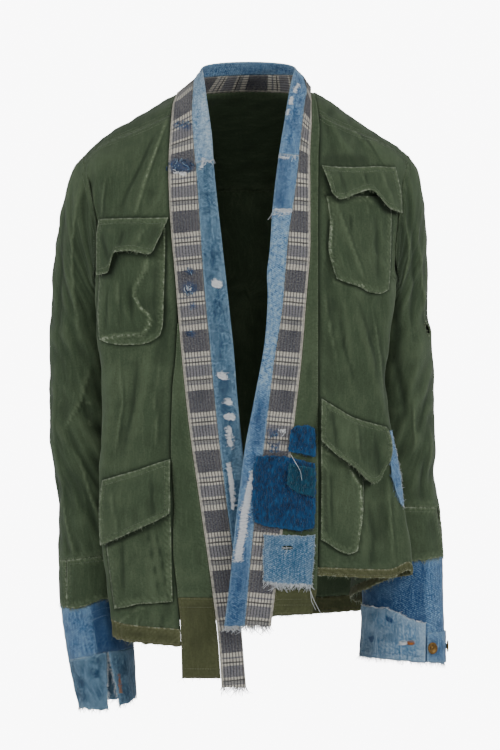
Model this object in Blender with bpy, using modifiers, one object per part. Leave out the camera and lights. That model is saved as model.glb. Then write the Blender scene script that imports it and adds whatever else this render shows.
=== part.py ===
"""A worn patchwork field jacket, open down the front, built as hollow cloth.

Run with blender --background --python part.py, or from Blender's text editor.
Lengths are millimetres in the tables below and become metres when a mesh is made.
X runs to the wearer's left, -Y is the front and +Z is up. The origin is the middle of
the neck, level with the tops of the shoulders, where the wearer carries the jacket.
"""

import math

import bmesh
import bpy
import numpy as np
from mathutils import Matrix, Vector

MM = 0.001
CLOTH = 1.4  # wall of every piece
SEAM = 0.2  # half of the gap left where two pieces meet edge to edge
NECK_GAP = 0.9  # added to it round the neck, where the pieces meet at an angle

RIGHT, LEFT = -1, 1  # the wearer's sides
FRONT, BACK = -1, 1

ARMHOLE_TOP = -88.0
UNDERARM_START = -262.0
ARMPIT = -280.0
ROUNDNESS = 2.4  # exponent of the body's rounded sections
RETURN_SHARE = 0.8  # the share of a panel's columns that run round the side, behind the front corner
BACK_TURN = 0.75  # how quickly the back's side turns in behind its corner
CORNER_FOLDS = 0.35  # how much of a fold's height is left at the front corner

NAMES = {RIGHT: "right", LEFT: "left"}


def curve(*knots):
    """A smooth function through (position, value) pairs that never overshoots them."""
    at, value = np.array(sorted(knots), float).T
    step = np.diff(at)
    slope = np.diff(value) / step
    before, after = slope[:-1], slope[1:]
    same_way = before * after > 0
    both = np.where(same_way, before + after, 1.0)
    middle = np.where(same_way, 2 * before * after / both, 0.0)
    tangent = np.concatenate([slope[:1], middle, slope[-1:]])

    def read(x):
        x = np.clip(x, at[0], at[-1])
        i = np.clip(np.searchsorted(at, x, side="right") - 1, 0, len(step) - 1)
        t = (x - at[i]) / step[i]
        lead = value[i] * (1 + 2 * t) * (1 - t) ** 2 + tangent[i] * step[i] * t * (1 - t) ** 2
        return lead + value[i + 1] * t * t * (3 - 2 * t) + tangent[i + 1] * step[i] * t * t * (t - 1)

    return read


def eased(x, start, end):
    """0 before start, 1 after end, smooth between."""
    t = np.clip((x - start) / (end - start), 0, 1)
    return t * t * (3 - 2 * t)


# Half width of the body by height. Down to the armhole it is also the line of the shoulder.
SHOULDER_RIGHT = [(12, 92), (0, 97), (-29, 146), (-54, 189), (-68, 208), (-81, 221), (-88, 228), (-96, 233)]
SHOULDER_LEFT = [(12, 84), (0, 88), (-14, 112), (-34, 138),
                 (-47, 159), (-62, 180), (-75, 202), (-88, 217), (-96, 222)]
FRONT_RIGHT_BODY = [(-112, 236), (-135, 232), (-170, 224),
                    (-210, 217), (-245, 213), (-262, 211), (-340, 207)]
FRONT_RIGHT_SKIRT = [(-420, 200), (-540, 204), (-600, 202), (-700, 190), (-760, 183)]
FRONT_LEFT_BODY = [(-112, 224), (-135, 221), (-170, 214),
                   (-210, 207), (-245, 202), (-262, 200), (-340, 190)]
FRONT_LEFT_SKIRT = [(-400, 183), (-456, 190), (-560, 206), (-640, 218), (-700, 219)]
BACK_RIGHT_BODY = [(-112, 234), (-170, 222), (-245, 208),
                   (-262, 204), (-340, 197), (-420, 191), (-600, 188), (-760, 190)]
BACK_LEFT_BODY = [(-112, 223), (-170, 212), (-245, 200),
                  (-262, 196), (-340, 187), (-420, 181), (-600, 180), (-760, 184)]
WIDTH = {
    (FRONT, RIGHT): curve(*SHOULDER_RIGHT, *FRONT_RIGHT_BODY, *FRONT_RIGHT_SKIRT),
    (FRONT, LEFT): curve(*SHOULDER_LEFT, *FRONT_LEFT_BODY, *FRONT_LEFT_SKIRT),
    (BACK, RIGHT): curve(*SHOULDER_RIGHT, *BACK_RIGHT_BODY),
    (BACK, LEFT): curve(*SHOULDER_LEFT, *BACK_LEFT_BODY),
}
# How far the front and the back stand from the line of the shoulders.
DEPTH = {
    (FRONT, RIGHT): curve((0, 62), (-38, 85), (-88, 108),
                          (-112, 118), (-170, 132), (-245, 141), (-500, 140), (-760, 145)),
    (FRONT, LEFT): curve((0, 62), (-38, 85), (-88, 108), (-112, 118),
                         (-170, 132), (-245, 141), (-500, 145), (-700, 154)),
    (BACK, RIGHT): curve((12, 84), (0, 88), (-38, 104), (-88, 119),
                         (-170, 127), (-260, 124), (-420, 114), (-560, 116), (-760, 128)),
    (BACK, LEFT): curve((12, 84), (0, 88), (-38, 104), (-88, 119),
                        (-170, 127), (-260, 124), (-420, 114), (-560, 116), (-760, 128)),
}
# The depth at which each section is widest. The arm presses the side in behind it.
CORNER = {
    (FRONT, RIGHT): curve((-88, 0), (-96, 4), (-135, 13), (-170, 25),
                          (-210, 45), (-262, 75), (-340, 92), (-600, 99), (-760, 112)),
    (FRONT, LEFT): curve((-88, 0), (-96, 4), (-135, 13), (-170, 25),
                         (-210, 45), (-262, 75), (-340, 92), (-560, 108), (-700, 130)),
    (BACK, RIGHT): curve((-88, 0), (-96, 4), (-135, 14), (-170, 26), (-245, 56), (-300, 66), (-760, 68)),
    (BACK, LEFT): curve((-88, 0), (-96, 4), (-135, 14), (-170, 26), (-245, 56), (-300, 66), (-760, 68)),
}
ARMHOLE = {
    RIGHT: curve((-88, 228), (-96, 227.6), (-112, 223), (-135, 218),
                 (-170, 211), (-210, 206), (-245, 207), (-262, 211)),
    LEFT: curve((-88, 217), (-96, 216.6), (-112, 212), (-135, 207),
                (-170, 203), (-210, 198), (-245, 196), (-262, 200)),
}
BACK_ARMHOLE = {
    RIGHT: curve((-88, 228), (-96, 227.6), (-112, 222), (-135, 216),
                 (-170, 209), (-210, 203), (-245, 201), (-262, 204)),
    LEFT: curve((-88, 217), (-96, 216.6), (-112, 211), (-135, 205),
                (-170, 200), (-210, 194), (-245, 192), (-262, 196)),
}
SIDE_SEAM = {
    RIGHT: curve((-280, 170), (-340, 160), (-420, 156), (-600, 157), (-700, 151), (-760, 147)),
    LEFT: curve((-280, 165), (-340, 149), (-400, 142), (-456, 142), (-600, 144), (-700, 139)),
}
# How quickly the side turns in behind the front corner: a small number hugs the corner.
TURN = {RIGHT: curve((-262, 0.75), (-600, 0.75),
                     (-760, 0.62)), LEFT: curve((-262, 0.75), (-456, 0.72), (-560, 0.6), (-663, 0.45))}

# Folds: points (x, z) that a soft ridge runs through, its half width and its height. A hollow is negative.
FOLDS = {
    RIGHT: [
        ([(-104, -60), (-122, -150), (-150, -185)], 13, 5),
        ([(-134, -120), (-160, -175)], 12, 4),
        ([(-206, -150), (-212, -215), (-208, -300)], 9, -7),
        ([(-190, -355), (-187, -420), (-196, -500)], 15, 8),
        ([(-170, -430), (-182, -500), (-190, -560)], 12, -5),
        ([(-136, -360), (-150, -430), (-160, -495)], 16, 5),
        ([(-112, -200), (-116, -300), (-122, -420), (-116, -500)], 20, -4),
        ([(-130, -600), (-132, -690), (-128, -760)], 20, 5),
        ([(-165, -690), (-168, -755)], 14, 6),
    ],
    LEFT: [
        ([(92, -14), (118, -60), (150, -108)], 9, 7),
        ([(106, -20), (150, -62), (186, -106)], 9, 7),
        ([(98, -30), (110, -80), (118, -112)], 8, -5),
        ([(150, -48), (188, -90), (198, -130)], 9, 5),
        ([(122, -30), (160, -84), (178, -110)], 7, -4),
        ([(100, -115), (102, -230), (106, -330), (106, -400)], 16, -6),
        ([(146, -285), (160, -350), (176, -420), (184, -455)], 14, 13),
        ([(160, -300), (172, -350)], 9, -6),
        ([(128, -300), (132, -370), (136, -410)], 14, 5),
        ([(98, -440), (104, -520), (104, -600)], 18, -4),
        ([(176, -500), (178, -600), (180, -655)], 14, -7),
        ([(205, -560), (213, -620), (216, -680)], 12, 6),
    ],
}
BACK_FOLDS = [
    ([(-150, -110), (-158, -220), (-150, -330)], 16, 5),
    ([(150, -110), (156, -220), (146, -330)], 16, 5),
    ([(-60, -330), (-66, -520), (-78, -730)], 26, 8),
    ([(20, -300), (24, -520), (30, -730)], 24, -6),
    ([(74, -340), (86, -540), (96, -715)], 26, 9),
    ([(-120, -420), (-128, -600), (-134, -740)], 22, -6),
    ([(-40, -120), (0, -140), (44, -118)], 22, 4),
]


def raised(folds, x, z):
    """How far the folds lift a point: each is a soft ridge of bell section that dies away at both ends."""
    total = np.zeros(np.broadcast(x, z).shape)
    for points, half_width, height in folds:
        line = np.array(points, float)
        lengths = np.linalg.norm(np.diff(line, axis=0), axis=1)
        nearest = np.full(total.shape, np.inf)
        share = np.zeros(total.shape)
        for (a, b), length, run in zip(zip(line[:-1], line[1:]), lengths, np.cumsum(lengths) - lengths):
            along = np.clip(((x - a[0]) * (b[0] - a[0]) + (z - a[1]) * (b[1] - a[1])) / length**2, 0, 1)
            away = np.hypot(x - a[0] - along * (b[0] - a[0]), z - a[1] - along * (b[1] - a[1]))
            share = np.where(away < nearest, (run + along * length) / lengths.sum(), share)
            nearest = np.minimum(nearest, away)
        total += height * np.exp(-((nearest / half_width) ** 2)) * np.sin(np.pi * (0.12 + 0.76 * share))
    return total


def section(face, side, x, z):
    """How far in front of, or behind, the shoulder line the body's cloth lies at (x, z)."""
    corner, depth = CORNER[face, side](z), DEPTH[face, side](z)
    share = np.clip(np.abs(x) / WIDTH[face, side](z), 0, 1)
    return corner + (depth - corner) * (1 - share**ROUNDNESS) ** (1 / ROUNDNESS)


OVERLAP = 8.0  # how much further out the wearer's left front stands low down


def overlap_lift(side, x, z):
    """The wearer's left front lies over the right one low down, so it stands further out there."""
    if side == RIGHT:
        return 0.0
    return OVERLAP * eased(-z, 380, 470) * (1 - eased(x, 90, 190))


def front_out(side, x, z):
    """The front's distance out from the shoulder line, folds and overlap included."""
    inside = 1 - np.clip(np.abs(x) / WIDTH[FRONT, side](z), 0, 1) ** 6
    folds = raised(FOLDS[side], x, z) * (CORNER_FOLDS + (1 - CORNER_FOLDS) * inside)
    return section(FRONT, side, x, z) + folds + overlap_lift(side, x, z)


def on_front(side, x, z, lift):
    """Points that stand a given distance off the front's cloth, square to it."""
    x, z, lift = np.broadcast_arrays(np.asarray(x, float), np.asarray(z, float), np.asarray(lift, float))
    limit = 0.985 * WIDTH[FRONT, side](z)
    x = np.clip(x, -limit, limit)
    by_x = (front_out(side, x + 2, z) - front_out(side, x - 2, z)) / 4
    by_z = (front_out(side, x, z + 2) - front_out(side, x, z - 2)) / 4
    normal = np.stack([-by_x, -np.ones_like(x), -by_z], -1)
    normal /= np.linalg.norm(normal, axis=-1, keepdims=True)
    return np.stack([x, -front_out(side, x, z), z], -1) + lift[..., None] * normal


def round_the_side(face, side, t, z):
    """From the section's widest point, t = 0, round to the side seam, t = 1."""
    corner, wide, seam = CORNER[face, side](z), WIDTH[face, side](z), SIDE_SEAM[side](z)
    turned = np.clip(t, 0, 1) ** (TURN[side](z) if face == FRONT else BACK_TURN)
    keep = (1 - turned) ** 2 * (1 + 2 * turned)
    out = corner * (1 - t) + SEAM * t
    return np.stack([side * (seam + (wide - seam) * keep), face * out, z + 0 * t], -1)


def armhole_width(face, side, z):
    return (ARMHOLE if face == FRONT else BACK_ARMHOLE)[side](z)


def armhole_edge(face, side, z):
    """The armhole's front or back half, by height."""
    wide = armhole_width(face, side, z)
    upper = np.stack([side * wide, face * section(face, side, wide, z), z], -1)
    share = np.clip((UNDERARM_START - z) / (UNDERARM_START - ARMPIT), 0, 1)
    lower = round_the_side(face, side, share, z)
    return np.where((z > UNDERARM_START)[..., None], upper, lower)


def body_panel(face, side, columns, heights, inner, top, bottom, top_x=None):
    """One panel of the body from its inner edge round to the armhole and the side seam.

    inner(z), top(column) and bottom(column) give its other three edges. heights are those of the
    rows where they meet the outer edge. top_x(column) spaces the columns along a yoke seam.
    """
    column = np.linspace(0, 1, columns + 1)[None, :]
    row = ((heights - heights[0]) / (heights[-1] - heights[0]))[:, None]
    z = top(column) + (bottom(column) - top(column)) * row
    wide = WIDTH[face, side](z)
    at_armhole = np.clip((UNDERARM_START - z) / (UNDERARM_START - ARMPIT), 0, 1)
    round_share = eased(-z, 215, 350) * (1 - column**3) + at_armhole * column**3
    run = column * (1 + RETURN_SHARE * round_share)
    outer = np.where(z > UNDERARM_START, armhole_width(face, side, z), wide)
    inner_x = inner(z)
    start, end = np.arcsin(np.clip(inner_x / wide, -1, 1)), np.arcsin(np.clip(outer / wide, -1, 1))
    along = wide * np.sin(start + np.clip(run, 0, 1) * (end - start))
    x = side * along
    if top_x is not None:
        x = side * (top_x(column) + (along - top_x(column)) * eased(row, 0, 0.16))
    if face == FRONT:
        out = front_out(side, x, z)
    else:
        out = section(BACK, side, x, z) + raised(BACK_FOLDS, x, z) * (1 - eased(np.abs(x) / wide, 0.8, 1))
    flat = np.stack([x, face * out, z], -1)
    past = np.clip((run - 1) / RETURN_SHARE, 0, 1)
    corner_out = 0 * z
    if face == FRONT:
        corner_out = raised(FOLDS[side], side * wide, z) * CORNER_FOLDS + overlap_lift(side, side * wide, z)
    round_part = round_the_side(face, side, past, z)
    round_part[..., 1] += face * corner_out * (1 - eased(past, 0, 1))
    return np.where((run > 1)[..., None], round_part, flat)


def net(rows, across, down):
    """A finer grid of values from a few rows of hand-placed ones, smooth both ways."""
    rows = np.array(rows, float)

    def refine(values, count):
        at = np.linspace(0, 1, len(values))
        want = np.linspace(0, 1, count + 1)
        flat = values.reshape(len(values), -1)
        out = np.stack([curve(*zip(at, flat[:, k]))(want) for k in range(flat.shape[1])], -1)
        return out.reshape((count + 1,) + values.shape[1:])

    down_done = refine(rows, down)
    return refine(down_done.swapaxes(0, 1), across).swapaxes(0, 1)


def on_front_net(side, rows, across, down):
    """A piece that lies on a front, from rows of (x, z, lift)."""
    fine = net(rows, across, down)
    return on_front(side, fine[..., 0], fine[..., 1], fine[..., 2])


# Edges and seams down the front, as x by height.
BAND_OUTER = {
    RIGHT: curve((-3, -101), (-25, -106), (-57, -108),
                 (-110, -110), (-186, -107), (-241, -102), (-349, -93),
                 (-457, -82), (-557, -68), (-684, -50), (-751, -42), (-812, -38)),
    LEFT: curve((4, 84), (-36, 84), (-100, 81), (-208, 81), (-295, 75), (-370, 69), (-457, 59), (-587, 45),
                (-648, 38), (-728, 28)),
}
BAND_MIDDLE = {
    RIGHT: curve((16, -77), (-36, -79), (-79, -76), (-122, -72),
                 (-176, -68), (-263, -62), (-338, -55), (-446, -45),
                 (-557, -32), (-684, -16), (-814, -5)),
    LEFT: curve((20, 74), (1, 78), (-25, 74), (-68, 69),
                (-133, 62), (-209, 51), (-302, 43), (-381, 31), (-491, 18),
                (-593, 5), (-725, -7)),
}
BAND_INNER = {
    RIGHT: curve((32, -66), (7, -62), (-23, -58), (-68, -52),
                 (-111, -49), (-221, -37), (-284, -30), (-360, -22),
                 (-424, -17), (-491, -10), (-600, 2), (-712, 12)),
    LEFT: curve((32, 62), (3, 55), (-47, 47), (-90, 40),
                (-165, 31), (-221, 27), (-259, 23), (-284, 24), (-338, 21),
                (-414, 8), (-493, -7), (-609, -21), (-661, -26), (-733, -35)),
}
# The edge of each front panel, where its placket or its plaid band is sewn on.
FRONT_EDGE = {
    RIGHT: curve((-36, -107.4), (-57, -108), (-110, -110),
                 (-186, -107), (-241, -102), (-300, -97.5), (-360, -100),
                 (-414, -105), (-491, -107), (-570, -103),
                     (-622, -104), (-674, -99), (-725, -94), (-797, -92)),
    LEFT: curve((1, 89), (-57, 95), (-101, 93), (-198, 92), (-560, 92), (-675, 90), (-709, 84)),
}
# How far in front of the shoulders the bands run where they stand off the neck.
NECK_MIDDLE_OUT = curve((20, 0), (16, 2), (-6, 40), (-36, 70), (-79, 98.5), (-122, 119))
NECK_INNER_OUT = curve((32, -5), (7, 35), (-23, 62), (-68, 88), (-111, 108), (-154, 122), (-221, 138))
YOKE_SEAM = {
    RIGHT: curve((107, -36), (128, -46), (162, -61), (202, -76), (228, -96)),
    LEFT: curve((94, -36), (118, -49), (150, -62), (190, -78), (217, -96)),
}
RIDGE = {
    RIGHT: curve((60, 10), (80, 4), (101, -3), (146, -29), (189, -54), (208, -68), (221, -81), (228, -88)),
    LEFT: curve((60, 10), (75, 5), (88, 0), (112, -14),
                (138, -34), (159, -47), (180, -62), (202, -75), (217, -88)),
}
BACK_SEAM = -128.0
YOKE_FRONT = {RIGHT: (107.6, 227.6), LEFT: (94.2, 216.6)}  # from the band to the armhole along the seam
NECK_SIDE = {RIGHT: (101.0, -3.0), LEFT: (88.0, 0.0)}  # x and z of the neck edge at the top of the shoulder
NECK_RISE = 8.0  # height of the neck edge at the middle of the back
YOKE_TURNS = (-1, -0.72, -0.4, 0, 0.4, 0.72, 1)  # rays over the shoulder, from the front seam to the back one
BACK_SHARES = (0.25, 0.5, 0.75, 1)  # rays from there to the middle of the back
BACK_LEAN = 40.0  # the way round the neck, in degrees, at the last of the shoulder's rays
HEM = {
    (FRONT, RIGHT): curve((0, -757), (0.3, -751), (0.56, -745), (1, -745)),
    (FRONT, LEFT): curve((0, -661), (0.28, -665), (0.44, -655), (0.56, -662), (0.75, -684), (1, -701)),
    (BACK, RIGHT): curve((0, -738), (0.56, -742), (1, -745)),
    (BACK, LEFT): curve((0, -738), (0.56, -718), (1, -701)),
}
HEM_BAND = {RIGHT: 24.0, LEFT: 12.0}
ARMHOLE_ROWS = [-122, -152, -188, -228, -262, -271, ARMPIT]
COLUMNS = 12
BACK_COLUMNS = 10


def clear_parts():
    for thing in list(bpy.data.objects):
        bpy.data.objects.remove(thing, do_unlink=True)


def finish(name, colour, roughness, metallic=0.0):
    """A plain Principled material; the colour is sRGB hex."""
    material = bpy.data.materials.new(name)
    material.use_nodes = True
    shader = material.node_tree.nodes["Principled BSDF"]
    parts = [int(colour[i:i + 2], 16) / 255 for i in (1, 3, 5)]
    linear = [c / 12.92 if c <= 0.04045 else ((c + 0.055) / 1.055) ** 2.4 for c in parts]
    shader.inputs["Base Color"].default_value = (*linear, 1)
    shader.inputs["Roughness"].default_value = roughness
    shader.inputs["Metallic"].default_value = metallic
    return material


FADED_GREEN = ("#4b5840", 0.92)
OLIVE = ("#3e4130", 0.92)
PLAID = ("#8d8c88", 0.9)
DENIM = ("#567da6", 0.9)
DARK_DENIM = ("#3c5a80", 0.9)
PALE_DENIM = ("#7fa3c8", 0.9)
INDIGO = ("#213a5c", 0.92)
TEAL = ("#1f4f6e", 0.92)
BRASS = ("#8c6d3f", 0.4, 1.0)


def cloth(name, grid, look, wall=CLOTH, closed=False, skip=()):
    """A wall of even thickness on a grid of points (rows, columns, 3) in millimetres.

    closed joins the last column to the first. skip lists (row, column) cells left open.
    """
    rows, columns = grid.shape[:2]
    across = columns if closed else columns - 1
    faces = []
    for i in range(rows - 1):
        for j in range(across):
            if (i, j) not in skip:
                k = (j + 1) % columns
                faces.append((i * columns + j, i * columns + k, (i + 1) * columns + k, (i + 1) * columns + j))
    mesh = bpy.data.meshes.new(name)
    mesh.from_pydata((grid.reshape(-1, 3) * MM).tolist(), [], faces)
    mesh.shade_smooth()
    mesh.materials.append(finish(name, *look))
    piece = bpy.data.objects.new(name, mesh)
    shell = piece.modifiers.new("cloth", "SOLIDIFY")
    shell.thickness = wall * MM
    shell.offset = 0
    return piece


def panel_heights(bottom, rows_below):
    below = np.linspace(ARMPIT, bottom, rows_below + 1)[1:]
    return np.array([*ARMHOLE_ROWS, *below], float)


def front(side):
    """A front, from its yoke seam to the seam of its hem band."""

    def inner(z):
        return np.abs(FRONT_EDGE[side](z)) + SEAM

    def top_x(column):
        start, end = YOKE_FRONT[side]
        return start + (end - start) * column

    def top(column):
        return YOKE_SEAM[side](top_x(column)) - SEAM

    def bottom(column):
        return HEM[FRONT, side](column) + HEM_BAND[side] + SEAM

    heights = np.concatenate([[-96 - SEAM], panel_heights(bottom(np.array(1.0)), 17)])
    panel = body_panel(FRONT, side, COLUMNS, heights, inner, top, bottom, top_x)

    def hem_top(column):
        return HEM[FRONT, side](column) + HEM_BAND[side] - SEAM

    strip = body_panel(FRONT, side, COLUMNS, np.array([0.0, -1.0]), inner, hem_top, HEM[FRONT, side])
    return [
        cloth("front_" + NAMES[side], panel, FADED_GREEN),
        cloth("hem_" + NAMES[side], strip, OLIVE, wall=1.8),
    ]


def back():
    """The back, in one piece from side seam to side seam, and its hem band."""
    panels, strips = [], []
    for side in (RIGHT, LEFT):

        def hem(column, side=side):
            return HEM[BACK, side](column)

        def seam(column, side=side):
            return hem(column) + HEM_BAND[RIGHT] + SEAM

        def strip_top(column, side=side):
            return hem(column) + HEM_BAND[RIGHT] - SEAM

        def middle(z):
            return 0 * z

        def top(column):
            return BACK_SEAM - SEAM + 0 * column

        def top_x(column, side=side):
            return armhole_width(BACK, side, np.array(BACK_SEAM)) * column

        heights = np.concatenate([[BACK_SEAM - SEAM], panel_heights(seam(1.0), 15)[1:]])
        panels.append(body_panel(BACK, side, BACK_COLUMNS, heights, middle, top, seam, top_x))
        strips.append(body_panel(BACK, side, BACK_COLUMNS, np.array([0.0, -1.0]), middle, strip_top, hem))
    right, left = panels
    right_strip, left_strip = strips
    whole = np.concatenate([right[:, :0:-1], left], axis=1)
    whole_strip = np.concatenate([right_strip[:, :0:-1], left_strip], axis=1)
    return [cloth("back", whole, FADED_GREEN), cloth("hem_back", whole_strip, OLIVE, wall=1.8)]


def yoke():
    """Both shoulders and the top of the back: rays from the neck edge to the armholes and the back seam."""
    v = np.linspace(0, 1, COLUMNS + 1)
    rays = []
    for side in (RIGHT, LEFT):
        half = []
        neck_x, neck_z = NECK_SIDE[side]
        for turn in YOKE_TURNS:
            drop = abs(turn) ** 2.2
            if turn <= 0:
                edge = BAND_OUTER if side == RIGHT else FRONT_EDGE
                near = np.abs(edge[side](neck_z + (-36 - neck_z) * drop)) + NECK_GAP
                near = near + (YOKE_FRONT[side][0] - near) * (turn == -1)
                far = armhole_width(FRONT, side, ARMHOLE_TOP + (-96 - ARMHOLE_TOP) * drop)
                x = near + (far - near) * v
                z = RIDGE[side](x) + (YOKE_SEAM[side](x) + SEAM - RIDGE[side](x)) * drop
                out = -section(FRONT, side, side * x, z)
            else:
                lean = math.radians(BACK_LEAN) * turn
                near = (neck_x + NECK_GAP) * math.cos(lean)
                near_z = neck_z + (NECK_RISE - neck_z) * math.sin(lean) ** 2
                far_z = ARMHOLE_TOP + (BACK_SEAM + SEAM - ARMHOLE_TOP) * drop
                x = near + (armhole_width(BACK, side, far_z) - near) * v
                fall = RIDGE[side](near) - near_z
                z = RIDGE[side](x) - fall - (RIDGE[side](x[-1]) - fall - far_z) * v
                out = section(BACK, side, side * x, z)
            half.append(np.stack([side * x, out, z], -1))
        corner = half[-1]
        for share in BACK_SHARES:
            lean = math.radians(BACK_LEAN + (90 - BACK_LEAN) * share)
            near = neck_x * math.cos(lean)
            near_z = neck_z + (NECK_RISE - neck_z) * math.sin(lean) ** 2
            far = abs(corner[-1, 0]) * (1 - share)
            x = near + (far - near) * v
            straight = near_z + (BACK_SEAM + SEAM - near_z) * v
            level = corner[0, 2] + (corner[-1, 2] - corner[0, 2]) * v
            z = straight + (corner[:, 2] - level) * (1 - share)
            half.append(np.stack([side * x, section(BACK, side, side * x, z), z], -1))
        rays.append(half)
    right, left = rays
    return [cloth("yoke", np.array(right + left[-2::-1]), FADED_GREEN)]


def band_rows(start, end):
    """Row heights from start down to end, the same ones for all strips that share an edge."""
    spaced = np.concatenate([[-10, -20, -32, -46, -62, -80], np.arange(-102, -820, -24)])
    between = spaced[(spaced < start - 4) & (spaced > end + 4)]
    return np.concatenate([[start], between, [end]]).astype(float)


def band_lines(side, heights):
    """The three lines of a front's two bands, matched row by row."""
    fan = 1 - eased(-heights, 0, 150)
    middle_z = heights + (19 if side == RIGHT else 16) * fan
    inner_z = heights + (35 if side == RIGHT else 28) * fan
    lines = []
    for x, z, near_neck, joined in (
        (BAND_OUTER[side](heights), heights, None, 0),
        (BAND_MIDDLE[side](middle_z), middle_z, NECK_MIDDLE_OUT, -122),
        (BAND_INNER[side](inner_z), inner_z, NECK_INNER_OUT, -221),
    ):
        limit = 0.999 * WIDTH[FRONT, side](z)
        out = front_out(side, np.clip(x, -limit, limit), z) + 1.0
        if near_neck is not None:
            out = np.where(z > joined, near_neck(z) + 1.0, out)
        lines.append(np.stack([x, -out, z], -1))
    return lines


def strip(first, second, columns, crown=1.0, trim=SEAM):
    """A strip of cloth between two lines, a little proud in the middle and trimmed by a seam each side."""
    width = np.linalg.norm(second - first, axis=1)[:, None, None]
    share = np.linspace(0, 1, columns + 1)[None, :, None]
    trim = trim + NECK_GAP * (1 - eased(-first[:, 2], 60, 150))[:, None, None]
    inset = trim / width
    share = inset + (1 - 2 * inset) * share
    proud = np.array([0, -crown, 0]) * (4 * share * (1 - share))
    return first[:, None] * (1 - share) + second[:, None] * share + proud


PLAID_END = {RIGHT: -812.0, LEFT: -728.0}
DENIM_PIECES = {
    RIGHT: [("upper", -3.0, -108.0, PALE_DENIM), ("lower", -108.0, -708.0, DARK_DENIM)],
    LEFT: [("upper", 4.0, -100.0, DENIM),
           ("middle", -100.0, -172.0, PALE_DENIM), ("lower", -172.0, -728.0, DENIM)],
}


def bands(side):
    top = -3.0 if side == RIGHT else 4.0
    pieces = []
    outer, middle, _ = band_lines(side, band_rows(top - SEAM, PLAID_END[side]))
    pieces.append(cloth("plaid_band_" + NAMES[side], strip(outer, middle, 2), PLAID))
    for part, start, end, look in DENIM_PIECES[side]:
        _, middle, inner = band_lines(side, band_rows(start - SEAM, end + SEAM))
        pieces.append(cloth(f"denim_band_{NAMES[side]}_{part}", strip(middle, inner, 2), look, wall=1.6))
    return pieces


# The middle of the back of the neck on each line of the bands, from the yoke's edge to the free edge.
NECK_BACK = [(0, 85.5, 8.5), (0, 68, 29), (0, 55, 46)]


def neck_bands():
    """The bands round the back of the neck, from shoulder to shoulder."""
    starts = band_lines(RIGHT, np.array([-3.0]))
    ends = band_lines(LEFT, np.array([4.0]))
    turn = np.linspace(0, np.pi, 21)
    lines = []
    for start, end, peak in zip(starts, ends, NECK_BACK):
        start, end, peak = start[0], end[0], np.array(peak, float)
        centre = (start + end) / 2
        way = np.sin(turn)[:, None] ** 0.83
        arch = (peak - centre * [0, 1, 1]) * way * [0, 1, 1]
        line = centre + (start - centre) * np.cos(turn)[:, None] + arch
        lines.append(line)
    outer, middle, inner = lines
    for line in lines:
        line[0, 1] += 1.0
        line[-1, 1] += 1.0
    rise = np.array([0, 0, 1.2])
    return [
        cloth("plaid_band_neck", strip(outer + rise, middle + rise, 2, crown=0), PLAID),
        cloth("denim_band_neck", strip(middle + rise, inner + rise, 2, crown=0), DENIM, wall=1.6),
    ]


def edge_strip(side, name, start, end, look, columns=1):
    """The placket and its extension: the strip between the front's edge and the plaid band."""
    heights = band_rows(start, end)
    lines = []
    for edge in (FRONT_EDGE[side], BAND_OUTER[side]):
        x = edge(heights)
        limit = 0.999 * WIDTH[FRONT, side](heights)
        lines.append(np.stack([x, -front_out(side, np.clip(x, -limit, limit), heights) - 0.8, heights], -1))
    return cloth(name, strip(lines[0], lines[1], columns, crown=0.4, trim=0.5), look)


def plackets():
    return [
        edge_strip(RIGHT, "placket_right", -322, -690, FADED_GREEN, columns=2),
        edge_strip(RIGHT, "placket_extension_right", -690.5, -799, OLIVE, columns=2),
        edge_strip(LEFT, "placket_left", -3, -678, FADED_GREEN),
        edge_strip(LEFT, "placket_extension_left", -678.5, -712, OLIVE, columns=2),
    ]


# Rows of (x, z, lift) from top to bottom for what lies on the fronts.
CHEST_POCKET = {
    RIGHT: [
        [(-202, -196, 2.4), (-188, -196, 3.0), (-172, -196, 3.2),
         (-152, -196, 3.2), (-132, -196, 3.0), (-114, -194, 2.4)],
        [(-202, -226, 2.6), (-188, -226, 4.8), (-172, -226, 5.0),
         (-152, -226, 4.8), (-135, -226, 3.4), (-114, -226, 2.4)],
        [(-202, -262, 2.6), (-188, -262, 4.8), (-172, -262, 5.0),
         (-152, -262, 4.8), (-138, -262, 3.2), (-115, -262, 2.9)],
        [(-204, -300, 2.6), (-190, -300, 4.8), (-172, -300, 5.0),
         (-154, -300, 4.8), (-140, -300, 3.4), (-116, -300, 3.1)],
        [(-203, -328, 2.6), (-188, -331, 4.0), (-170, -333, 4.4),
         (-150, -333, 4.2), (-132, -330, 3.4), (-117, -322, 3.1)],
        [(-202, -343, 2.3), (-188, -349, 2.3), (-170, -351, 2.3),
         (-152, -351, 2.3), (-134, -347, 2.6), (-121, -338, 2.9)],
    ],
    LEFT: [
        [(103, -150, 2.4), (122, -150, 3.5), (141, -150, 4.0),
         (160, -150, 4.0), (177, -150, 3.5), (191, -150, 2.4)],
        [(108, -185, 2.6), (124, -185, 4.4), (142, -185, 4.8),
         (160, -185, 4.6), (177, -185, 4.0), (190, -185, 2.6)],
        [(106, -220, 2.6), (124, -220, 4.6), (142, -222, 5.0),
         (160, -222, 4.4), (176, -221, 4.0), (189, -220, 2.6)],
        [(112, -246, 2.6), (127, -248, 4.2), (143, -250, 4.6),
         (160, -252, 4.2), (175, -251, 3.6), (188, -249, 2.6)],
        [(117, -262, 2.3), (131, -268, 2.3), (146, -273, 2.3),
         (160, -280, 2.3), (174, -282, 2.3), (186, -276, 2.3)],
    ],
}
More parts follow.
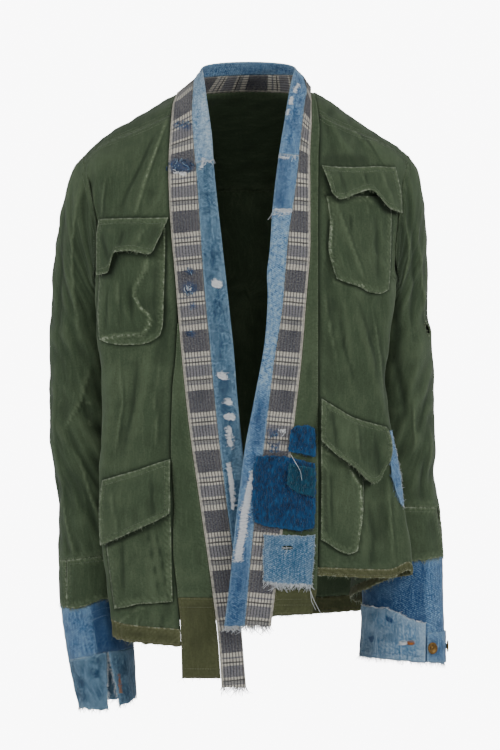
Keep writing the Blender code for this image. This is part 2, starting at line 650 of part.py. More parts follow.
CHEST_FLAP = {
    RIGHT: [
        [(-203, -180, 2.4), (-188, -180, 2.6), (-170, -180, 2.6),
         (-150, -180, 2.6), (-130, -180, 2.6), (-110, -180, 2.4)],
        [(-202, -202, 7.6), (-188, -200, 8.0), (-171, -197, 8.0),
         (-151, -197, 8.0), (-131, -198, 7.6), (-112, -186, 5.0)],
        [(-201, -228, 9.0), (-188, -226, 10), (-173, -212, 11),
         (-153, -212, 12), (-132, -214, 12), (-114, -192, 8.0)],
        [(-201, -257, 9.0), (-188, -255, 11), (-176, -228, 14),
         (-157, -227, 15), (-134, -231, 15), (-117, -199, 10)],
    ],
    LEFT: [
        [(97, -109, 2.4), (117, -111, 2.6), (136, -111, 2.6),
         (156, -110, 2.6), (176, -109, 2.8), (195, -109, 2.9)],
        [(101, -121, 6.6), (119, -124, 7.0), (138, -124, 7.0),
         (157, -123, 7.0), (178, -127, 7.4), (198, -129, 6.6)],
        [(106, -134, 9.0), (120, -140, 10), (139, -137, 9.0),
         (158, -133, 9.0), (181, -147, 10), (200, -150, 8.0)],
        [(111, -148, 10), (121, -157, 14), (140, -149, 12),
         (160, -143, 11), (184, -168, 13), (200, -171, 9.0)],
    ],
}
HIP_POCKET = {
    RIGHT: [
        [(-196, -584, 2.6), (-175, -574, 3.6), (-150, -563, 4.0), (-127, -555, 3.6), (-107, -548, 2.6)],
        [(-192, -622, 2.6), (-172, -618, 4.8), (-150, -612, 5.0), (-126, -612, 4.8), (-106, -610, 2.6)],
        [(-187, -665, 2.6), (-170, -662, 4.8), (-150, -660, 5.0), (-126, -660, 4.6), (-105, -658, 2.6)],
        [(-181, -707, 2.4), (-168, -705, 2.4), (-150, -700, 2.4), (-126, -698, 2.4), (-104, -696, 2.4)],
    ],
    LEFT: [
        [(95, -470, 2.4), (110, -474, 3.6), (125, -477, 4.0), (140, -479, 3.6), (154, -481, 2.6)],
        [(95, -520, 2.6), (110, -524, 4.8), (124, -527, 5.0), (138, -528, 4.8), (152, -530, 2.6)],
        [(95, -570, 2.6), (109, -575, 4.8), (122, -578, 5.0), (135, -580, 4.8), (150, -582, 2.6)],
        [(95, -612, 2.3), (108, -620, 2.3), (120, -628, 2.3), (132, -632, 2.3), (144, -628, 2.3)],
    ],
}
HIP_FLAP = {
    RIGHT: [
        [(-198, -534, 2.4), (-175, -527, 2.6), (-150, -519, 2.6), (-127, -511, 2.6), (-107, -505, 2.4)],
        [(-198, -562, 7.6), (-175, -554, 8.2), (-150, -546, 8.2), (-127, -538, 8.0), (-107, -531, 7.0)],
        [(-197, -592, 9.0), (-174, -583, 10), (-150, -574, 11), (-127, -565, 10), (-107, -555, 8.0)],
        [(-195, -621, 10), (-173, -611, 12), (-150, -600, 13), (-128, -590, 12), (-108, -578, 9.0)],
    ],
    LEFT: [
        [(96, -424, 2.4), (116, -436, 2.6), (138, -449, 2.6), (161, -456, 2.6), (183, -462, 2.4)],
        [(95, -443, 7.0), (115, -457, 8.2), (138, -470, 9.0), (162, -484, 8.4), (186, -478, 7.0)],
        [(94, -462, 9.0), (114, -478, 11), (138, -494, 11), (161, -512, 11), (187, -494, 9.0)],
        [(94, -480, 10), (114, -497, 13), (138, -517, 13), (161, -538, 14), (185, -508, 10)],
    ],
}
PATCHES = [
    ("patch_indigo_top", INDIGO, [
        [(54, -465, 3.1), (64, -459, 3.1), (76, -459, 3.1), (87, -464, 3.1)],
        [(52, -481, 3.1), (64, -479, 3.5), (76, -480, 3.5), (88, -483, 3.1)],
        [(51, -495, 3.1), (64, -497, 3.1), (76, -499, 3.1), (87, -502, 3.1)],
    ]),
    ("patch_indigo_main", INDIGO, [
        [(8, -499, 3.7), (28, -499, 3.7), (48, -500, 3.7), (68, -505, 3.7), (87, -510, 3.7)],
        [(3, -526, 3.7), (24, -526, 4.3), (46, -528, 4.3), (67, -530, 4.3), (88, -532, 3.7)],
        [(2, -554, 3.7), (24, -556, 4.3), (46, -560, 4.3), (67, -562, 4.3), (88, -562, 3.7)],
        [(5, -589, 3.7), (22, -595, 3.7), (43, -598, 3.7), (66, -601, 3.7), (86, -597, 3.7)],
    ]),
    ("patch_teal", TEAL, [
        [(52, -509, 6.1), (64, -512, 6.1), (76, -514, 6.1), (86, -516, 6.1)],
        [(50, -524, 6.1), (62, -530, 6.4), (75, -534, 6.4), (86, -536, 6.1)],
        [(49, -538, 6.1), (60, -548, 6.1), (74, -553, 6.1), (86, -556, 6.1)],
    ]),
    ("patch_light_denim", PALE_DENIM, [
        [(18, -605, 3.7), (42, -606, 3.7), (58, -606, 3.7), (72, -606, 3.7), (87, -606, 3.7)],
        [(18, -620, 3.7), (42, -620.5, 4.2), (58, -620.5, 4.2), (72, -621, 4.2), (87, -621, 3.7)],
        [(17, -626, 3.7), (42, -626, 4.2), (58, -626, 4.2), (72, -627, 4.2), (86, -627, 3.7)],
        [(17, -648, 3.7), (41, -649, 4.2), (58, -649, 4.2), (71, -650, 4.2), (85, -650, 3.7)],
        [(17, -668, 3.7), (40, -671, 3.7), (57, -672, 3.7), (70, -673, 3.7), (83, -673, 3.7)],
    ]),
]


def pockets(side):
    name = NAMES[side]
    return [
        cloth("chest_pocket_" + name, on_front_net(side, CHEST_POCKET[side], 7, 9), FADED_GREEN),
        cloth("chest_flap_" + name, on_front_net(side, CHEST_FLAP[side], 7, 5), FADED_GREEN, wall=1.8),
        cloth("hip_pocket_" + name, on_front_net(side, HIP_POCKET[side], 6, 8), FADED_GREEN),
        cloth("hip_flap_" + name, on_front_net(side, HIP_FLAP[side], 6, 5), FADED_GREEN, wall=1.8),
    ]


def patches():
    pieces = []
    for name, look, rows in PATCHES:
        if name == "patch_light_denim":
            fine = np.array(rows, float)
            grid = on_front(LEFT, fine[..., 0], fine[..., 1], fine[..., 2])
            pieces.append(cloth(name, grid, look, wall=1.0, skip={(1, 1)}))
        else:
            grid = on_front_net(LEFT, rows, len(rows[0]) - 1, len(rows) - 1)
            pieces.append(cloth(name, grid, look, wall=1.0))
    heights = np.linspace(-469, -563, 6)
    wide, corner = WIDTH[FRONT, LEFT](heights), CORNER[FRONT, LEFT](heights)
    inner = on_front(LEFT, 0.95 * wide, heights, 2.6)
    outer = np.stack([wide + 3.0, -corner - 4, heights], -1)
    pieces.append(cloth("side_flag_left", strip(inner, outer, 2, crown=2.2), PALE_DENIM, wall=1.0))
    return pieces


# Each sleeve below the armpit is a stack of level ovals: centre, half width, depth centre, half depth.
SLEEVE = {
    RIGHT: {
        "outer": curve((-310, 275), (-400, 277), (-491, 277), (-506, 274), (-583, 264),
                       (-653, 263), (-712, 260), (-784, 249), (-850, 234)),
        "inner": curve((-310, 176), (-400, 172), (-500, 170), (-600, 168),
                       (-700, 166), (-746, 160), (-850, 153)),
        "fore": curve((-310, -1), (-430, 6), (-560, -8), (-700, -38), (-850, -56)),
        "deep": curve((-310, 62), (-430, 58), (-600, 53), (-700, 50), (-850, 49)),
    },
    LEFT: {
        "outer": curve((-310, 245), (-392, 254), (-533, 255), (-580, 262),
                       (-650, 266), (-734, 267), (-790, 267)),
        "inner": curve((-310, 166), (-400, 158), (-500, 156), (-600, 156), (-700, 153), (-790, 148)),
        "fore": curve((-310, 0), (-430, 6), (-560, -10), (-700, -40), (-790, -52)),
        "deep": curve((-310, 64), (-430, 60), (-600, 54), (-700, 50), (-790, 49)),
    },
}
# Creases round the sleeves: turn in degrees (0 outside, 90 front, 180 inside), half spread, height, tilt,
# half width and rise.
CREASES = {
    RIGHT: [(60, 80, -330, 20, 18, 4), (80, 80, -470, -26, 18, 5),
            (60, 70, -540, 24, 16, -4), (-70, 80, -440, 20, 20, 5),
            (90, 60, -600, -20, 16, 4), (-90, 70, -560, -20, 18, -4)],
    LEFT: [(60, 80, -350, -20, 18, 4), (70, 80, -480, 26, 18, 5),
           (60, 70, -540, -22, 15, -4), (-70, 80, -450, -20, 20, 5),
           (-90, 70, -560, 20, 18, -4)],
}
SLEEVE_COLUMNS = 16
ARM_TOP = -310.0
HEAD_GAP, HEAD_GAP_BELOW = 2.1, 2.4  # from the armhole's edge to the sleeve's, and more of it under the arm
HEAD_LEAVE = (0.4, -0.25)  # sideways and upward pull of the sleeve's head where it leaves the armhole
HEAD_ARRIVE = -0.9  # its pull downward where it meets the arm
BODY_CLEAR = 6.0  # least way from the body's side to a sleeve's middle surface
HEAD_CLEAR, HEAD_CLEAR_MORE = 2.9, 3.1  # the same at the armhole, and how much it grows
BELOW_HEM = 0.12  # the share that the body's reach shrinks by below its hem


def arm(side, turn, z, lift=0.0):
    """A point of the sleeve or of a cuff on it: turn 0 outside, 90 degrees at the front, 180 inside."""
    turn, z = np.broadcast_arrays(np.asarray(turn, float), np.asarray(z, float))
    shape = SLEEVE[side]
    centre = (shape["outer"](z) + shape["inner"](z)) / 2
    half = (shape["outer"](z) - shape["inner"](z)) / 2
    rise = lift + 0 * z
    for middle, spread, height, tilt, width, tall in CREASES[side]:
        away = (np.degrees(turn) - middle + 180) % 360 - 180
        along = away / spread
        bell = np.exp(-(((z - height - tilt * along) / width) ** 2))
        rise = rise + tall * bell * np.clip(1 - along**2, 0, 1)
    x = centre + (half + rise) * np.cos(turn)
    y = shape["fore"](z) - (shape["deep"](z) + rise) * np.sin(turn)
    return np.stack([side * x, y, z], -1)


def body_reach(side, y, z):
    """How far sideways the body reaches at a depth and a height."""
    reach = np.zeros(y.shape)
    for face in (FRONT, BACK):
        corner, depth, wide = CORNER[face, side](z), DEPTH[face, side](z), WIDTH[face, side](z)
        away = np.clip(face * y, 0, None)
        t = np.clip(1 - away / np.maximum(corner, 1), 0, 1)
        turned = t ** (TURN[side](z) if face == FRONT else BACK_TURN)
        keep = (1 - turned) ** 2 * (1 + 2 * turned)
        pinched = SIDE_SEAM[side](z) + (wide - SIDE_SEAM[side](z)) * keep
        past = np.clip((away - corner) / (depth - corner), 0, 1)
        curved = wide * (1 - past**ROUNDNESS) ** (1 / ROUNDNESS)
        here = np.where(away < corner, pinched, curved)
        reach = np.where(face * y >= 0, here, reach)
    return reach


def sleeve_head(side, rows):
    """From the armhole down to the first level oval, as rows of points."""
    down = np.array([-96.0, *ARMHOLE_ROWS])
    top = np.array([[side * armhole_width(FRONT, side, np.array(ARMHOLE_TOP)), 0, ARMHOLE_TOP]])
    ahead = armhole_edge(FRONT, side, down)
    behind = armhole_edge(BACK, side, down)
    ring = np.concatenate([top, ahead, behind[-2::-1]])
    ring[8, 1] = 0
    away = np.linspace(0, 2 * np.pi, SLEEVE_COLUMNS, endpoint=False)
    below = np.clip(-np.cos(away), 0, 1)
    outward = np.outer(HEAD_GAP + HEAD_GAP_BELOW * below, [side, 0, 0]) + np.outer(np.cos(away), [0, 0, 0.5])
    start = ring + outward
    end = arm(side, away, ARM_TOP)
    reach = np.linalg.norm(end - start, axis=1)[:, None]
    leave = reach * np.array([side * HEAD_LEAVE[0], 0, HEAD_LEAVE[1]])
    arrive = reach * np.array([0, 0, HEAD_ARRIVE])
    s = np.linspace(0, 1, rows + 1)[:, None, None]
    path = start * (1 + 2 * s) * (1 - s) ** 2 + leave * s * (1 - s) ** 2
    path = path + end * s * s * (3 - 2 * s) + arrive * s * s * (s - 1)
    low = path[..., 2] < UNDERARM_START - 1
    clear = body_reach(side, path[..., 1], path[..., 2])
    clear = clear + HEAD_CLEAR + HEAD_CLEAR_MORE * eased(s[..., 0], 0, 0.4)
    held = np.maximum(np.abs(path[..., 0]), clear)
    path[..., 0] = np.where(low & (s[..., 0] > 0), side * held, path[..., 0])
    return path


def kept_clear(side, grid, lift=0.0):
    """A sleeve grid with no point nearer than a few millimetres to the side of the body."""
    reach = body_reach(side, grid[..., 1], grid[..., 2]) + BODY_CLEAR - lift
    reach = reach * (1 - BELOW_HEM * eased(-grid[..., 2], 745, 830))
    grid[..., 0] = side * np.maximum(np.abs(grid[..., 0]), reach)
    return grid


def rings(side, top, bottom, rows, lift=0.0, start=0.0, end=360.0):
    """Rows of a cuff between two edges, which are heights by turn in degrees.

    Its columns are those of the sleeve, so that what lies on a ring lies flat on it.
    """
    step = 360 / SLEEVE_COLUMNS
    even = np.arange(math.floor(start / step), math.ceil(end / step) + 1) * step
    turn = np.concatenate([[start], even[(even > start + 3) & (even < end - 3)], [end]])
    if end - start == 360.0:
        turn = even[:-1]
    turn = np.radians(turn)
    s = np.linspace(0, 1, rows + 1)[:, None]
    z = top(np.degrees(turn)) + (bottom(np.degrees(turn)) - top(np.degrees(turn))) * s
    return kept_clear(side, arm(side, turn[None, :] + 0 * z, z, lift), lift)


def round_curve(*knots):
    """A smooth closed function of turn in degrees."""
    around = [(at + lap, value) for lap in (-360, 0, 360) for at, value in knots]
    smooth = curve(*around)
    return lambda turn: smooth(np.asarray(turn, float) % 360)


CUFF_SEAM = {
    RIGHT: round_curve((0, -647), (90, -640), (180, -632), (270, -640)),
    LEFT: round_curve((0, -574), (90, -572), (180, -572), (270, -574)),
}
GREEN_END = {
    RIGHT: round_curve((0, -707), (60, -710), (110, -697), (180, -695), (270, -700)),
    LEFT: round_curve((0, -640), (90, -646), (180, -645), (270, -642)),
}
DENIM_SEAM_RIGHT = round_curve((0, -782), (60, -776), (110, -767), (180, -764), (270, -774))
DENIM_END = {
    RIGHT: round_curve((0, -846), (80, -846), (135, -838), (180, -830), (270, -842)),
    LEFT: round_curve((0, -787), (60, -782), (120, -776), (180, -775), (270, -784)),
}
PATCH_TOP_LEFT = round_curve((0, -714), (60, -728), (120, -708), (180, -706), (270, -710))
WAISTBAND_TOP_LEFT = round_curve((0, -742), (270, -742))


def shifted(edge, by):
    return lambda turn: edge(turn) + by


def sleeves(side):
    name = NAMES[side]
    head = sleeve_head(side, 7)
    rows = 13 if side == RIGHT else 11
    lower = rings(side, round_curve((0, ARM_TOP)), shifted(CUFF_SEAM[side], SEAM), rows)
    whole = np.concatenate([head, lower[1:]])
    over = np.concatenate([whole[:, 12:], whole[:, :5]], axis=1).copy()
    under = whole[:, 4:13].copy()
    for edge in (over[:, 0], over[:, -1]):
        edge[:, 0] += side * SEAM * 1.6
    for edge in (under[:, 0], under[:, -1]):
        edge[:, 0] -= side * SEAM * 1.6
    return [cloth("sleeve_" + name, over, FADED_GREEN), cloth(f"sleeve_{name}_under", under, FADED_GREEN)]


# The slits in the cuffs: where they are, in degrees of turn, and half their opening.
VENT = {RIGHT: (42.0, 1.5), LEFT: (20.0, 4.0)}
SPLIT_AT, SPLIT_TOP, SPLIT_MOUTH = 105.0, 0.5, 11.5
UNDER_GREEN = -1.2  # the denim cuffs come out from just inside the green ones
ON_CUFF = 0.6  # what is sewn on a denim cuff


def vented_cuff(side, rows):
    at, half = VENT[side]
    top = shifted(CUFF_SEAM[side], -SEAM)
    return rings(side, top, GREEN_END[side], rows, 0.0, at + half, at - half + 360)


def split_cuff():
    """The right denim cuff's lower ring, open in a slit that widens downwards like an upside-down V."""
    share = np.linspace(0, 1, SLEEVE_COLUMNS + 1)
    s = np.linspace(0, 1, 5)[:, None]
    half = SPLIT_TOP + (SPLIT_MOUTH - SPLIT_TOP) * s
    turn = SPLIT_AT + half + share * (360 - 2 * half)
    top = DENIM_SEAM_RIGHT(turn) - SEAM
    z = top + (DENIM_END[RIGHT](turn) - top) * s
    return kept_clear(RIGHT, arm(RIGHT, np.radians(turn), z, UNDER_GREEN), UNDER_GREEN)


def cuffs_right():
    top = shifted(GREEN_END[RIGHT], -2 * SEAM)
    upper = rings(RIGHT, top, shifted(DENIM_SEAM_RIGHT, SEAM), 4, UNDER_GREEN)
    return [
        cloth("cuff_green_right", vented_cuff(RIGHT, 3), FADED_GREEN),
        cloth("cuff_denim_right_upper", upper, DENIM, closed=True),
        cloth("cuff_denim_right_lower", split_cuff(), DARK_DENIM),
    ]


def cuffs_left():
    denim = rings(LEFT, shifted(GREEN_END[LEFT], -2 * SEAM), DENIM_END[LEFT], 7, UNDER_GREEN)
    patch = rings(LEFT, PATCH_TOP_LEFT, shifted(DENIM_END[LEFT], -1.5), 4, ON_CUFF, 60, 172)
    band = rings(LEFT, WAISTBAND_TOP_LEFT, shifted(DENIM_END[LEFT], 2), 3, ON_CUFF + 0.2, -112, 57)
    return [
        cloth("cuff_green_left", vented_cuff(LEFT, 4), FADED_GREEN),
        cloth("cuff_denim_left", denim, DENIM, closed=True),
        cloth("cuff_patch_left", patch, PALE_DENIM, wall=1.2),
        cloth("cuff_waistband_left", band, DENIM, wall=1.8),
    ]


def outward(side, turn, z):
    """The direction square to a sleeve's cloth at a turn, in degrees, and a height."""
    here, ahead, above = (arm(side, np.radians(turn + a), z + b) for a, b in ((0, 0), (4, 0), (0, 4)))
    return Vector((-side * np.cross(ahead - here, above - here)).tolist()).normalized()


# A jeans button's turned profile: radius and height above its seat.
BUTTON = [(0, 2.2), (4.6, 2.4), (5.6, 3.2), (7.0, 3.4),
          (8.0, 2.4), (7.6, 1.2), (4.0, 0.9), (3.2, 0.3), (0, 0.3)]
BUTTON_STEPS = 14
BUTTON_SEAT = ON_CUFF + 1.1


def button(name, turn, z):
    """A jeans button: a turned cap with a rolled rim and a sunk centre, its shank on the waistband."""
    mesh = bpy.data.meshes.new(name)
    shape = bmesh.new()
    line = [shape.verts.new((r * MM, 0, h * MM)) for r, h in BUTTON]
    edges = [shape.edges.new(pair) for pair in zip(line[:-1], line[1:])]
    bmesh.ops.spin(
        shape, geom=line + edges, cent=(0, 0, 0), axis=(0, 0, 1), angle=2 * math.pi, steps=BUTTON_STEPS
    )
    bmesh.ops.remove_doubles(shape, verts=shape.verts, dist=1e-6)
    bmesh.ops.recalc_face_normals(shape, faces=shape.faces)
    shape.to_mesh(mesh)
    shape.free()
    mesh.materials.append(finish(name, *BRASS))
    piece = bpy.data.objects.new(name, mesh)
    piece.location = (arm(LEFT, np.radians(turn), z, BUTTON_SEAT) * MM).tolist()
    piece.rotation_mode = "QUATERNION"
    piece.rotation_quaternion = outward(LEFT, turn, z).to_track_quat("Z", "Y")
    return piece


# The rip at the left elbow: turn, height, half width, half height.
RIP = (34.0, -328.0, 2.4, 7.0)


def rip(sleeve, cutters):
    """Cut the worn hole through the left sleeve."""
    turn, z, half_wide, half_tall = RIP
    bpy.ops.mesh.primitive_cylinder_add(vertices=10, radius=1, depth=16 * MM)
    cutter = bpy.context.object
    cutter.name = "elbow_rip_cutter"
    away = outward(LEFT, turn, z)
    along = Vector((0, 0, 1)).cross(away).normalized()
    up = away.cross(along)
    place = Matrix((along * half_wide * MM, up * half_tall * MM, away)).transposed().to_4x4()
    place.translation = Vector((arm(LEFT, np.radians(turn), z) * MM).tolist())
    cutter.matrix_world = place
    cutter.hide_render = True
    cutter.display_type = "WIRE"
    for home in list(cutter.users_collection):
        home.objects.unlink(cutter)
    cutters.objects.link(cutter)
    hole = sleeve.modifiers.new("rip", "BOOLEAN")
    hole.object = cutter


def build():
    clear_parts()
    jacket = bpy.data.collections.new("patched jacket")
    cutters = bpy.data.collections.new("cutters")
    bpy.context.scene.collection.children.link(jacket)
    bpy.context.scene.collection.children.link(cutters)
    pieces = yoke() + back() + front(RIGHT) + front(LEFT) + plackets()
    pieces += bands(RIGHT) + bands(LEFT) + neck_bands()
    pieces += pockets(RIGHT) + pockets(LEFT) + patches()
    pieces += sleeves(RIGHT) + sleeves(LEFT) + cuffs_right() + cuffs_left()
    pieces += [button("button_front", 50, -763), button("button_side", 0, -763)]
    for piece in pieces:
        jacket.objects.link(piece)
        if piece.name == "sleeve_left":
            rip(piece, cutters)


build()
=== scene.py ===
"""Looks of a patched boro jacket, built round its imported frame.

Lengths are millimetres in the tables and the grids, and become metres when a mesh is made.
X runs to the wearer's left, -Y is the front, +Z is up, and the origin is the middle of the neck.
Every piece of cloth is a fine grid on the same form as its solid, with its folds, puckers, wear,
seams, stitches and loose threads.
"""

import logging
import math
from dataclasses import dataclass, field
from enum import Enum, IntEnum
from typing import Any, Callable, Iterable

import bpy
import numpy as np
from bpy.types import Material, Mesh, NodeSocket, Object
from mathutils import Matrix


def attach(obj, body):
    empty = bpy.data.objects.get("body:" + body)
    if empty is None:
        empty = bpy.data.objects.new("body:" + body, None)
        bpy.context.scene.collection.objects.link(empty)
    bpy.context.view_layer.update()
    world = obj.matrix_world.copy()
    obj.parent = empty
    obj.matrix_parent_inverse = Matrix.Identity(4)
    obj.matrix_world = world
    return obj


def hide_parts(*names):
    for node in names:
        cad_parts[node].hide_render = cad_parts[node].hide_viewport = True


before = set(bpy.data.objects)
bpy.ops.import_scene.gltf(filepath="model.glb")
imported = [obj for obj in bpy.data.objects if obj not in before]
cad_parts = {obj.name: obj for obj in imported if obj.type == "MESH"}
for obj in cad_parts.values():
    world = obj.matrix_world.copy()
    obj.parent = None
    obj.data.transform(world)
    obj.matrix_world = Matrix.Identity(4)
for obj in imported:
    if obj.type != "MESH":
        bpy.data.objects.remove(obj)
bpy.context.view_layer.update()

log = logging.getLogger("jacket")

MM = 0.001
CLOTH = 1.4  # wall of most pieces
SEAM = -0.15  # half of the gap where two pieces meet edge to edge; a seam has none, so they overlap
STEP = 3.6  # the mesh's spacing
PITCH = 3.4  # from one stitch to the next
TINY = 1e-9  # the least length that is divided by
WAVE = 314  # the scale of a wave texture whose bands are 1 mm apart
CLEARANCE = 6.0  # from the middle of a sleeve's cloth to the body's side
ON_BAND, ON_PLACKET = 1.0, 0.8  # how far the bands' and the plackets' edges stand off the front

ARMHOLE_TOP = -88.0
UNDERARM_START = -262.0
ARMPIT = -280.0
ROUNDNESS = 2.4  # exponent of the body's rounded sections
RETURN_SHARE = 0.8  # the share of a panel's columns that run round the side

Array = np.ndarray
Curve = Callable[[Any], Array]
Line = list[tuple[float, float]]  # places (x, z)
Fold = tuple[Line, float, float]  # the line that it runs along, its half width and its height
Spots = list[tuple[Line, float]]  # lines of places with half widths


class Side(IntEnum):
    """The wearer's sides, as signs of X."""

    RIGHT = -1
    LEFT = 1


class Face(IntEnum):
    """The body's front and back, as signs of Y."""

    FRONT = -1
    BACK = 1


class Edge(Enum):
    """The edges of a grid: its first and last row, its first and last column."""

    TOP = "top"
    BOTTOM = "bottom"
    FIRST = "first"
    LAST = "last"


class Held(Enum):
    """How a piece of cloth is held up, in the frame's words."""

    HUNG = "hung"
    LAID = "laid"


RIGHT, LEFT = Side
FRONT, BACK = Face
TOP, BOTTOM, FIRST, LAST = Edge
NAMES = {RIGHT: "right", LEFT: "left"}


def hermite(t: Any, start: Any, end: Any, leave: Any, arrive: Any) -> Any:
    """A cubic from start to end by share t, with the slopes leave and arrive at its ends."""
    lead = start * (1 + 2 * t) * (1 - t) ** 2 + leave * t * (1 - t) ** 2
    return lead + end * t * t * (3 - 2 * t) + arrive * t * t * (t - 1)


def unit(ways: Array) -> Array:
    """The same directions, each 1 long."""
    return ways / np.maximum(np.linalg.norm(ways, axis=-1, keepdims=True), TINY)


def run_along(line: Array) -> Array:
    """How far along a line each of its points lies."""
    return np.concatenate([[0], np.cumsum(np.linalg.norm(np.diff(line, axis=0), axis=-1))])


def read_off(at: Array, run: Array, values: Array) -> Array:
    """Three coordinates read off a line at distances along it."""
    return np.stack([np.interp(at, run, values[:, k]) for k in range(3)], -1)


def away_from(core: Any, grid: Array, normal: Array) -> int:
    """The sign that turns a grid's normals away from the core that it wraps, an (x, y)."""
    return 1 if ((grid[..., :2] - np.array(core)) * normal[..., :2]).sum() > 0 else -1


def curve(*knots: tuple[float, float]) -> Curve:
    """A smooth function through points that never overshoots them: a monotone cubic.

    Args:
        knots: (position, value) pairs in any order.

    Returns:
        The function, which holds its end values past the ends.
    """
    at, value = np.array(sorted(knots), float).T
    step = np.diff(at)
    slope = np.diff(value) / step
    before, after = slope[:-1], slope[1:]
    same_way = before * after > 0
    both = np.where(same_way, before + after, 1.0)
    middle = np.where(same_way, 2 * before * after / both, 0.0)
    tangent = np.concatenate([slope[:1], middle, slope[-1:]])

    def read(x: Any) -> Array:
        """The curve's value at x.

        Args:
            x: positions.

        Returns:
            The values.
        """
        x = np.clip(x, at[0], at[-1])
        i = np.clip(np.searchsorted(at, x, side="right") - 1, 0, len(step) - 1)
        t = (x - at[i]) / step[i]
        return hermite(t, value[i], value[i + 1], tangent[i] * step[i], tangent[i + 1] * step[i])

    return read


def eased(x: Any, start: float, end: float) -> Array:
    """0 before start, 1 after end, smooth between."""
    t = np.clip((x - start) / (end - start), 0, 1)
    return t * t * (3 - 2 * t)


def round_curve(*knots: tuple[float, float]) -> Curve:
    """A smooth closed function of turn in degrees, through (turn, value) pairs."""
    smooth = curve(*[(at + lap, value) for lap in (-360, 0, 360) for at, value in knots])
    return lambda turn: smooth(np.asarray(turn, float) % 360)


# Half width of the body by height; down to the armhole it is also the line of the shoulder.
SHOULDER_RIGHT = [(12, 92), (0, 97), (-29, 146), (-54, 189), (-68, 208), (-81, 221), (-88, 228), (-96, 233)]
SHOULDER_LEFT = [(12, 84), (0, 88), (-14, 112), (-34, 138), (-47, 159), (-62, 180), (-75, 202), (-88, 217),
                 (-96, 222)]
FRONT_RIGHT_BODY = [(-112, 236), (-135, 232), (-170, 224), (-210, 217), (-245, 213), (-262, 211),
                    (-340, 207)]
FRONT_RIGHT_SKIRT = [(-420, 200), (-540, 204), (-600, 202), (-700, 190), (-760, 183)]
FRONT_LEFT_BODY = [(-112, 224), (-135, 221), (-170, 214), (-210, 207), (-245, 202), (-262, 200),
                   (-340, 190)]
FRONT_LEFT_SKIRT = [(-400, 183), (-456, 190), (-560, 206), (-640, 218), (-700, 219)]
BACK_RIGHT_BODY = [(-112, 234), (-170, 222), (-245, 208), (-262, 204), (-340, 197), (-420, 191),
                   (-600, 188), (-760, 190)]
BACK_LEFT_BODY = [(-112, 223), (-170, 212), (-245, 200), (-262, 196), (-340, 187), (-420, 181), (-600, 180),
                  (-760, 184)]
WIDTH = {
    (FRONT, RIGHT): curve(*SHOULDER_RIGHT, *FRONT_RIGHT_BODY, *FRONT_RIGHT_SKIRT),
    (FRONT, LEFT): curve(*SHOULDER_LEFT, *FRONT_LEFT_BODY, *FRONT_LEFT_SKIRT),
    (BACK, RIGHT): curve(*SHOULDER_RIGHT, *BACK_RIGHT_BODY),
    (BACK, LEFT): curve(*SHOULDER_LEFT, *BACK_LEFT_BODY),
}
# How far the front and the back stand from the line of the shoulders.
BACK_DEPTH = curve((12, 84), (0, 88), (-38, 104), (-88, 119), (-170, 127), (-260, 124), (-420, 114),
                   (-560, 116), (-760, 128))
DEPTH = {
    (FRONT, RIGHT): curve((0, 62), (-38, 85), (-88, 108), (-112, 118), (-170, 132), (-245, 141),
                          (-500, 140), (-760, 145)),
    (FRONT, LEFT): curve((0, 62), (-38, 85), (-88, 108), (-112, 118), (-170, 132), (-245, 141), (-500, 145),
                         (-700, 154)),
    (BACK, RIGHT): BACK_DEPTH, (BACK, LEFT): BACK_DEPTH,
}
# The depth at which each section is widest.
BACK_CORNER = curve((-88, 0), (-96, 4), (-135, 14), (-170, 26), (-245, 56), (-300, 66), (-760, 68))
CORNER = {
    (FRONT, RIGHT): curve((-88, 0), (-96, 4), (-135, 13), (-170, 25), (-210, 45), (-262, 75), (-340, 92),
                          (-600, 99), (-760, 112)),
    (FRONT, LEFT): curve((-88, 0), (-96, 4), (-135, 13), (-170, 25), (-210, 45), (-262, 75), (-340, 92),
                         (-560, 108), (-700, 130)),
    (BACK, RIGHT): BACK_CORNER, (BACK, LEFT): BACK_CORNER,
}
ARMHOLE = {
    RIGHT: curve((-88, 228), (-96, 227.6), (-112, 223), (-135, 218), (-170, 211), (-210, 206), (-245, 207),
                 (-262, 211)),
    LEFT: curve((-88, 217), (-96, 216.6), (-112, 212), (-135, 207), (-170, 203), (-210, 198), (-245, 196),
                (-262, 200)),
}
BACK_ARMHOLE = {
    RIGHT: curve((-88, 228), (-96, 227.6), (-112, 222), (-135, 216), (-170, 209), (-210, 203), (-245, 201),
                 (-262, 204)),
    LEFT: curve((-88, 217), (-96, 216.6), (-112, 211), (-135, 205), (-170, 200), (-210, 194), (-245, 192),
                (-262, 196)),
}
SIDE_SEAM = {
    RIGHT: curve((-280, 170), (-340, 160), (-420, 156), (-600, 157), (-700, 151), (-760, 147)),
    LEFT: curve((-280, 165), (-340, 149), (-400, 142), (-456, 142), (-600, 144), (-700, 139)),
}
# How quickly the side turns in behind the front corner.
BACK_TURN = 0.75
TURN = {
    RIGHT: curve((-262, 0.75), (-600, 0.75), (-760, 0.62)),
    LEFT: curve((-262, 0.75), (-456, 0.72), (-560, 0.6), (-663, 0.45)),
}
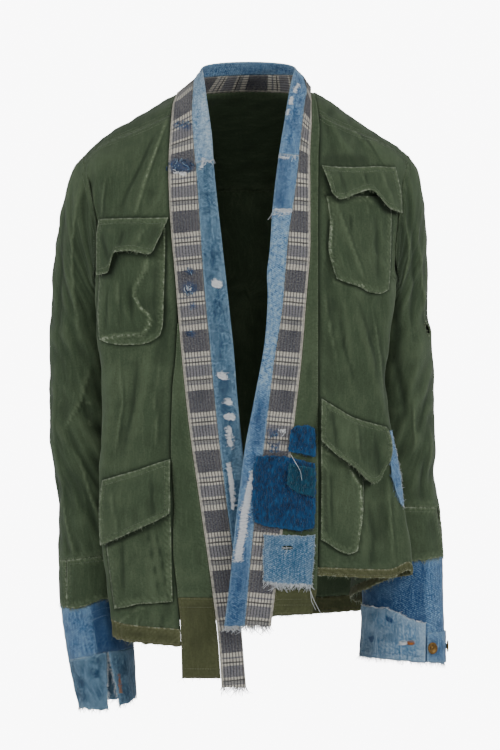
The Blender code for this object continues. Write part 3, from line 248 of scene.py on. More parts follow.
# Folds: points (x, z) that a ridge runs through, its half width and its height.
FOLDS = {
    RIGHT: [
        ([(-104, -60), (-122, -150), (-150, -185)], 13, 5),
        ([(-134, -120), (-160, -175)], 12, 4),
        ([(-206, -150), (-212, -215), (-208, -300)], 9, -7),
        ([(-190, -355), (-187, -420), (-196, -500)], 15, 8),
        ([(-170, -430), (-182, -500), (-190, -560)], 12, -5),
        ([(-136, -360), (-150, -430), (-160, -495)], 16, 5),
        ([(-112, -200), (-116, -300), (-122, -420), (-116, -500)], 20, -4),
        ([(-130, -600), (-132, -690), (-128, -760)], 20, 5),
        ([(-165, -690), (-168, -755)], 14, 6),
    ],
    LEFT: [
        ([(92, -14), (118, -60), (150, -108)], 9, 7),
        ([(106, -20), (150, -62), (186, -106)], 9, 7),
        ([(98, -30), (110, -80), (118, -112)], 8, -5),
        ([(150, -48), (188, -90), (198, -130)], 9, 5),
        ([(122, -30), (160, -84), (178, -110)], 7, -4),
        ([(100, -115), (102, -230), (106, -330), (106, -400)], 16, -6),
        ([(146, -285), (160, -350), (176, -420), (184, -455)], 14, 13),
        ([(160, -300), (172, -350)], 9, -6),
        ([(128, -300), (132, -370), (136, -410)], 14, 5),
        ([(98, -440), (104, -520), (104, -600)], 18, -4),
        ([(176, -500), (178, -600), (180, -655)], 14, -7),
        ([(205, -560), (213, -620), (216, -680)], 12, 6),
    ],
}
BACK_FOLDS = [
    ([(-150, -110), (-158, -220), (-150, -330)], 16, 5),
    ([(150, -110), (156, -220), (146, -330)], 16, 5),
    ([(-60, -330), (-66, -520), (-78, -730)], 26, 8),
    ([(20, -300), (24, -520), (30, -730)], 24, -6),
    ([(74, -340), (86, -540), (96, -715)], 26, 9),
    ([(-120, -420), (-128, -600), (-134, -740)], 22, -6),
    ([(-40, -120), (0, -140), (44, -118)], 22, 4),
]
# Edges and seams down the front, as x by height.
BAND_OUTER = {
    RIGHT: curve((-3, -101), (-25, -106), (-57, -108), (-110, -110), (-186, -107), (-241, -102),
                 (-349, -93), (-457, -82), (-557, -68), (-684, -50), (-751, -42), (-812, -38)),
    LEFT: curve((4, 84), (-36, 84), (-100, 81), (-208, 81), (-295, 75), (-370, 69), (-457, 59), (-587, 45),
                (-648, 38), (-728, 28)),
}
BAND_MIDDLE = {
    RIGHT: curve((16, -77), (-36, -79), (-79, -76), (-122, -72), (-176, -68), (-263, -62), (-338, -55),
                 (-446, -45), (-557, -32), (-684, -16), (-814, -5)),
    LEFT: curve((20, 74), (1, 78), (-25, 74), (-68, 69), (-133, 62), (-209, 51), (-302, 43), (-381, 31),
                (-491, 18), (-593, 5), (-725, -7)),
}
BAND_INNER = {
    RIGHT: curve((32, -66), (7, -62), (-23, -58), (-68, -52), (-111, -49), (-221, -37), (-284, -30),
                 (-360, -22), (-424, -17), (-491, -10), (-600, 2), (-712, 12)),
    LEFT: curve((32, 62), (3, 55), (-47, 47), (-90, 40), (-165, 31), (-221, 27), (-259, 23), (-284, 24),
                (-338, 21), (-414, 8), (-493, -7), (-609, -21), (-661, -26), (-733, -35)),
}
# The edge of each front panel, where its placket or its plaid band is sewn on.
FRONT_EDGE = {
    RIGHT: curve((-36, -107.4), (-57, -108), (-110, -110), (-186, -107), (-241, -102), (-300, -97.5),
                 (-360, -100), (-414, -105), (-491, -107), (-570, -103), (-622, -104), (-674, -99),
                 (-725, -94), (-797, -92)),
    LEFT: curve((1, 89), (-57, 95), (-101, 93), (-198, 92), (-560, 92), (-675, 90), (-709, 84)),
}
# How far in front of the shoulders the bands run where they stand off the neck.
NECK_MIDDLE_OUT = curve((20, 0), (16, 2), (-6, 40), (-36, 70), (-79, 98.5), (-122, 119))
NECK_INNER_OUT = curve((32, -5), (7, 35), (-23, 62), (-68, 88), (-111, 108), (-154, 122), (-221, 138))
YOKE_SEAM = {
    RIGHT: curve((107, -36), (128, -46), (162, -61), (202, -76), (228, -96)),
    LEFT: curve((94, -36), (118, -49), (150, -62), (190, -78), (217, -96)),
}
RIDGE = {
    RIGHT: curve((60, 10), (80, 4), (101, -3), (146, -29), (189, -54), (208, -68), (221, -81), (228, -88)),
    LEFT: curve((60, 10), (75, 5), (88, 0), (112, -14), (138, -34), (159, -47), (180, -62), (202, -75),
                (217, -88)),
}
BACK_SEAM = -128.0
YOKE_FRONT = {RIGHT: (107.6, 227.6), LEFT: (94.2, 216.6)}  # from the band to the armhole along the seam
NECK_SIDE = {RIGHT: (101.0, -3.0), LEFT: (88.0, 0.0)}  # x and z of the neck edge at the top of the shoulder
NECK_RISE = 8.0  # height of the neck edge at the middle of the back
YOKE_TURNS = (-1, -0.72, -0.4, 0, 0.4, 0.72, 1)  # rays over the shoulder, from the front seam to the back one
BACK_SHARES = (0.25, 0.5, 0.75, 1)  # rays from there to the middle of the back
BACK_LEAN = 40.0  # the way round the neck, in degrees, at the last of the shoulder's rays
HEM = {
    (FRONT, RIGHT): curve((0, -757), (0.3, -751), (0.56, -745), (1, -745)),
    (FRONT, LEFT): curve((0, -661), (0.28, -665), (0.44, -655), (0.56, -662), (0.75, -684), (1, -701)),
    (BACK, RIGHT): curve((0, -738), (0.56, -742), (1, -745)),
    (BACK, LEFT): curve((0, -738), (0.56, -718), (1, -701)),
}
HEM_BAND = {RIGHT: 24.0, LEFT: 12.0}
ARMHOLE_ROWS = [-122, -152, -188, -228, -262, -271, ARMPIT]
PLAID_END = {RIGHT: -812.0, LEFT: -728.0}
# The middle of the back of the neck on each line of the bands.
NECK_BACK = [(0, 85.5, 8.5), (0, 68, 29), (0, 55, 46)]
# Rows of (x, z, lift) from top to bottom for what lies on the fronts.
CHEST_POCKET = {
    RIGHT: [
        [(-202, -196, 2.4), (-188, -196, 3.0), (-172, -196, 3.2), (-152, -196, 3.2), (-132, -196, 3.0),
         (-114, -194, 2.4)],
        [(-202, -226, 2.6), (-188, -226, 4.8), (-172, -226, 5.0), (-152, -226, 4.8), (-135, -226, 3.4),
         (-114, -226, 2.4)],
        [(-202, -262, 2.6), (-188, -262, 4.8), (-172, -262, 5.0), (-152, -262, 4.8), (-138, -262, 3.2),
         (-115, -262, 2.9)],
        [(-204, -300, 2.6), (-190, -300, 4.8), (-172, -300, 5.0), (-154, -300, 4.8), (-140, -300, 3.4),
         (-116, -300, 3.1)],
        [(-203, -328, 2.6), (-188, -331, 4.0), (-170, -333, 4.4), (-150, -333, 4.2), (-132, -330, 3.4),
         (-117, -322, 3.1)],
        [(-202, -343, 2.3), (-188, -349, 2.3), (-170, -351, 2.3), (-152, -351, 2.3), (-134, -347, 2.6),
         (-121, -338, 2.9)],
    ],
    LEFT: [
        [(103, -150, 2.4), (122, -150, 3.5), (141, -150, 4.0), (160, -150, 4.0), (177, -150, 3.5),
         (191, -150, 2.4)],
        [(108, -185, 2.6), (124, -185, 4.4), (142, -185, 4.8), (160, -185, 4.6), (177, -185, 4.0),
         (190, -185, 2.6)],
        [(106, -220, 2.6), (124, -220, 4.6), (142, -222, 5.0), (160, -222, 4.4), (176, -221, 4.0),
         (189, -220, 2.6)],
        [(112, -246, 2.6), (127, -248, 4.2), (143, -250, 4.6), (160, -252, 4.2), (175, -251, 3.6),
         (188, -249, 2.6)],
        [(117, -262, 2.3), (131, -268, 2.3), (146, -273, 2.3), (160, -280, 2.3), (174, -282, 2.3),
         (186, -276, 2.3)],
    ],
}
CHEST_FLAP = {
    RIGHT: [
        [(-203, -180, 2.4), (-188, -180, 2.6), (-170, -180, 2.6), (-150, -180, 2.6), (-130, -180, 2.6),
         (-110, -180, 2.4)],
        [(-202, -202, 7.6), (-188, -200, 8.0), (-171, -197, 8.0), (-151, -197, 8.0), (-131, -198, 7.6),
         (-112, -186, 5.0)],
        [(-201, -228, 9.0), (-188, -226, 10), (-173, -212, 11), (-153, -212, 12), (-132, -214, 12),
         (-114, -192, 8.0)],
        [(-201, -257, 9.0), (-188, -255, 11), (-176, -228, 14), (-157, -227, 15), (-134, -231, 15),
         (-117, -199, 10)],
    ],
    LEFT: [
        [(97, -109, 2.4), (117, -111, 2.6), (136, -111, 2.6), (156, -110, 2.6), (176, -109, 2.8),
         (195, -109, 2.9)],
        [(101, -121, 6.6), (119, -124, 7.0), (138, -124, 7.0), (157, -123, 7.0), (178, -127, 7.4),
         (198, -129, 6.6)],
        [(106, -134, 9.0), (120, -140, 10), (139, -137, 9.0), (158, -133, 9.0), (181, -147, 10),
         (200, -150, 8.0)],
        [(111, -148, 10), (121, -157, 14), (140, -149, 12), (160, -143, 11), (184, -168, 13),
         (200, -171, 9.0)],
    ],
}
HIP_POCKET = {
    RIGHT: [
        [(-196, -584, 2.6), (-175, -574, 3.6), (-150, -563, 4.0), (-127, -555, 3.6), (-107, -548, 2.6)],
        [(-192, -622, 2.6), (-172, -618, 4.8), (-150, -612, 5.0), (-126, -612, 4.8), (-106, -610, 2.6)],
        [(-187, -665, 2.6), (-170, -662, 4.8), (-150, -660, 5.0), (-126, -660, 4.6), (-105, -658, 2.6)],
        [(-181, -707, 2.4), (-168, -705, 2.4), (-150, -700, 2.4), (-126, -698, 2.4), (-104, -696, 2.4)],
    ],
    LEFT: [
        [(95, -470, 2.4), (110, -474, 3.6), (125, -477, 4.0), (140, -479, 3.6), (154, -481, 2.6)],
        [(95, -520, 2.6), (110, -524, 4.8), (124, -527, 5.0), (138, -528, 4.8), (152, -530, 2.6)],
        [(95, -570, 2.6), (109, -575, 4.8), (122, -578, 5.0), (135, -580, 4.8), (150, -582, 2.6)],
        [(95, -612, 2.3), (108, -620, 2.3), (120, -628, 2.3), (132, -632, 2.3), (144, -628, 2.3)],
    ],
}
HIP_FLAP = {
    RIGHT: [
        [(-198, -534, 2.4), (-175, -527, 2.6), (-150, -519, 2.6), (-127, -511, 2.6), (-107, -505, 2.4)],
        [(-198, -562, 7.6), (-175, -554, 8.2), (-150, -546, 8.2), (-127, -538, 8.0), (-107, -531, 7.0)],
        [(-197, -592, 9.0), (-174, -583, 10), (-150, -574, 11), (-127, -565, 10), (-107, -555, 8.0)],
        [(-195, -621, 10), (-173, -611, 12), (-150, -600, 13), (-128, -590, 12), (-108, -578, 9.0)],
    ],
    LEFT: [
        [(96, -424, 2.4), (116, -436, 2.6), (138, -449, 2.6), (161, -456, 2.6), (183, -462, 2.4)],
        [(95, -443, 7.0), (115, -457, 8.2), (138, -470, 9.0), (162, -484, 8.4), (186, -478, 7.0)],
        [(94, -462, 9.0), (114, -478, 11), (138, -494, 11), (161, -512, 11), (187, -494, 9.0)],
        [(94, -480, 10), (114, -497, 13), (138, -517, 13), (161, -538, 14), (185, -508, 10)],
    ],
}
# Each sleeve as a stack of level ovals.
SLEEVE = {
    RIGHT: {
        "outer": curve((-310, 275), (-400, 277), (-491, 277), (-506, 274), (-583, 264), (-653, 263),
                       (-712, 260), (-784, 249), (-850, 234)),
        "inner": curve((-310, 176), (-400, 172), (-500, 170), (-600, 168), (-700, 166), (-746, 160),
                       (-850, 153)),
        "fore": curve((-310, -1), (-430, 6), (-560, -8), (-700, -38), (-850, -56)),
        "deep": curve((-310, 62), (-430, 58), (-600, 53), (-700, 50), (-850, 49)),
    },
    LEFT: {
        "outer": curve((-310, 245), (-392, 254), (-533, 255), (-580, 262), (-650, 266), (-734, 267),
                       (-790, 267)),
        "inner": curve((-310, 166), (-400, 158), (-500, 156), (-600, 156), (-700, 153), (-790, 148)),
        "fore": curve((-310, 0), (-430, 6), (-560, -10), (-700, -40), (-790, -52)),
        "deep": curve((-310, 64), (-430, 60), (-600, 54), (-700, 50), (-790, 49)),
    },
}
# Creases round the sleeves: turn, half spread, height, tilt, half width and rise.
CREASES = {
    RIGHT: [(60, 80, -330, 20, 18, 4), (80, 80, -470, -26, 18, 5), (60, 70, -540, 24, 16, -4),
            (-70, 80, -440, 20, 20, 5), (90, 60, -600, -20, 16, 4), (-90, 70, -560, -20, 18, -4)],
    LEFT: [(60, 80, -350, -20, 18, 4), (70, 80, -480, 26, 18, 5), (60, 70, -540, -22, 15, -4),
           (-70, 80, -450, -20, 20, 5), (-90, 70, -560, 20, 18, -4)],
}
ARM_TOP = -310.0
OUTER_SEAM = -90.0  # the way round the sleeve, in degrees, at its topstitched seam
DEGREE = 0.87  # of the sleeve folds' places: about a millimetre to a degree
CUFF_SEAM = {
    RIGHT: round_curve((0, -647), (90, -640), (180, -632), (270, -640)),
    LEFT: round_curve((0, -574), (90, -572), (180, -572), (270, -574)),
}
GREEN_END = {
    RIGHT: round_curve((0, -707), (60, -710), (110, -697), (180, -695), (270, -700)),
    LEFT: round_curve((0, -640), (90, -646), (180, -645), (270, -642)),
}
DENIM_SEAM_RIGHT = round_curve((0, -782), (60, -776), (110, -767), (180, -764), (270, -774))
DENIM_END = {
    RIGHT: round_curve((0, -846), (80, -846), (135, -838), (180, -830), (270, -842)),
    LEFT: round_curve((0, -787), (60, -782), (120, -776), (180, -775), (270, -784)),
}
PATCH_TOP_LEFT = round_curve((0, -714), (60, -728), (120, -708), (180, -706), (270, -710))
WAISTBAND_TOP_LEFT = round_curve((0, -742), (270, -742))
# The slits in the cuffs: where they are, in degrees of turn, and half their opening.
VENT = {RIGHT: (42.0, 1.5), LEFT: (20.0, 4.0)}
SPLIT_AT, SPLIT_TOP, SPLIT_MOUTH = 105.0, 0.5, 11.5
UNDER_GREEN = -1.2  # the denim cuffs come out from just inside the green ones
ON_CUFF = 0.6  # what is sewn on a denim cuff
RIP = (34.0, -328.0, 3.4, 7.0)


# Finer folds of the fronts, drawn from the photograph: points (x, z), half width and height.
FINE_FOLDS: dict[Side, list[Fold]] = {
    RIGHT: [
        ([(-113, -43), (-135, -108), (-155, -172)], 6, 3.0),
        ([(-128, -60), (-150, -112), (-176, -165)], 5, -2.0),
        ([(-196, -118), (-203, -175), (-196, -190)], 6, 2.5),
        ([(-122, -365), (-128, -430), (-124, -500)], 6, 2.0),
        ([(-150, -365), (-158, -440), (-172, -500)], 6, -2.2),
        ([(-176, -372), (-172, -430), (-184, -505)], 5, 2.2),
        ([(-116, -712), (-120, -735), (-118, -756)], 6, -1.6),
        ([(-150, -714), (-154, -740)], 7, 2.0),
    ],
    LEFT: [
        ([(106, -7), (124, -37), (150, -67)], 5, 3.0),
        ([(132, -44), (160, -72), (180, -104)], 4, -2.0),
        ([(144, -285), (165, -355), (173, -405)], 5, -3.5),
        ([(93, -277), (97, -350), (97, -422)], 3, -1.5),
        ([(100, -282), (108, -330), (117, -375)], 5, 2.5),
        ([(122, -300), (126, -350), (140, -400)], 4, -2.0),
        ([(164, -300), (176, -370), (182, -440)], 5, 3.0),
        ([(160, -560), (166, -610), (160, -655)], 6, -2.5),
        ([(186, -530), (190, -590), (194, -650)], 5, 2.5),
        ([(108, -642), (116, -655), (128, -660)], 5, 1.8),
    ],
}
# The pockets' pleats and rolled edges, in the same way.
WELT = [(-138, -236), (-141, -251), (-154, -274), (-155.5, -286), (-146.7, -300.8), (-135, -311),
        (-135, -324), (-143.8, -337.5), (-162.8, -337.5), (-183.3, -338.9), (-205, -343)]
GUSSET = [(-195, -626), (-187.7, -680), (-181.4, -705.5), (-170, -709), (-159.8, -703)]
LEFT_ROLL = [(98.6, -139), (110.4, -188.8), (107.6, -221), (114.8, -267.8), (132.3, -267.8), (153, -272)]
HIP_ROLL = [(102.6, -494.8), (129.3, -510), (147, -540.5), (149.7, -576), (145.8, -621.8), (136.9, -634.5)]
POCKET_FOLDS: dict[tuple[str, Side], list[Fold]] = {
    ("chest_pocket", RIGHT): [(WELT, 2.2, 3.0), ([(-189, -271), (-193.6, -333)], 3.0, -1.8), ([(-160, -271),
                              (-157, -324)], 3.0, -1.8), ([(-176, -262), (-178, -330)], 4.0, 1.4),
                              ([(-124, -232), (-128, -300), (-124, -332)], 5.0, -2.4)],
    ("chest_flap", RIGHT): [([(-196, -200), (-186, -240)], 5, -2), ([(-140, -196), (-152, -224)], 5, 2),
                            ([(-168, -198), (-172, -222)], 5, -1.6)],
    ("hip_pocket", RIGHT): [([(-128, -591), (-119, -640), (-110, -695)], 2.0, -1.6), ([(-138, -591),
                            (-130, -640), (-121, -695)], 2.0, -1.6), (GUSSET, 2.2, 1.6), ([(-172, -610),
                            (-168, -690)], 5, -1.8)],
    ("hip_flap", RIGHT): [([(-184, -545), (-176, -604)], 5, 1.8), ([(-132, -530), (-128, -580)], 5, -1.8)],
    ("chest_pocket", LEFT): [(LEFT_ROLL, 2.4, 2.0), ([(115, -156.6), (132, -210), (152.8, -265)], 5, 3.0),
                             ([(135, -177), (133.7, -206.6)], 1.6, -1.8), ([(168, -176),
                             (172, -260)], 4, -1.8)],
    ("chest_flap", LEFT): [([(122, -116), (126, -150)], 4, -1.8), ([(148, -114), (152, -140)], 5, 1.6),
                           ([(176, -116), (186, -160)], 4, 1.8)],
    ("hip_pocket", LEFT): [(HIP_ROLL, 2.4, 1.8), ([(108, -520), (110, -600)], 4, -1.6)],
    ("hip_flap", LEFT): [([(110, -440), (116, -490)], 5, -2), ([(140, -456), (144, -512)], 5, 2),
                         ([(166, -462), (168, -530)], 5, -2)],
}
# Folds of the sleeves, by turn in degrees times DEGREE and height.
SLEEVE_FOLDS: dict[Side, list[Fold]] = {
    RIGHT: [
        ([(31, -380), (31, -560), (22, -601)], 5, 3.0), ([(31, -560), (52, -637)], 5, 2.5),
        ([(42, -134), (60, -256), (72, -344)], 6, 3.5), ([(92, -462), (126, -486)], 6, -3.5),
        ([(20, -150), (36, -250), (40, -340)], 7, -3.0), ([(84, -380), (70, -430), (48, -470)], 6, 3.0),
        ([(10, -420), (8, -520), (16, -620)], 7, -2.6), ([(66, -500), (78, -560), (96, -600)], 6, 3.0),
        ([(70, -540), (88, -610)], 5, -2.6), ([(-50, -220), (-60, -330), (-48, -420)], 9, -3.4),
        ([(-90, -470), (-60, -520), (-30, -540)], 8, 3.6), ([(-100, -560), (-70, -600),
          (-50, -630)], 8, -3.0),
        ([(-20, -300), (-24, -400)], 8, 3.0), ([(110, -320), (124, -400)], 8, -3.0),
    ],
    LEFT: [
        ([(45, -186), (36, -259), (24, -347)], 5, 3.5), ([(72, -142), (68, -230), (96, -332)], 6, 3.5),
        ([(58, -424), (60, -500)], 6, 3.0), ([(58, -190), (52, -270), (60, -340)], 6, -3.2),
        ([(24, -400), (40, -440), (52, -470)], 6, -3.0), ([(88, -370), (74, -420), (70, -450)], 6, -2.8),
        ([(30, -460), (34, -540)], 6, 2.6), ([(92, -470), (84, -540)], 6, 3.0),
        ([(40, -500), (48, -560)], 5, -2.4), ([(-50, -220), (-60, -330), (-48, -420)], 9, -3.4),
        ([(-90, -430), (-60, -470), (-30, -490)], 8, 3.6), ([(-20, -300), (-24, -400)], 8, 3.0),
        ([(110, -320), (124, -400)], 8, -3.0),
    ],
}
# Marks on the cloth, as lines of places (x, z) on the front with half widths.
BARE: dict[Side, Spots] = {
    RIGHT: [([(-47, -268), (-42, -270)], 7), ([(-39, -392), (-35, -394)], 6), ([(-31, -427),
            (-27, -429)], 5), ([(-31, -447), (-24, -448)], 6), ([(-28, -463), (-26, -486)], 4.5),
            ([(-63, -100), (-66, -112)], 2.6), ([(-29, -512), (-26, -530), (-23, -570)], 4)],
    LEFT: [([(5, -523), (-1, -547), (-7, -574), (-9.5, -601), (-13.5, -621), (-16, -638)], 6), ([(66, 8),
           (61, -3)], 3), ([(57, -13), (55, -20)], 4), ([(52, -31), (51, -36)], 3), ([(33, -169),
           (48, -171), (62, -172)], 3), ([(36, -98), (52, -98)], 1.8)],
}
DARNS: dict[Side, Spots] = {
    RIGHT: [([(-99, -52), (-84, -53)], 5), ([(-104, -108), (-84, -110)], 8), ([(-82, -251.6),
            (-79, -251.6)], 4), ([(-82, -275.4), (-80, -275.4)], 9), ([(-78, -298), (-76, -298)], 4),
            ([(-80, -336), (-78, -336)], 4)],
    LEFT: [([(26, -466), (36, -474)], 2.4), ([(36, -466), (26, -474)], 2.4), ([(28, -484),
           (38, -492)], 2.4), ([(38, -484), (28, -492)], 2.4)],
}
DARN_WHITES: dict[Side, Spots] = {
    RIGHT: [([(-102, -118), (-88, -120)], 3.5), ([(-82, -275.4), (-80, -275.4)], 4)],
    LEFT: [([(43, -466), (46, -466)], 4)],
}
NAME_TAPE: dict[Side, Spots] = {RIGHT: [], LEFT: [([(105, -100.5), (154, -100.5)], 9)]}
# Pale lines: wear along the pockets' rolled edges and stitching, and painted highlight along two fold crests.
PALE_LINES: dict[Side, Spots] = {
    RIGHT: [(WELT, 2.6), ([(-181.4, -731), (-154.7, -708), (-131.9, -699), (-96.3, -697.8)], 2.4),
            ([(-113, -43), (-135, -108), (-155, -172)], 2.4), ([(-148, -148), (-146, -149)], 2.0),
            (GUSSET, 1.6)],
    LEFT: [(LEFT_ROLL, 2.2), (HIP_ROLL, 1.8), ([(106, -7), (124, -37), (150, -67)], 2.2), ([(134, -160),
           (160, -160), (160, -173), (134, -173), (134, -160)], 0.7)],
}
GUSSETS: dict[Side, Spots] = {
    RIGHT: [([(-194, -640), (-186, -700)], 4)], LEFT: [([(100, -520), (102, -600)], 3)],
}
PALE_FLECKS: dict[Side, Spots] = {
    RIGHT: [([(-223, -429), (-220, -429)], 2.4), ([(-221, -457), (-219, -458)], 2.4)], LEFT: [],
}
PLAID_START = 41.4
# Where the wearer's left denim band has faded most.
FADED: dict[Side, Spots] = {RIGHT: [([(-64, -10), (-60, -90)], 7)], LEFT: [([(44, -190), (24, -400)], 15)]}
# Where the denim bands are painted darker, as shade.
BAND_SHADE: dict[Side, Spots] = {
    RIGHT: [([(-36, -400), (-30, -480)], 7), ([(-26, -540), (-20, -640)], 8)],
    LEFT: [([(-14, -640), (-20, -728)], 14), ([(44, -104), (42, -166)], 8), ([(16, -430), (10, -480)], 9)],
}
CREST_SHADE_GAP = 3.4  # from a crest's painted highlight to the painted shadow line beside it
# The shaded inner side of each sleeve, against the body.
ARM_SHADE: dict[Side, Spots] = {
    RIGHT: [([(-211, -140), (-207, -331)], 6)], LEFT: [([(205, -150), (203, -250), (201, -420)], 6)],
}
FLARE = {RIGHT: 3.0, LEFT: 5.0}
HOLE = (50.0, -623.0, 8.0, 2.8)
# Long loose yarns on the wearer's left front: points (x, z, lift) and radius.
LOOSE_YARNS = [
    ([(55, -499, 5.0), (60, -508, 7.0), (67, -520, 8.0), (69, -533, 8.0)], 0.5),
    ([(78, -672, 4.6), (84, -690, 4.0), (90, -702, 3.6), (96, -713, 3.6)], 0.5),
    ([(80, -672, 4.6), (82, -694, 4.0), (88, -706, 3.6)], 0.45),
    ([(42, -622, 3.8), (50, -623.5, 4.4), (58, -622, 3.8)], 0.4),
    ([(43, -624.5, 3.8), (51, -622.5, 4.4), (57, -625, 3.8)], 0.4),
    ([(48, -619, 3.8), (50, -626, 4.6), (46, -632, 4.8)], 0.4),
]


def nearest(line: Iterable[tuple[float, float]], x: Any, z: Any) -> tuple[Array, Array]:
    """How far points lie from a line of straight runs, and where along it.

    Args:
        line: the line's points (x, z).
        x: the points' first coordinate.
        z: their second coordinate.

    Returns:
        The distances, and the share of the line's length at the nearest place.
    """
    points = np.array(list(line), float)
    lengths = np.linalg.norm(np.diff(points, axis=0), axis=1)
    shape = np.broadcast(x, z).shape
    least, share = np.full(shape, np.inf), np.zeros(shape)
    for a, b, length, run in zip(points[:-1], points[1:], lengths, np.cumsum(lengths) - lengths):
        along = np.clip(((x - a[0]) * (b[0] - a[0]) + (z - a[1]) * (b[1] - a[1])) / length**2, 0, 1)
        away = np.hypot(x - a[0] - along * (b[0] - a[0]), z - a[1] - along * (b[1] - a[1]))
        share = np.where(away < least, (run + along * length) / lengths.sum(), share)
        least = np.minimum(least, away)
    return least, share


def raised(folds: list[Fold], x: Any, z: Any) -> Array:
    """How far folds lift points: each rises to a sharp crest, or sinks as a bell, and dies away at both ends.

    Args:
        folds: lines of points (x, z), each with its half width and its height.
        x: the points' first coordinate.
        z: their second coordinate.

    Returns:
        The lift at each point.
    """
    total = np.zeros(np.broadcast(x, z).shape)
    for points, half_width, height in folds:
        away, share = nearest(points, x, z)
        power = 1.15 if height > 0 else 2.0
        total += height * np.exp(-((away / half_width) ** power)) * np.sin(np.pi * (0.12 + 0.76 * share))
    return total


def section(face: Face, side: Side, x: Any, z: Any) -> Array:
    """How far in front of, or behind, the shoulder line the body's cloth lies: a rounded oblong.

    Args:
        face: front or back.
        side: the wearer's right or left.
        x: places across.
        z: heights.

    Returns:
        The distances.
    """
    corner, depth = CORNER[face, side](z), DEPTH[face, side](z)
    share = np.clip(np.abs(x) / WIDTH[face, side](z), 0, 1)
    return corner + (depth - corner) * (1 - share**ROUNDNESS) ** (1 / ROUNDNESS)


def overlap_lift(side: Side, x: Any, z: Any) -> Any:
    """The wearer's left front lies over the right one low down, so it stands further out there."""
    return 0.0 if side == RIGHT else 8.0 * eased(-z, 380, 470) * (1 - eased(x, 90, 190))


def front_out(side: Side, x: Any, z: Any) -> Array:
    """The front's distance out from the shoulder line, folds and overlap included.

    Args:
        side: which front.
        x: places across.
        z: heights.

    Returns:
        The distances.
    """
    near_corner = 1 - np.clip(np.abs(x) / WIDTH[FRONT, side](z), 0, 1) ** 6
    folds = raised(FOLDS[side] + FINE_FOLDS[side], x, z) * (0.35 + 0.65 * near_corner)
    return section(FRONT, side, x, z) + folds + overlap_lift(side, x, z)


def on_front(side: Side, x: Any, z: Any, lift: Any) -> Array:
    """Points that stand a given distance off the front's cloth, square to it.

    Args:
        side: which front.
        x: the points' places across.
        z: their heights.
        lift: their distances from the middle of the front's cloth.

    Returns:
        The points.
    """
    x, z, lift = np.broadcast_arrays(np.asarray(x, float), np.asarray(z, float), np.asarray(lift, float))
    limit = 0.985 * WIDTH[FRONT, side](z)
    x = np.clip(x, -limit, limit)
    by_x = (front_out(side, x + 2, z) - front_out(side, x - 2, z)) / 4
    by_z = (front_out(side, x, z + 2) - front_out(side, x, z - 2)) / 4
    normal = unit(np.stack([-by_x, -np.ones_like(x), -by_z], -1))
    return np.stack([x, -front_out(side, x, z), z], -1) + lift[..., None] * normal


def round_the_side(face: Face, side: Side, t: Any, z: Any) -> Array:
    """From the section's widest point, t = 0, round to the side seam, t = 1.

    Args:
        face: front or back.
        side: the wearer's right or left.
        t: shares of the way.
        z: heights.

    Returns:
        The points.
    """
    corner, wide, seam = CORNER[face, side](z), WIDTH[face, side](z), SIDE_SEAM[side](z)
    turned = np.clip(t, 0, 1) ** (TURN[side](z) if face == FRONT else BACK_TURN)
    keep = (1 - turned) ** 2 * (1 + 2 * turned)
    across, out = seam + (wide - seam) * keep, corner * (1 - t) + SEAM * t
    return np.stack([side * across, face * out, z + 0 * t], -1)


def armhole_width(face: Face, side: Side, z: Any) -> Array:
    """Half the width between the armhole's edges at a height."""
    return (ARMHOLE if face == FRONT else BACK_ARMHOLE)[side](z)


def armhole_edge(face: Face, side: Side, z: Array) -> Array:
    """The armhole's front or back half, by height.

    Args:
        face: front or back.
        side: the wearer's right or left.
        z: heights.

    Returns:
        The points.
    """
    wide = armhole_width(face, side, z)
    upper = np.stack([side * wide, face * section(face, side, wide, z), z], -1)
    share = np.clip((UNDERARM_START - z) / (UNDERARM_START - ARMPIT), 0, 1)
    return np.where((z > UNDERARM_START)[..., None], upper, round_the_side(face, side, share, z))


def body_panel(face: Face, side: Side, columns: int, heights: Array, inner: Curve, top: Curve, bottom: Curve,
               top_x: Curve | None = None) -> Array:
    """One panel of the body, from its inner edge round to the armhole and the side seam.

    Columns are spread by angle over the rounded section, then run on round the side.

    Args:
        face: front or back.
        side: the wearer's right or left.
        columns: cells across.
        heights: the rows' heights at the outer edge.
        inner: the inner edge's distance from the middle, by height.
        top: the top edge's height, by share of the way across.
        bottom: the bottom edge's height, by share of the way across.
        top_x: where the columns stand along a yoke seam.

    Returns:
        The grid of points.
    """
    column = np.linspace(0, 1, columns + 1)[None, :]
    row = ((heights - heights[0]) / (heights[-1] - heights[0]))[:, None]
    z = top(column) + (bottom(column) - top(column)) * row
    wide = WIDTH[face, side](z)
    at_armhole = np.clip((UNDERARM_START - z) / (UNDERARM_START - ARMPIT), 0, 1)
    round_share = eased(-z, 215, 350) * (1 - column**3) + at_armhole * column**3
    run = column * (1 + RETURN_SHARE * round_share)
    outer = np.where(z > UNDERARM_START, armhole_width(face, side, z), wide)
    start = np.arcsin(np.clip(inner(z) / wide, -1, 1))
    end = np.arcsin(np.clip(outer / wide, -1, 1))
    along = wide * np.sin(start + np.clip(run, 0, 1) * (end - start))
    if top_x is not None:
        along = top_x(column) + (along - top_x(column)) * eased(row, 0, 0.16)
    x = side * along
    if face == FRONT:
        out = front_out(side, x, z)
        corner_out = raised(FOLDS[side], side * wide, z) * 0.35 + overlap_lift(side, side * wide, z)
    else:
        out = section(BACK, side, x, z) + raised(BACK_FOLDS, x, z) * (1 - eased(np.abs(x) / wide, 0.8, 1))
        corner_out = 0 * z
    flat = np.stack([x, face * out, z], -1)
    past = np.clip((run - 1) / RETURN_SHARE, 0, 1)
    round_part = round_the_side(face, side, past, z)
    round_part[..., 1] += face * corner_out * (1 - eased(past, 0, 1))
    return np.where((run > 1)[..., None], round_part, flat)


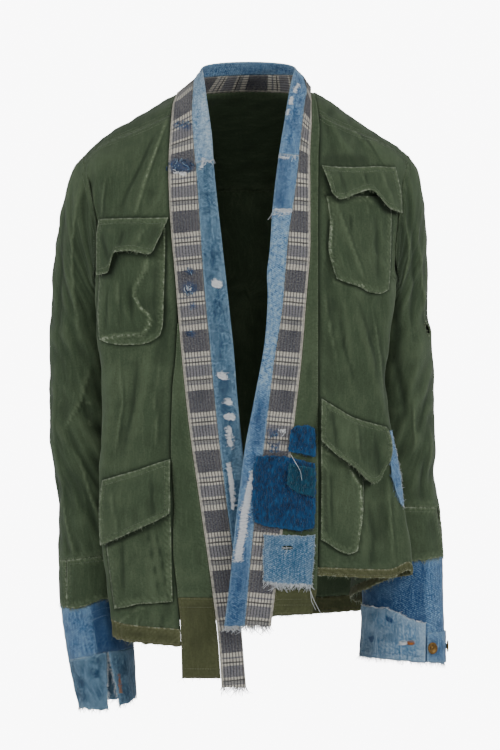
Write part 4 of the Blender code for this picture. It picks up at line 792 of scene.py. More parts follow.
def refined(grid: Array, across: int, down: int, closed: bool = False) -> Array:
    """A finer grid through a coarse one's points: cubic by length along each way in turn.

    Args:
        grid: coarse points, rows by columns.
        across: fine cells to a coarse one, across.
        down: the same, down.
        closed: whether the last column joins the first.

    Returns:
        The fine grid. A closed one repeats its first column at the end.
    """

    def along(points: Array, count: int, lap: int) -> Array:
        """Refine the first axis, where lap points past each end come from the other end.

        Args:
            points: what it refines.
            count: fine cells to a coarse one.
            lap: points taken past each end.

        Returns:
            The finer points.
        """
        if lap:
            points = np.concatenate([points[-lap:], points, points[:lap + 1]])
        steps = np.linalg.norm(np.diff(points, axis=0), axis=-1).mean(axis=1)
        at = np.concatenate([[0], np.cumsum(steps)])
        slope = np.gradient(points, at, axis=0)
        cells = len(at) - 1 - 2 * lap
        want = np.interp(np.linspace(lap, lap + cells, cells * count + 1), np.arange(len(at)), at)
        i = np.clip(np.searchsorted(at, want, side="right") - 1, 0, len(steps) - 1)
        size = steps[i][:, None, None]
        t = (want - at[i])[:, None, None] / size
        return hermite(t, points[i], points[i + 1], slope[i] * size, slope[i + 1] * size)

    rows = along(grid, down, 0)
    return along(rows.swapaxes(0, 1), across, 3 if closed else 0).swapaxes(0, 1)


def net(rows: Any, across: int, down: int) -> Array:
    """A finer grid of values from a few rows of given ones, by monotone cubics both ways.

    Args:
        rows: the given values.
        across: fine cells across.
        down: fine cells down.

    Returns:
        The fine grid.
    """

    def refine(values: Array, count: int) -> Array:
        """Refine the first axis to count cells.

        Args:
            values: what it refines.
            count: cells.

        Returns:
            The finer values.
        """
        at, want = np.linspace(0, 1, len(values)), np.linspace(0, 1, count + 1)
        flat = values.reshape(len(values), -1)
        out = np.stack([curve(*zip(at, flat[:, k]))(want) for k in range(flat.shape[1])], -1)
        return out.reshape((count + 1,) + values.shape[1:])

    return refine(refine(np.array(rows, float), down).swapaxes(0, 1), across).swapaxes(0, 1)


def dense(values: Any, step: float = STEP) -> Array:
    """The same run of values with each interval cut into equal parts no longer than step.

    Args:
        values: the run.
        step: the longest part.

    Returns:
        The longer run.
    """
    counts = [max(1, math.ceil(abs(b - a) / step)) for a, b in zip(values, values[1:])]
    parts = [np.linspace(a, b, count + 1)[:-1] for a, b, count in zip(values, values[1:], counts)]
    return np.concatenate([*parts, [values[-1]]])


def ripple(u: Array, v: Array, seed: int, shortest: float, longest: float) -> Array:
    """A soft uneven relief of about unit height: a sum of waves of many lengths and directions.

    Args:
        u: places across, in mm.
        v: places along, in mm.
        seed: picks the waves.
        shortest: the shortest wave.
        longest: the longest wave.

    Returns:
        The relief.
    """
    pick = np.random.default_rng(seed)
    total = np.zeros(np.broadcast(u, v).shape)
    for way, share, start in pick.random((10, 3)):
        length = shortest * (longest / shortest) ** share
        run = u * math.cos(math.pi * way) + v * math.sin(math.pi * way)
        total += np.sin(2 * np.pi * (run / length + start)) * (0.4 + 0.6 * share)
    return total / 2.6


def square_to(grid: Array, closed: bool) -> Array:
    """Unit normals of a grid, from its differences both ways.

    Args:
        grid: the points.
        closed: whether its last column is its first again.

    Returns:
        The normals.
    """
    if closed:
        wide = np.concatenate([grid[:, -2:-1], grid, grid[:, 1:2]], axis=1)
        across = (wide[:, 2:] - wide[:, :-2]) / 2
    else:
        across = np.gradient(grid, axis=1)
    return unit(np.cross(across, np.gradient(grid, axis=0)))


def linear(text: str) -> tuple[float, float, float, float]:
    """An sRGB hex colour as linear red, green, blue and alpha."""
    parts = [int(text[i:i + 2], 16) / 255 for i in (1, 3, 5)]
    return (*[c / 12.92 if c <= 0.04045 else ((c + 0.055) / 1.055) ** 2.4 for c in parts], 1.0)


class Nodes:
    """A new material's nodes, round its Principled shader."""

    def __init__(self, name: str, roughness: float, sheen: float = 0.0, metallic: float = 0.0) -> None:
        """Start the material.

        Args:
            name: the finish's name.
            roughness: the shader's roughness.
            sheen: the weight of its sheen, the light that loose fibres scatter.
            metallic: 1 for bare metal.
        """
        self.material = bpy.data.materials.new(name)
        self.material.use_nodes = True
        self.tree = self.material.node_tree
        self.shader = self.tree.nodes["Principled BSDF"]
        self.shader.inputs["Roughness"].default_value = roughness
        self.shader.inputs["Metallic"].default_value = metallic
        self.shader.inputs["Sheen Weight"].default_value = sheen
        self.shader.inputs["Specular IOR Level"].default_value = 0.5 if metallic else 0.2

    def add(self, kind: str, inputs: dict[Any, Any] | None = None, out: int = 0, **settings: Any) -> Any:
        """Add a node with its settings, values and links.

        Args:
            kind: the node's type, after ShaderNode.
            inputs: by input name or number, a value or the socket to link.
            out: which output to give back.
            settings: the node's own properties.

        Returns:
            The output socket.
        """
        node = self.tree.nodes.new("ShaderNode" + kind)
        for key, value in settings.items():
            setattr(node, key, value)
        for key, value in (inputs or {}).items():
            if isinstance(value, NodeSocket):
                self.tree.links.new(value, node.inputs[key])
            else:
                node.inputs[key].default_value = value
        return node.outputs[out]

    def cloud(self, where: Any, size: float, low: float, high: float, top: float, detail: float = 3.0) -> Any:
        """Uneven patches as a share, from noise.

        Args:
            where: the coordinates to read.
            size: the patches' size in mm.
            low: the noise that gives 0.
            high: the noise that gives top.
            top: the largest share.
            detail: how many finer layers it has.

        Returns:
            The share's socket.
        """
        noise = self.add("TexNoise", {"Vector": where, "Scale": 1000 / size, "Detail": detail,
                                      "Roughness": 0.6})
        return self.spread(noise, low, high, top)

    def spread(self, value: Any, low: float, high: float, top: float = 1.0, start: float = 0.0) -> Any:
        """A value's run from low to high, spread from start to top and held past its ends."""
        return self.add("MapRange", {"Value": value, "From Min": low, "From Max": high, "To Min": start,
                                     "To Max": top})

    def pulled(self, where: Any, share: float, turn: float = 0.0) -> Any:
        """Coordinates turned by an angle, their second one shrunk so that what they place is drawn long."""
        return self.add("Mapping", {"Vector": where, "Scale": (1.0, share, 1.0), "Rotation": (0, 0, turn)})

    def ribbed(self, where: Any, apart: float, bent: float, detail: float = 2.0, fine: float = 1.0,
               way: str = "Y") -> Any:
        """Even ribs, bent and roughened by noise.

        Args:
            where: the coordinates to read.
            apart: from one rib to the next, in mm.
            bent: how far the noise moves them.
            detail: how many finer layers it has.
            fine: how fine it is.
            way: the axis that they follow one another along.

        Returns:
            The ribs' height, from 0 to 1.
        """
        inputs = {"Vector": where, "Scale": WAVE / apart, "Distortion": bent, "Detail": detail,
                  "Detail Scale": fine}
        return self.add("TexWave", inputs, out=1, bands_direction=way)

    def over(self, share: Any, below: Any, above: Any) -> Any:
        """One colour laid over another by a share."""
        return self.add("Mix", {0: share, 6: below, 7: above}, out=2, data_type="RGBA")

    def times(self, one: Any, two: Any) -> Any:
        """The product of two shares."""
        return self.add("Math", {0: one, 1: two}, operation="MULTIPLY")

    def plus(self, one: Any, two: Any) -> Any:
        """The sum of two shares."""
        return self.add("Math", {0: one, 1: two}, operation="ADD")

    def places(self) -> tuple[Any, Any]:
        """The place in space and the place on the flat cloth, both in metres."""
        return self.add("TexCoord", out=3), self.add("TexCoord", out=2)

    def mark(self, name: str) -> Any:
        """One of the piece's own marks, kept at its points."""
        return self.add("Attribute", out=2, attribute_name=name)

    def worn_and_shaded(self, colour: Any, where: Any, pale: Any, dark: Any, strength: float) -> Any:
        """Age and shade a colour: pale with wear along edges and seams, paler on ridges as wear and painted
        highlight, painted shade in the troughs, and dark where stains and painted shade are marked.

        Args:
            colour: the cloth's colour.
            where: the coordinates for the unevenness.
            pale: the colour that it wears to, and of its painted highlights.
            dark: the colour of its painted shade and of its stains.
            strength: how worn it is, from 0 to 1.

        Returns:
            The aged colour's socket.
        """
        broken = self.cloud(where, 4.0, 0.3, 0.62, 1.0, 5.0)
        # Pale with wear at edges and seams, and painted highlight where crests are marked.
        edge = self.times(self.times(self.mark("wear_and_highlight"), broken), strength)
        colour = self.over(edge, colour, pale)
        colour = self.over(self.spread(edge, 0.5, 1.0, 0.55), colour, linear("#b4baa8"))
        # Paler on crests as wear and painted highlight; painted shade in the troughs.
        ridge = self.mark("ridge")
        up = self.spread(ridge, 0.15, 1.0, 0.16 * strength)
        down = self.spread(ridge, -0.1, -1.0, 0.4)
        colour = self.over(down, self.over(up, colour, pale), dark)
        # Stains, with painted shade and shadow, from one mark.
        return self.over(self.mark("stain_and_shade"), colour, dark)

    def bared(self, colour: Any, weave: Any, where: Any) -> Any:
        """Lay bare white weft threads over a colour where the mark named bare says so.

        Args:
            colour: the cloth's colour.
            weave: the weft's ribs.
            where: the coordinates for the ragged edges.

        Returns:
            The new colour's socket.
        """
        ragged = self.cloud(where, 3.2, 0.25, 0.75, 0.7, 4.0)
        share = self.spread(self.plus(self.mark("bare"), ragged), 0.95, 1.15)
        gaps = self.spread(weave, 0.9, 0.3, start=0.35)
        threads = self.over(weave, linear(WHITE_THREAD[0]), linear(WHITE_THREAD[1]))
        return self.over(self.times(share, gaps), colour, threads)

    def done(self, colour: Any, height: Any, depth: float) -> Material:
        """Link the colour and a bump of that depth in mm, and give the material back.

        Args:
            colour: its socket.
            height: the bump's socket.
            depth: the bump's depth.

        Returns:
            The material.
        """
        self.tree.links.new(colour, self.shader.inputs["Base Color"])
        bump = self.add("Bump", {"Height": height, "Distance": depth * MM, "Strength": 1.0})
        self.tree.links.new(bump, self.shader.inputs["Normal"])
        return self.material


WHITE_THREAD = ("#dededa", "#ffffff")


@dataclass(frozen=True)
class Finish:
    """What every finish has: a name, the record's slot, and a material made once."""

    name: str
    slot: str
    base: str
    pale: str
    dark: str

    def make(self) -> Material:
        """Build the material; each kind of finish has its own."""
        raise NotImplementedError

    def material(self) -> Material:
        """The material, made the first time it is asked for."""
        return bpy.data.materials.get(self.name) or self.make()


@dataclass(frozen=True)
class Cotton(Finish):
    """Washed cotton poplin: matt, dusty, mottled where it has faded, pale on every seam, paler on ridges as
    wear and painted highlight, with painted shade in troughs.

    Its ribs are 0.6 mm apart, too fine for the picture, so they are drawn 1.5 mm apart.
    """

    fade: float = 0.5
    rib: float = 1.5
    crease: float = 13.0

    def make(self) -> Material:
        """Clouds of fade under mottling and a fine grain, then the wear with painted highlight and shade; its
        bump has long sharp creases.

        Returns:
            The material.
        """
        n = Nodes(self.name, 0.88, sheen=0.08)
        place, uv = n.places()
        pale, dark = linear(self.pale), linear(self.dark)
        colour = n.over(n.cloud(place, 120, 0.4, 0.7, 0.4 * self.fade), linear(self.base), pale)
        colour = n.over(n.cloud(place, 40, 0.5, 0.8, 0.3, 5.0), colour, dark)
        stretched = n.pulled(uv, 0.16)
        colour = n.over(n.cloud(stretched, 4.0, 0.5, 0.8, 0.2), colour, pale)
        colour = n.over(n.cloud(place, 2.2, 0.45, 0.75, 0.32, 2.0), colour, dark)
        colour = n.over(n.cloud(place, 2.8, 0.55, 0.8, 0.12, 3.0), colour, pale)
        ribs = n.ribbed(uv, self.rib, 1.5, fine=2.0)
        grain = n.cloud(stretched, 1.6, 0.2, 0.8, 1.0, 4.0)
        sharp = n.add("TexNoise", {"Vector": n.pulled(uv, 0.42, 0.16), "Scale": 1000 / 62, "Detail": 2.2,
                                   "Roughness": 0.45, "Offset": 0.9, "Gain": 1.6},
                      noise_type="RIDGED_MULTIFRACTAL")
        soft = n.times(n.cloud(place, 12.0, 0.25, 0.75, 1.0, 4.0), 3.0)
        creased = n.plus(soft, n.times(sharp, self.crease))
        height = n.plus(n.plus(ribs, grain), creased)
        return n.done(n.worn_and_shaded(colour, place, pale, dark, 0.95), height, 0.09)


@dataclass(frozen=True)
class Denim(Finish):
    """Washed indigo twill: blue warp over pale weft in slanting ribs, with slubs and a cloudy fade.

    Its ribs are 0.9 mm apart and are drawn 2.4 mm apart, the size of the grain that the picture can show.
    """

    rib: float = 2.4
    slant: float = 62.0
    weft: float = 1.9
    cloudy: float = 0.25

    def make(self) -> Material:
        """Ribs and lengthwise slubs pick between two blues, then fade, wear with painted highlight and shade,
        and bare threads.

        Returns:
            The material.
        """
        n = Nodes(self.name, 0.88, sheen=0.15)
        place, uv = n.places()
        pale, dark = linear(self.pale), linear(self.dark)
        slanted = n.pulled(uv, 1.0, math.radians(self.slant))
        ribs = n.ribbed(slanted, self.rib, 3.0, 3.0, 1.6, "X")
        slub = n.cloud(n.pulled(uv, 0.14), 3.0, 0.35, 0.65, 1.0, 3.0)
        salt = n.cloud(uv, 2.4, 0.4, 0.6, 1.0, 2.0)
        uneven = n.add("Mix", {0: 0.6, 2: slub, 3: salt}, data_type="FLOAT")
        grain = n.add("Mix", {0: 0.62, 2: ribs, 3: uneven}, data_type="FLOAT")
        colour = n.over(n.spread(grain, 0.3, 0.55), dark, linear(self.base))
        colour = n.over(n.spread(grain, 0.55, 0.78), colour, pale)
        colour = n.over(n.cloud(place, 34, 0.45, 0.62, self.cloudy, 5.0), colour, pale)
        colour = n.over(n.cloud(place, 22, 0.5, 0.68, 0.6, 4.0), colour, dark)
        colour = n.over(n.cloud(uv, 2.0, 0.5, 0.7, 0.75, 2.0), colour, dark)
        colour = n.worn_and_shaded(colour, place, pale, dark, 0.8)
        weft = n.ribbed(uv, self.weft, 2.5)
        return n.done(n.bared(colour, weft, uv), grain, 0.22)


@dataclass(frozen=True)
class Plaid(Finish):
    """Soft yarn-dyed check: cream and grey weft bars between dark blocks, crossed by fine dark warp lines.

    One repeat is 80.6 mm. The warp lines are 4 mm apart and are drawn 1.1 mm wide to show.
    """

    repeat: float = 80.6
    warp: float = 4.1
    weft: float = 2.3

    def make(self) -> Material:
        """A ramp of bars by distance along the band, times lines by distance across it.

        Returns:
            The material.
        """
        n = Nodes(self.name, 0.9, sheen=0.1)
        place, uv = n.places()
        wobble = n.add("TexNoise", {"Vector": uv, "Scale": 1000 / 14, "Detail": 2.0}, out=1)
        off = n.add("VectorMath", {0: wobble, "Scale": 1.6 * MM}, operation="SCALE")
        moved = n.add("VectorMath", {0: uv, 1: off}, operation="ADD")
        parts = n.add("SeparateXYZ", {0: moved}).node
        along = n.add("Math", {0: n.times(parts.outputs[1], -1000 / self.repeat)}, operation="FRACT")
        bars = n.add("ValToRGB", {0: along}).node
        bars.color_ramp.interpolation = "LINEAR"
        stops = bars.color_ramp.elements
        for start, end, shade in PLAID_BARS:
            for at in (start + 0.4, end - 0.4):
                stop = stops.new(at / self.repeat)
                stop.color = linear(shade)
        stops.remove(stops[0])
        stops.remove(stops[-1])
        across = n.add("Math", {0: n.times(parts.outputs[0], 1000 / self.warp)}, operation="FRACT")
        centred = n.add("Math", {0: across, 1: 0.5}, operation="SUBTRACT")
        peak = n.add("Math", {0: centred}, operation="ABSOLUTE")
        line = n.spread(peak, 0.25, 0.12, 0.85)
        weft = n.ribbed(moved, self.weft, 0.8)
        colour = n.over(n.times(weft, 0.28), bars.outputs[0], linear(self.dark))
        selvedge = n.spread(parts.outputs[0], 4.4 * MM, 3.6 * MM, 0.8)
        selvedge = n.times(selvedge, n.cloud(uv, 4.0, 0.25, 0.6, 1.0, 3.0))
        colour = n.over(selvedge, n.over(line, colour, linear("#2a2a33")), linear("#cfc9b8"))
        ditch = n.add("Math", {0: parts.outputs[0], 1: 5.0 * MM, 2: 0.6 * MM}, operation="COMPARE")
        colour = n.over(n.times(ditch, 0.4), colour, linear("#34343f"))
        colour = n.over(n.cloud(uv, 1.7, 0.4, 0.75, 0.4, 3.0), colour, linear(self.pale))
        colour = n.over(n.cloud(place, 1.9, 0.5, 0.8, 0.5, 3.0), colour, linear(self.dark))
        height = n.plus(weft, line)
        colour = n.worn_and_shaded(colour, place, linear(self.pale), linear(self.dark), 0.5)
        darned = n.times(n.mark("darn"), n.cloud(uv, 2.6, 0.3, 0.6, 1.0, 4.0))
        colour = n.over(darned, colour, linear("#31486b"))
        return n.done(n.bared(colour, weft, uv), height, 0.12)


CREAM, GREY, MID, SLATE, BLACKISH = "#d0cbbc", "#8b8b87", "#74747b", "#434550", "#1b1c23"
# The check's bars: from, to and colour, in mm along one repeat.
PLAID_BARS = [
    (0.0, 6.0, CREAM), (6.0, 8.4, MID), (8.4, 12.6, CREAM), (12.6, 14.4, BLACKISH), (14.4, 17.6, CREAM),
    (17.6, 33.0, MID), (33.0, 36.4, CREAM), (36.4, 38.2, BLACKISH), (38.2, 41.8, GREY), (41.8, 43.6, MID),
    (43.6, 51.0, CREAM), (51.0, 80.6, SLATE),
]


@dataclass(frozen=True)
class Darned(Finish):
    """Dark indigo cotton covered with lengthwise darning: ribbed, and scribbled over in near blues."""

    def make(self) -> Material:
        """Lengthwise ribs and a slanting scribble of paler thread over dark cotton.

        Returns:
            The material.
        """
        n = Nodes(self.name, 0.92, sheen=0.12)
        place, uv = n.places()
        ribs = n.cloud(n.pulled(uv, 0.1), 1.9, 0.3, 0.7, 1.0, 3.0)
        scribble = n.cloud(n.pulled(uv, 0.3, 0.6), 3.0, 0.5, 0.62, 0.8, 2.0)
        colour = n.over(n.times(ribs, 0.55), linear(self.dark), linear(self.base))
        colour = n.over(n.times(scribble, 0.5), colour, linear(self.pale))
        colour = n.over(n.cloud(place, 26, 0.45, 0.7, 0.55), colour, linear(self.base))
        colour = n.worn_and_shaded(colour, place, linear(self.pale), linear(self.dark), 0.5)
        return n.done(colour, n.plus(ribs, scribble), 0.3)


@dataclass(frozen=True)
class Yarn(Finish):
    """Sewing thread and frayed yarn: matt twisted fibre, uneven in colour."""

    def make(self) -> Material:
        """Mottled fibre.

        Returns:
            The material.
        """
        n = Nodes(self.name, 0.85, sheen=0.2)
        place = n.add("TexCoord", out=3)
        twist = n.cloud(place, 1.2, 0.3, 0.7, 1.0, 2.0)
        colour = n.over(twist, linear(self.dark), linear(self.base))
        colour = n.over(n.cloud(place, 22, 0.4, 0.65, 0.6), colour, linear(self.pale))
        return n.done(colour, twist, 0.08)


@dataclass(frozen=True)
class Brass(Finish):
    """Cast brass button, tumbled and tarnished: brown in its hollows, worn bright on its rim."""

    def make(self) -> Material:
        """Tarnish in clouds, over pitted metal.

        Returns:
            The material.
        """
        n = Nodes(self.name, 0.46, metallic=1.0)
        place = n.add("TexCoord", out=3)
        colour = n.over(n.cloud(place, 3.0, 0.35, 0.65, 0.8), linear(self.base), linear(self.dark))
        colour = n.over(n.cloud(place, 1.2, 0.55, 0.75, 0.6), colour, linear(self.pale))
        return n.done(colour, n.cloud(place, 0.9, 0.3, 0.7, 1.0), 0.1)


@dataclass(frozen=True)
class Paper(Finish):
    """Seamless pale studio paper, smooth and matt, burnt out to near white where the camera sees it."""

    glow: float = 9.0

    def make(self) -> Material:
        """An even pale grey with the faintest tooth, and clear from behind, so that the back can be seen.

        Returns:
            The material.
        """
        n = Nodes(self.name, 0.95)
        place = n.add("TexCoord", out=3)
        tooth = n.cloud(place, 3.0, 0.3, 0.7, 1.0)
        n.shader.inputs["Emission Color"].default_value = linear(self.base)
        seen = n.times(n.add("LightPath"), self.glow)
        n.tree.links.new(seen, n.shader.inputs["Emission Strength"])
        paper = n.done(n.over(n.times(tooth, 0.1), linear(self.base), linear(self.pale)), tooth, 0.02)
        sheer = n.add("MixShader", {0: n.add("NewGeometry", out=6), 1: n.shader.outputs[0],
                                    2: n.add("BsdfTransparent")})
        output = next(node for node in n.tree.nodes if node.type == "OUTPUT_MATERIAL")
        n.tree.links.new(sheer, output.inputs[0])
        return paper


GREEN = Cotton("washed_green_poplin", "faded_green_cotton", "#3c4a35", "#6f7d60", "#232e20")
OLIVE = Cotton("let_down_olive_poplin", "olive_cotton", "#45492f", "#727454", "#2a2c1d", fade=0.35)
PLAID = Plaid("yarn_dyed_check", "yarn_dyed_plaid", "#8d8c88", "#b0aca0", "#2c2d36")
DENIM = Denim("washed_blue_twill", "denim_mid", "#3d6c97", "#8fb1cb", "#14365e")
DARK_DENIM = Denim("dark_blue_twill", "denim_dark", "#345b78", "#87a8bd", "#102f49")
PALE_DENIM = Denim("pale_blue_twill", "denim_pale", "#5a86aa", "#b4c9d8", "#26506f")
INDIGO = Darned("darned_indigo_cotton", "indigo_cloth", "#12446f", "#2d6592", "#0a2b4d")
TEAL = Darned("darned_teal_cotton", "teal_cloth", "#17425a", "#2f6379", "#0d2c3f")
BRASS = Brass("tarnished_brass", "button_metal", "#8c6d3f", "#c9a66a", "#3f2f1d")
GREEN_THREAD = Yarn("green_thread", "faded_green_cotton", "#55634a", "#808e70", "#2c3a28")
SEAM_THREAD = Yarn("pale_green_yarn", "faded_green_cotton", "#7c8a6b", "#a7b096", "#505e42")
OLIVE_THREAD = Yarn("olive_thread", "olive_cotton", "#65674a", "#8e8f68", "#383a26")
WHITE_YARN = Yarn("white_yarn", "denim_pale", "#e4e6e6", "#ffffff", "#a9b6c0")
BLUE_YARN = Yarn("blue_yarn", "denim_mid", "#5c86a8", "#a9c3d6", "#264d70")
NAVY_YARN = Yarn("navy_yarn", "indigo_cloth", "#1b3457", "#335b85", "#101f3a")
CHECK_YARN = Yarn("cream_and_grey_yarn", "yarn_dyed_plaid", "#aca797", "#d6d1c0", "#45454d")
TEAL_YARN = Yarn("teal_yarn", "teal_cloth", "#1c5068", "#35748a", "#103446")
RUST_YARN = Yarn("rust_thread", "denim_dark", "#a9642f", "#cf9055", "#6f3f1c")
PAPER = Paper("studio_paper", "", "#f6f6f7", "#eeeef0", "#e6e6e8")


def tubes(paths: Array, radius: Array, sides: int = 3) -> tuple[Array, Array, Array]:
    """Thin tubes along many paths: a ring of points square to the path at each of its points.

    Args:
        paths: paths by points by 3.
        radius: paths by points.
        sides: points in a ring.

    Returns:
        The points, the faces along the tubes, and the faces that close their tips.
    """
    tangent = unit(np.gradient(paths, axis=1))
    helper = np.where(np.abs(tangent[..., 2:]) > 0.85, [1.0, 0, 0], [0, 0, 1.0])
    first = unit(np.cross(tangent, helper))
    second = np.cross(tangent, first)
    turn = 2 * np.pi * np.arange(sides)[:, None] / sides
    spread = np.cos(turn) * first[:, :, None] + np.sin(turn) * second[:, :, None]
    points = paths[:, :, None] + radius[:, :, None, None] * spread
    index = np.arange(points[..., 0].size).reshape(points.shape[:3])
    a, b = index[:, :-1], index[:, 1:]
    quads = np.stack([a, np.roll(a, -1, 2), np.roll(b, -1, 2), b], -1).reshape(-1, 4)
    return points.reshape(-1, 3), quads, np.concatenate([index[:, 0, ::-1], index[:, -1]])


def placed(name: str, mesh: Mesh, finish: Finish) -> Object:
    """Link a mesh as a piece with its finish, parented to the jacket's root when the finish has a slot.

    Args:
        name: the piece's name.
        mesh: its mesh.
        finish: its finish.

    Returns:
        The piece.
    """
    mesh.shade_smooth()
    mesh.materials.append(finish.material())
    piece = bpy.data.objects.new(name, mesh)
    bpy.context.scene.collection.objects.link(piece)
    if finish.slot:
        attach(piece, "root")
    return piece


DENIM_PIECES = {
    RIGHT: [("upper", -3.0, -108.0, PALE_DENIM), ("lower", -108.0, -708.0, DARK_DENIM)],
    LEFT: [("upper", 4.0, -100.0, DENIM), ("middle", -100.0, -172.0, DENIM),
           ("lower", -172.0, -728.0, DENIM)],
}
# The plackets and their extensions: name, top, end, finish and cells across.
PLACKETS = {
    RIGHT: [("placket_right", -322, -690, GREEN, 12), ("placket_extension_right", -690.5, -799, OLIVE, 14)],
    LEFT: [("placket_left", -3, -678, GREEN, 10), ("placket_extension_left", -678.5, -712, OLIVE, 14)],
}
# The patches: name, finish and rows of (x, z, lift).
PATCHES = [
    ("patch_indigo_top", INDIGO, [
        [(54, -465, 3.1), (64, -459, 3.1), (76, -459, 3.1), (87, -464, 3.1)],
        [(52, -481, 3.1), (64, -479, 3.5), (76, -480, 3.5), (88, -483, 3.1)],
        [(51, -495, 3.1), (64, -497, 3.1), (76, -499, 3.1), (87, -502, 3.1)],
    ]),
    ("patch_indigo_main", INDIGO, [
        [(8, -499, 3.7), (28, -499, 3.7), (48, -500, 3.7), (68, -505, 3.7), (87, -510, 3.7)],
        [(3, -526, 3.7), (24, -526, 4.3), (46, -528, 4.3), (67, -530, 4.3), (88, -532, 3.7)],
        [(2, -554, 3.7), (24, -556, 4.3), (46, -560, 4.3), (67, -562, 4.3), (88, -562, 3.7)],
        [(5, -589, 3.7), (22, -595, 3.7), (43, -598, 3.7), (66, -601, 3.7), (86, -597, 3.7)],
    ]),
    ("patch_teal", TEAL, [
        [(52, -509, 6.1), (64, -512, 6.1), (76, -514, 6.1), (86, -516, 6.1)],
        [(50, -524, 6.1), (62, -530, 6.4), (75, -534, 6.4), (86, -536, 6.1)],
        [(49, -538, 6.1), (60, -548, 6.1), (74, -553, 6.1), (86, -556, 6.1)],
    ]),
    ("patch_light_denim", PALE_DENIM, [
        [(18, -605, 3.7), (42, -606, 3.7), (58, -606, 3.7), (72, -606, 3.7), (87, -606, 3.7)],
        [(18, -620, 3.7), (42, -620.5, 4.2), (58, -620.5, 4.2), (72, -621, 4.2), (87, -621, 3.7)],
        [(17, -626, 3.7), (42, -626, 4.2), (58, -626, 4.2), (72, -627, 4.2), (86, -627, 3.7)],
        [(17, -648, 3.7), (41, -649, 4.2), (58, -649, 4.2), (71, -650, 4.2), (85, -650, 3.7)],
        [(17, -668, 3.7), (40, -671, 3.7), (57, -672, 3.7), (70, -673, 3.7), (83, -673, 3.7)],
    ]),
]


@dataclass
class ThreadWork:
    """Stitches or loose threads of one yarn, joined into one mesh."""

    name: str
    finish: Finish
    points: list[Array] = field(default_factory=list)
    faces: list[list[int]] = field(default_factory=list)
    count: int = 0

    def lay(self, paths: Array, radius: Any) -> None:
        """Add threads along paths of equal numbers of points.

        Args:
            paths: paths by points by 3, in mm.
            radius: one radius, or one for each point of each path.
        """
        points, quads, caps = tubes(paths, np.broadcast_to(radius, paths.shape[:2]))
        self.faces += (quads + self.count).tolist() + (caps + self.count).tolist()
        self.points.append(points)
        self.count += len(points)

    def build(self) -> Object:
        """Make the joined mesh.

        Returns:
            The piece.
        """
        mesh = bpy.data.meshes.new(self.name)
        mesh.from_pydata((np.concatenate(self.points) * MM).tolist(), [], self.faces)
        return placed(self.name, mesh, self.finish)


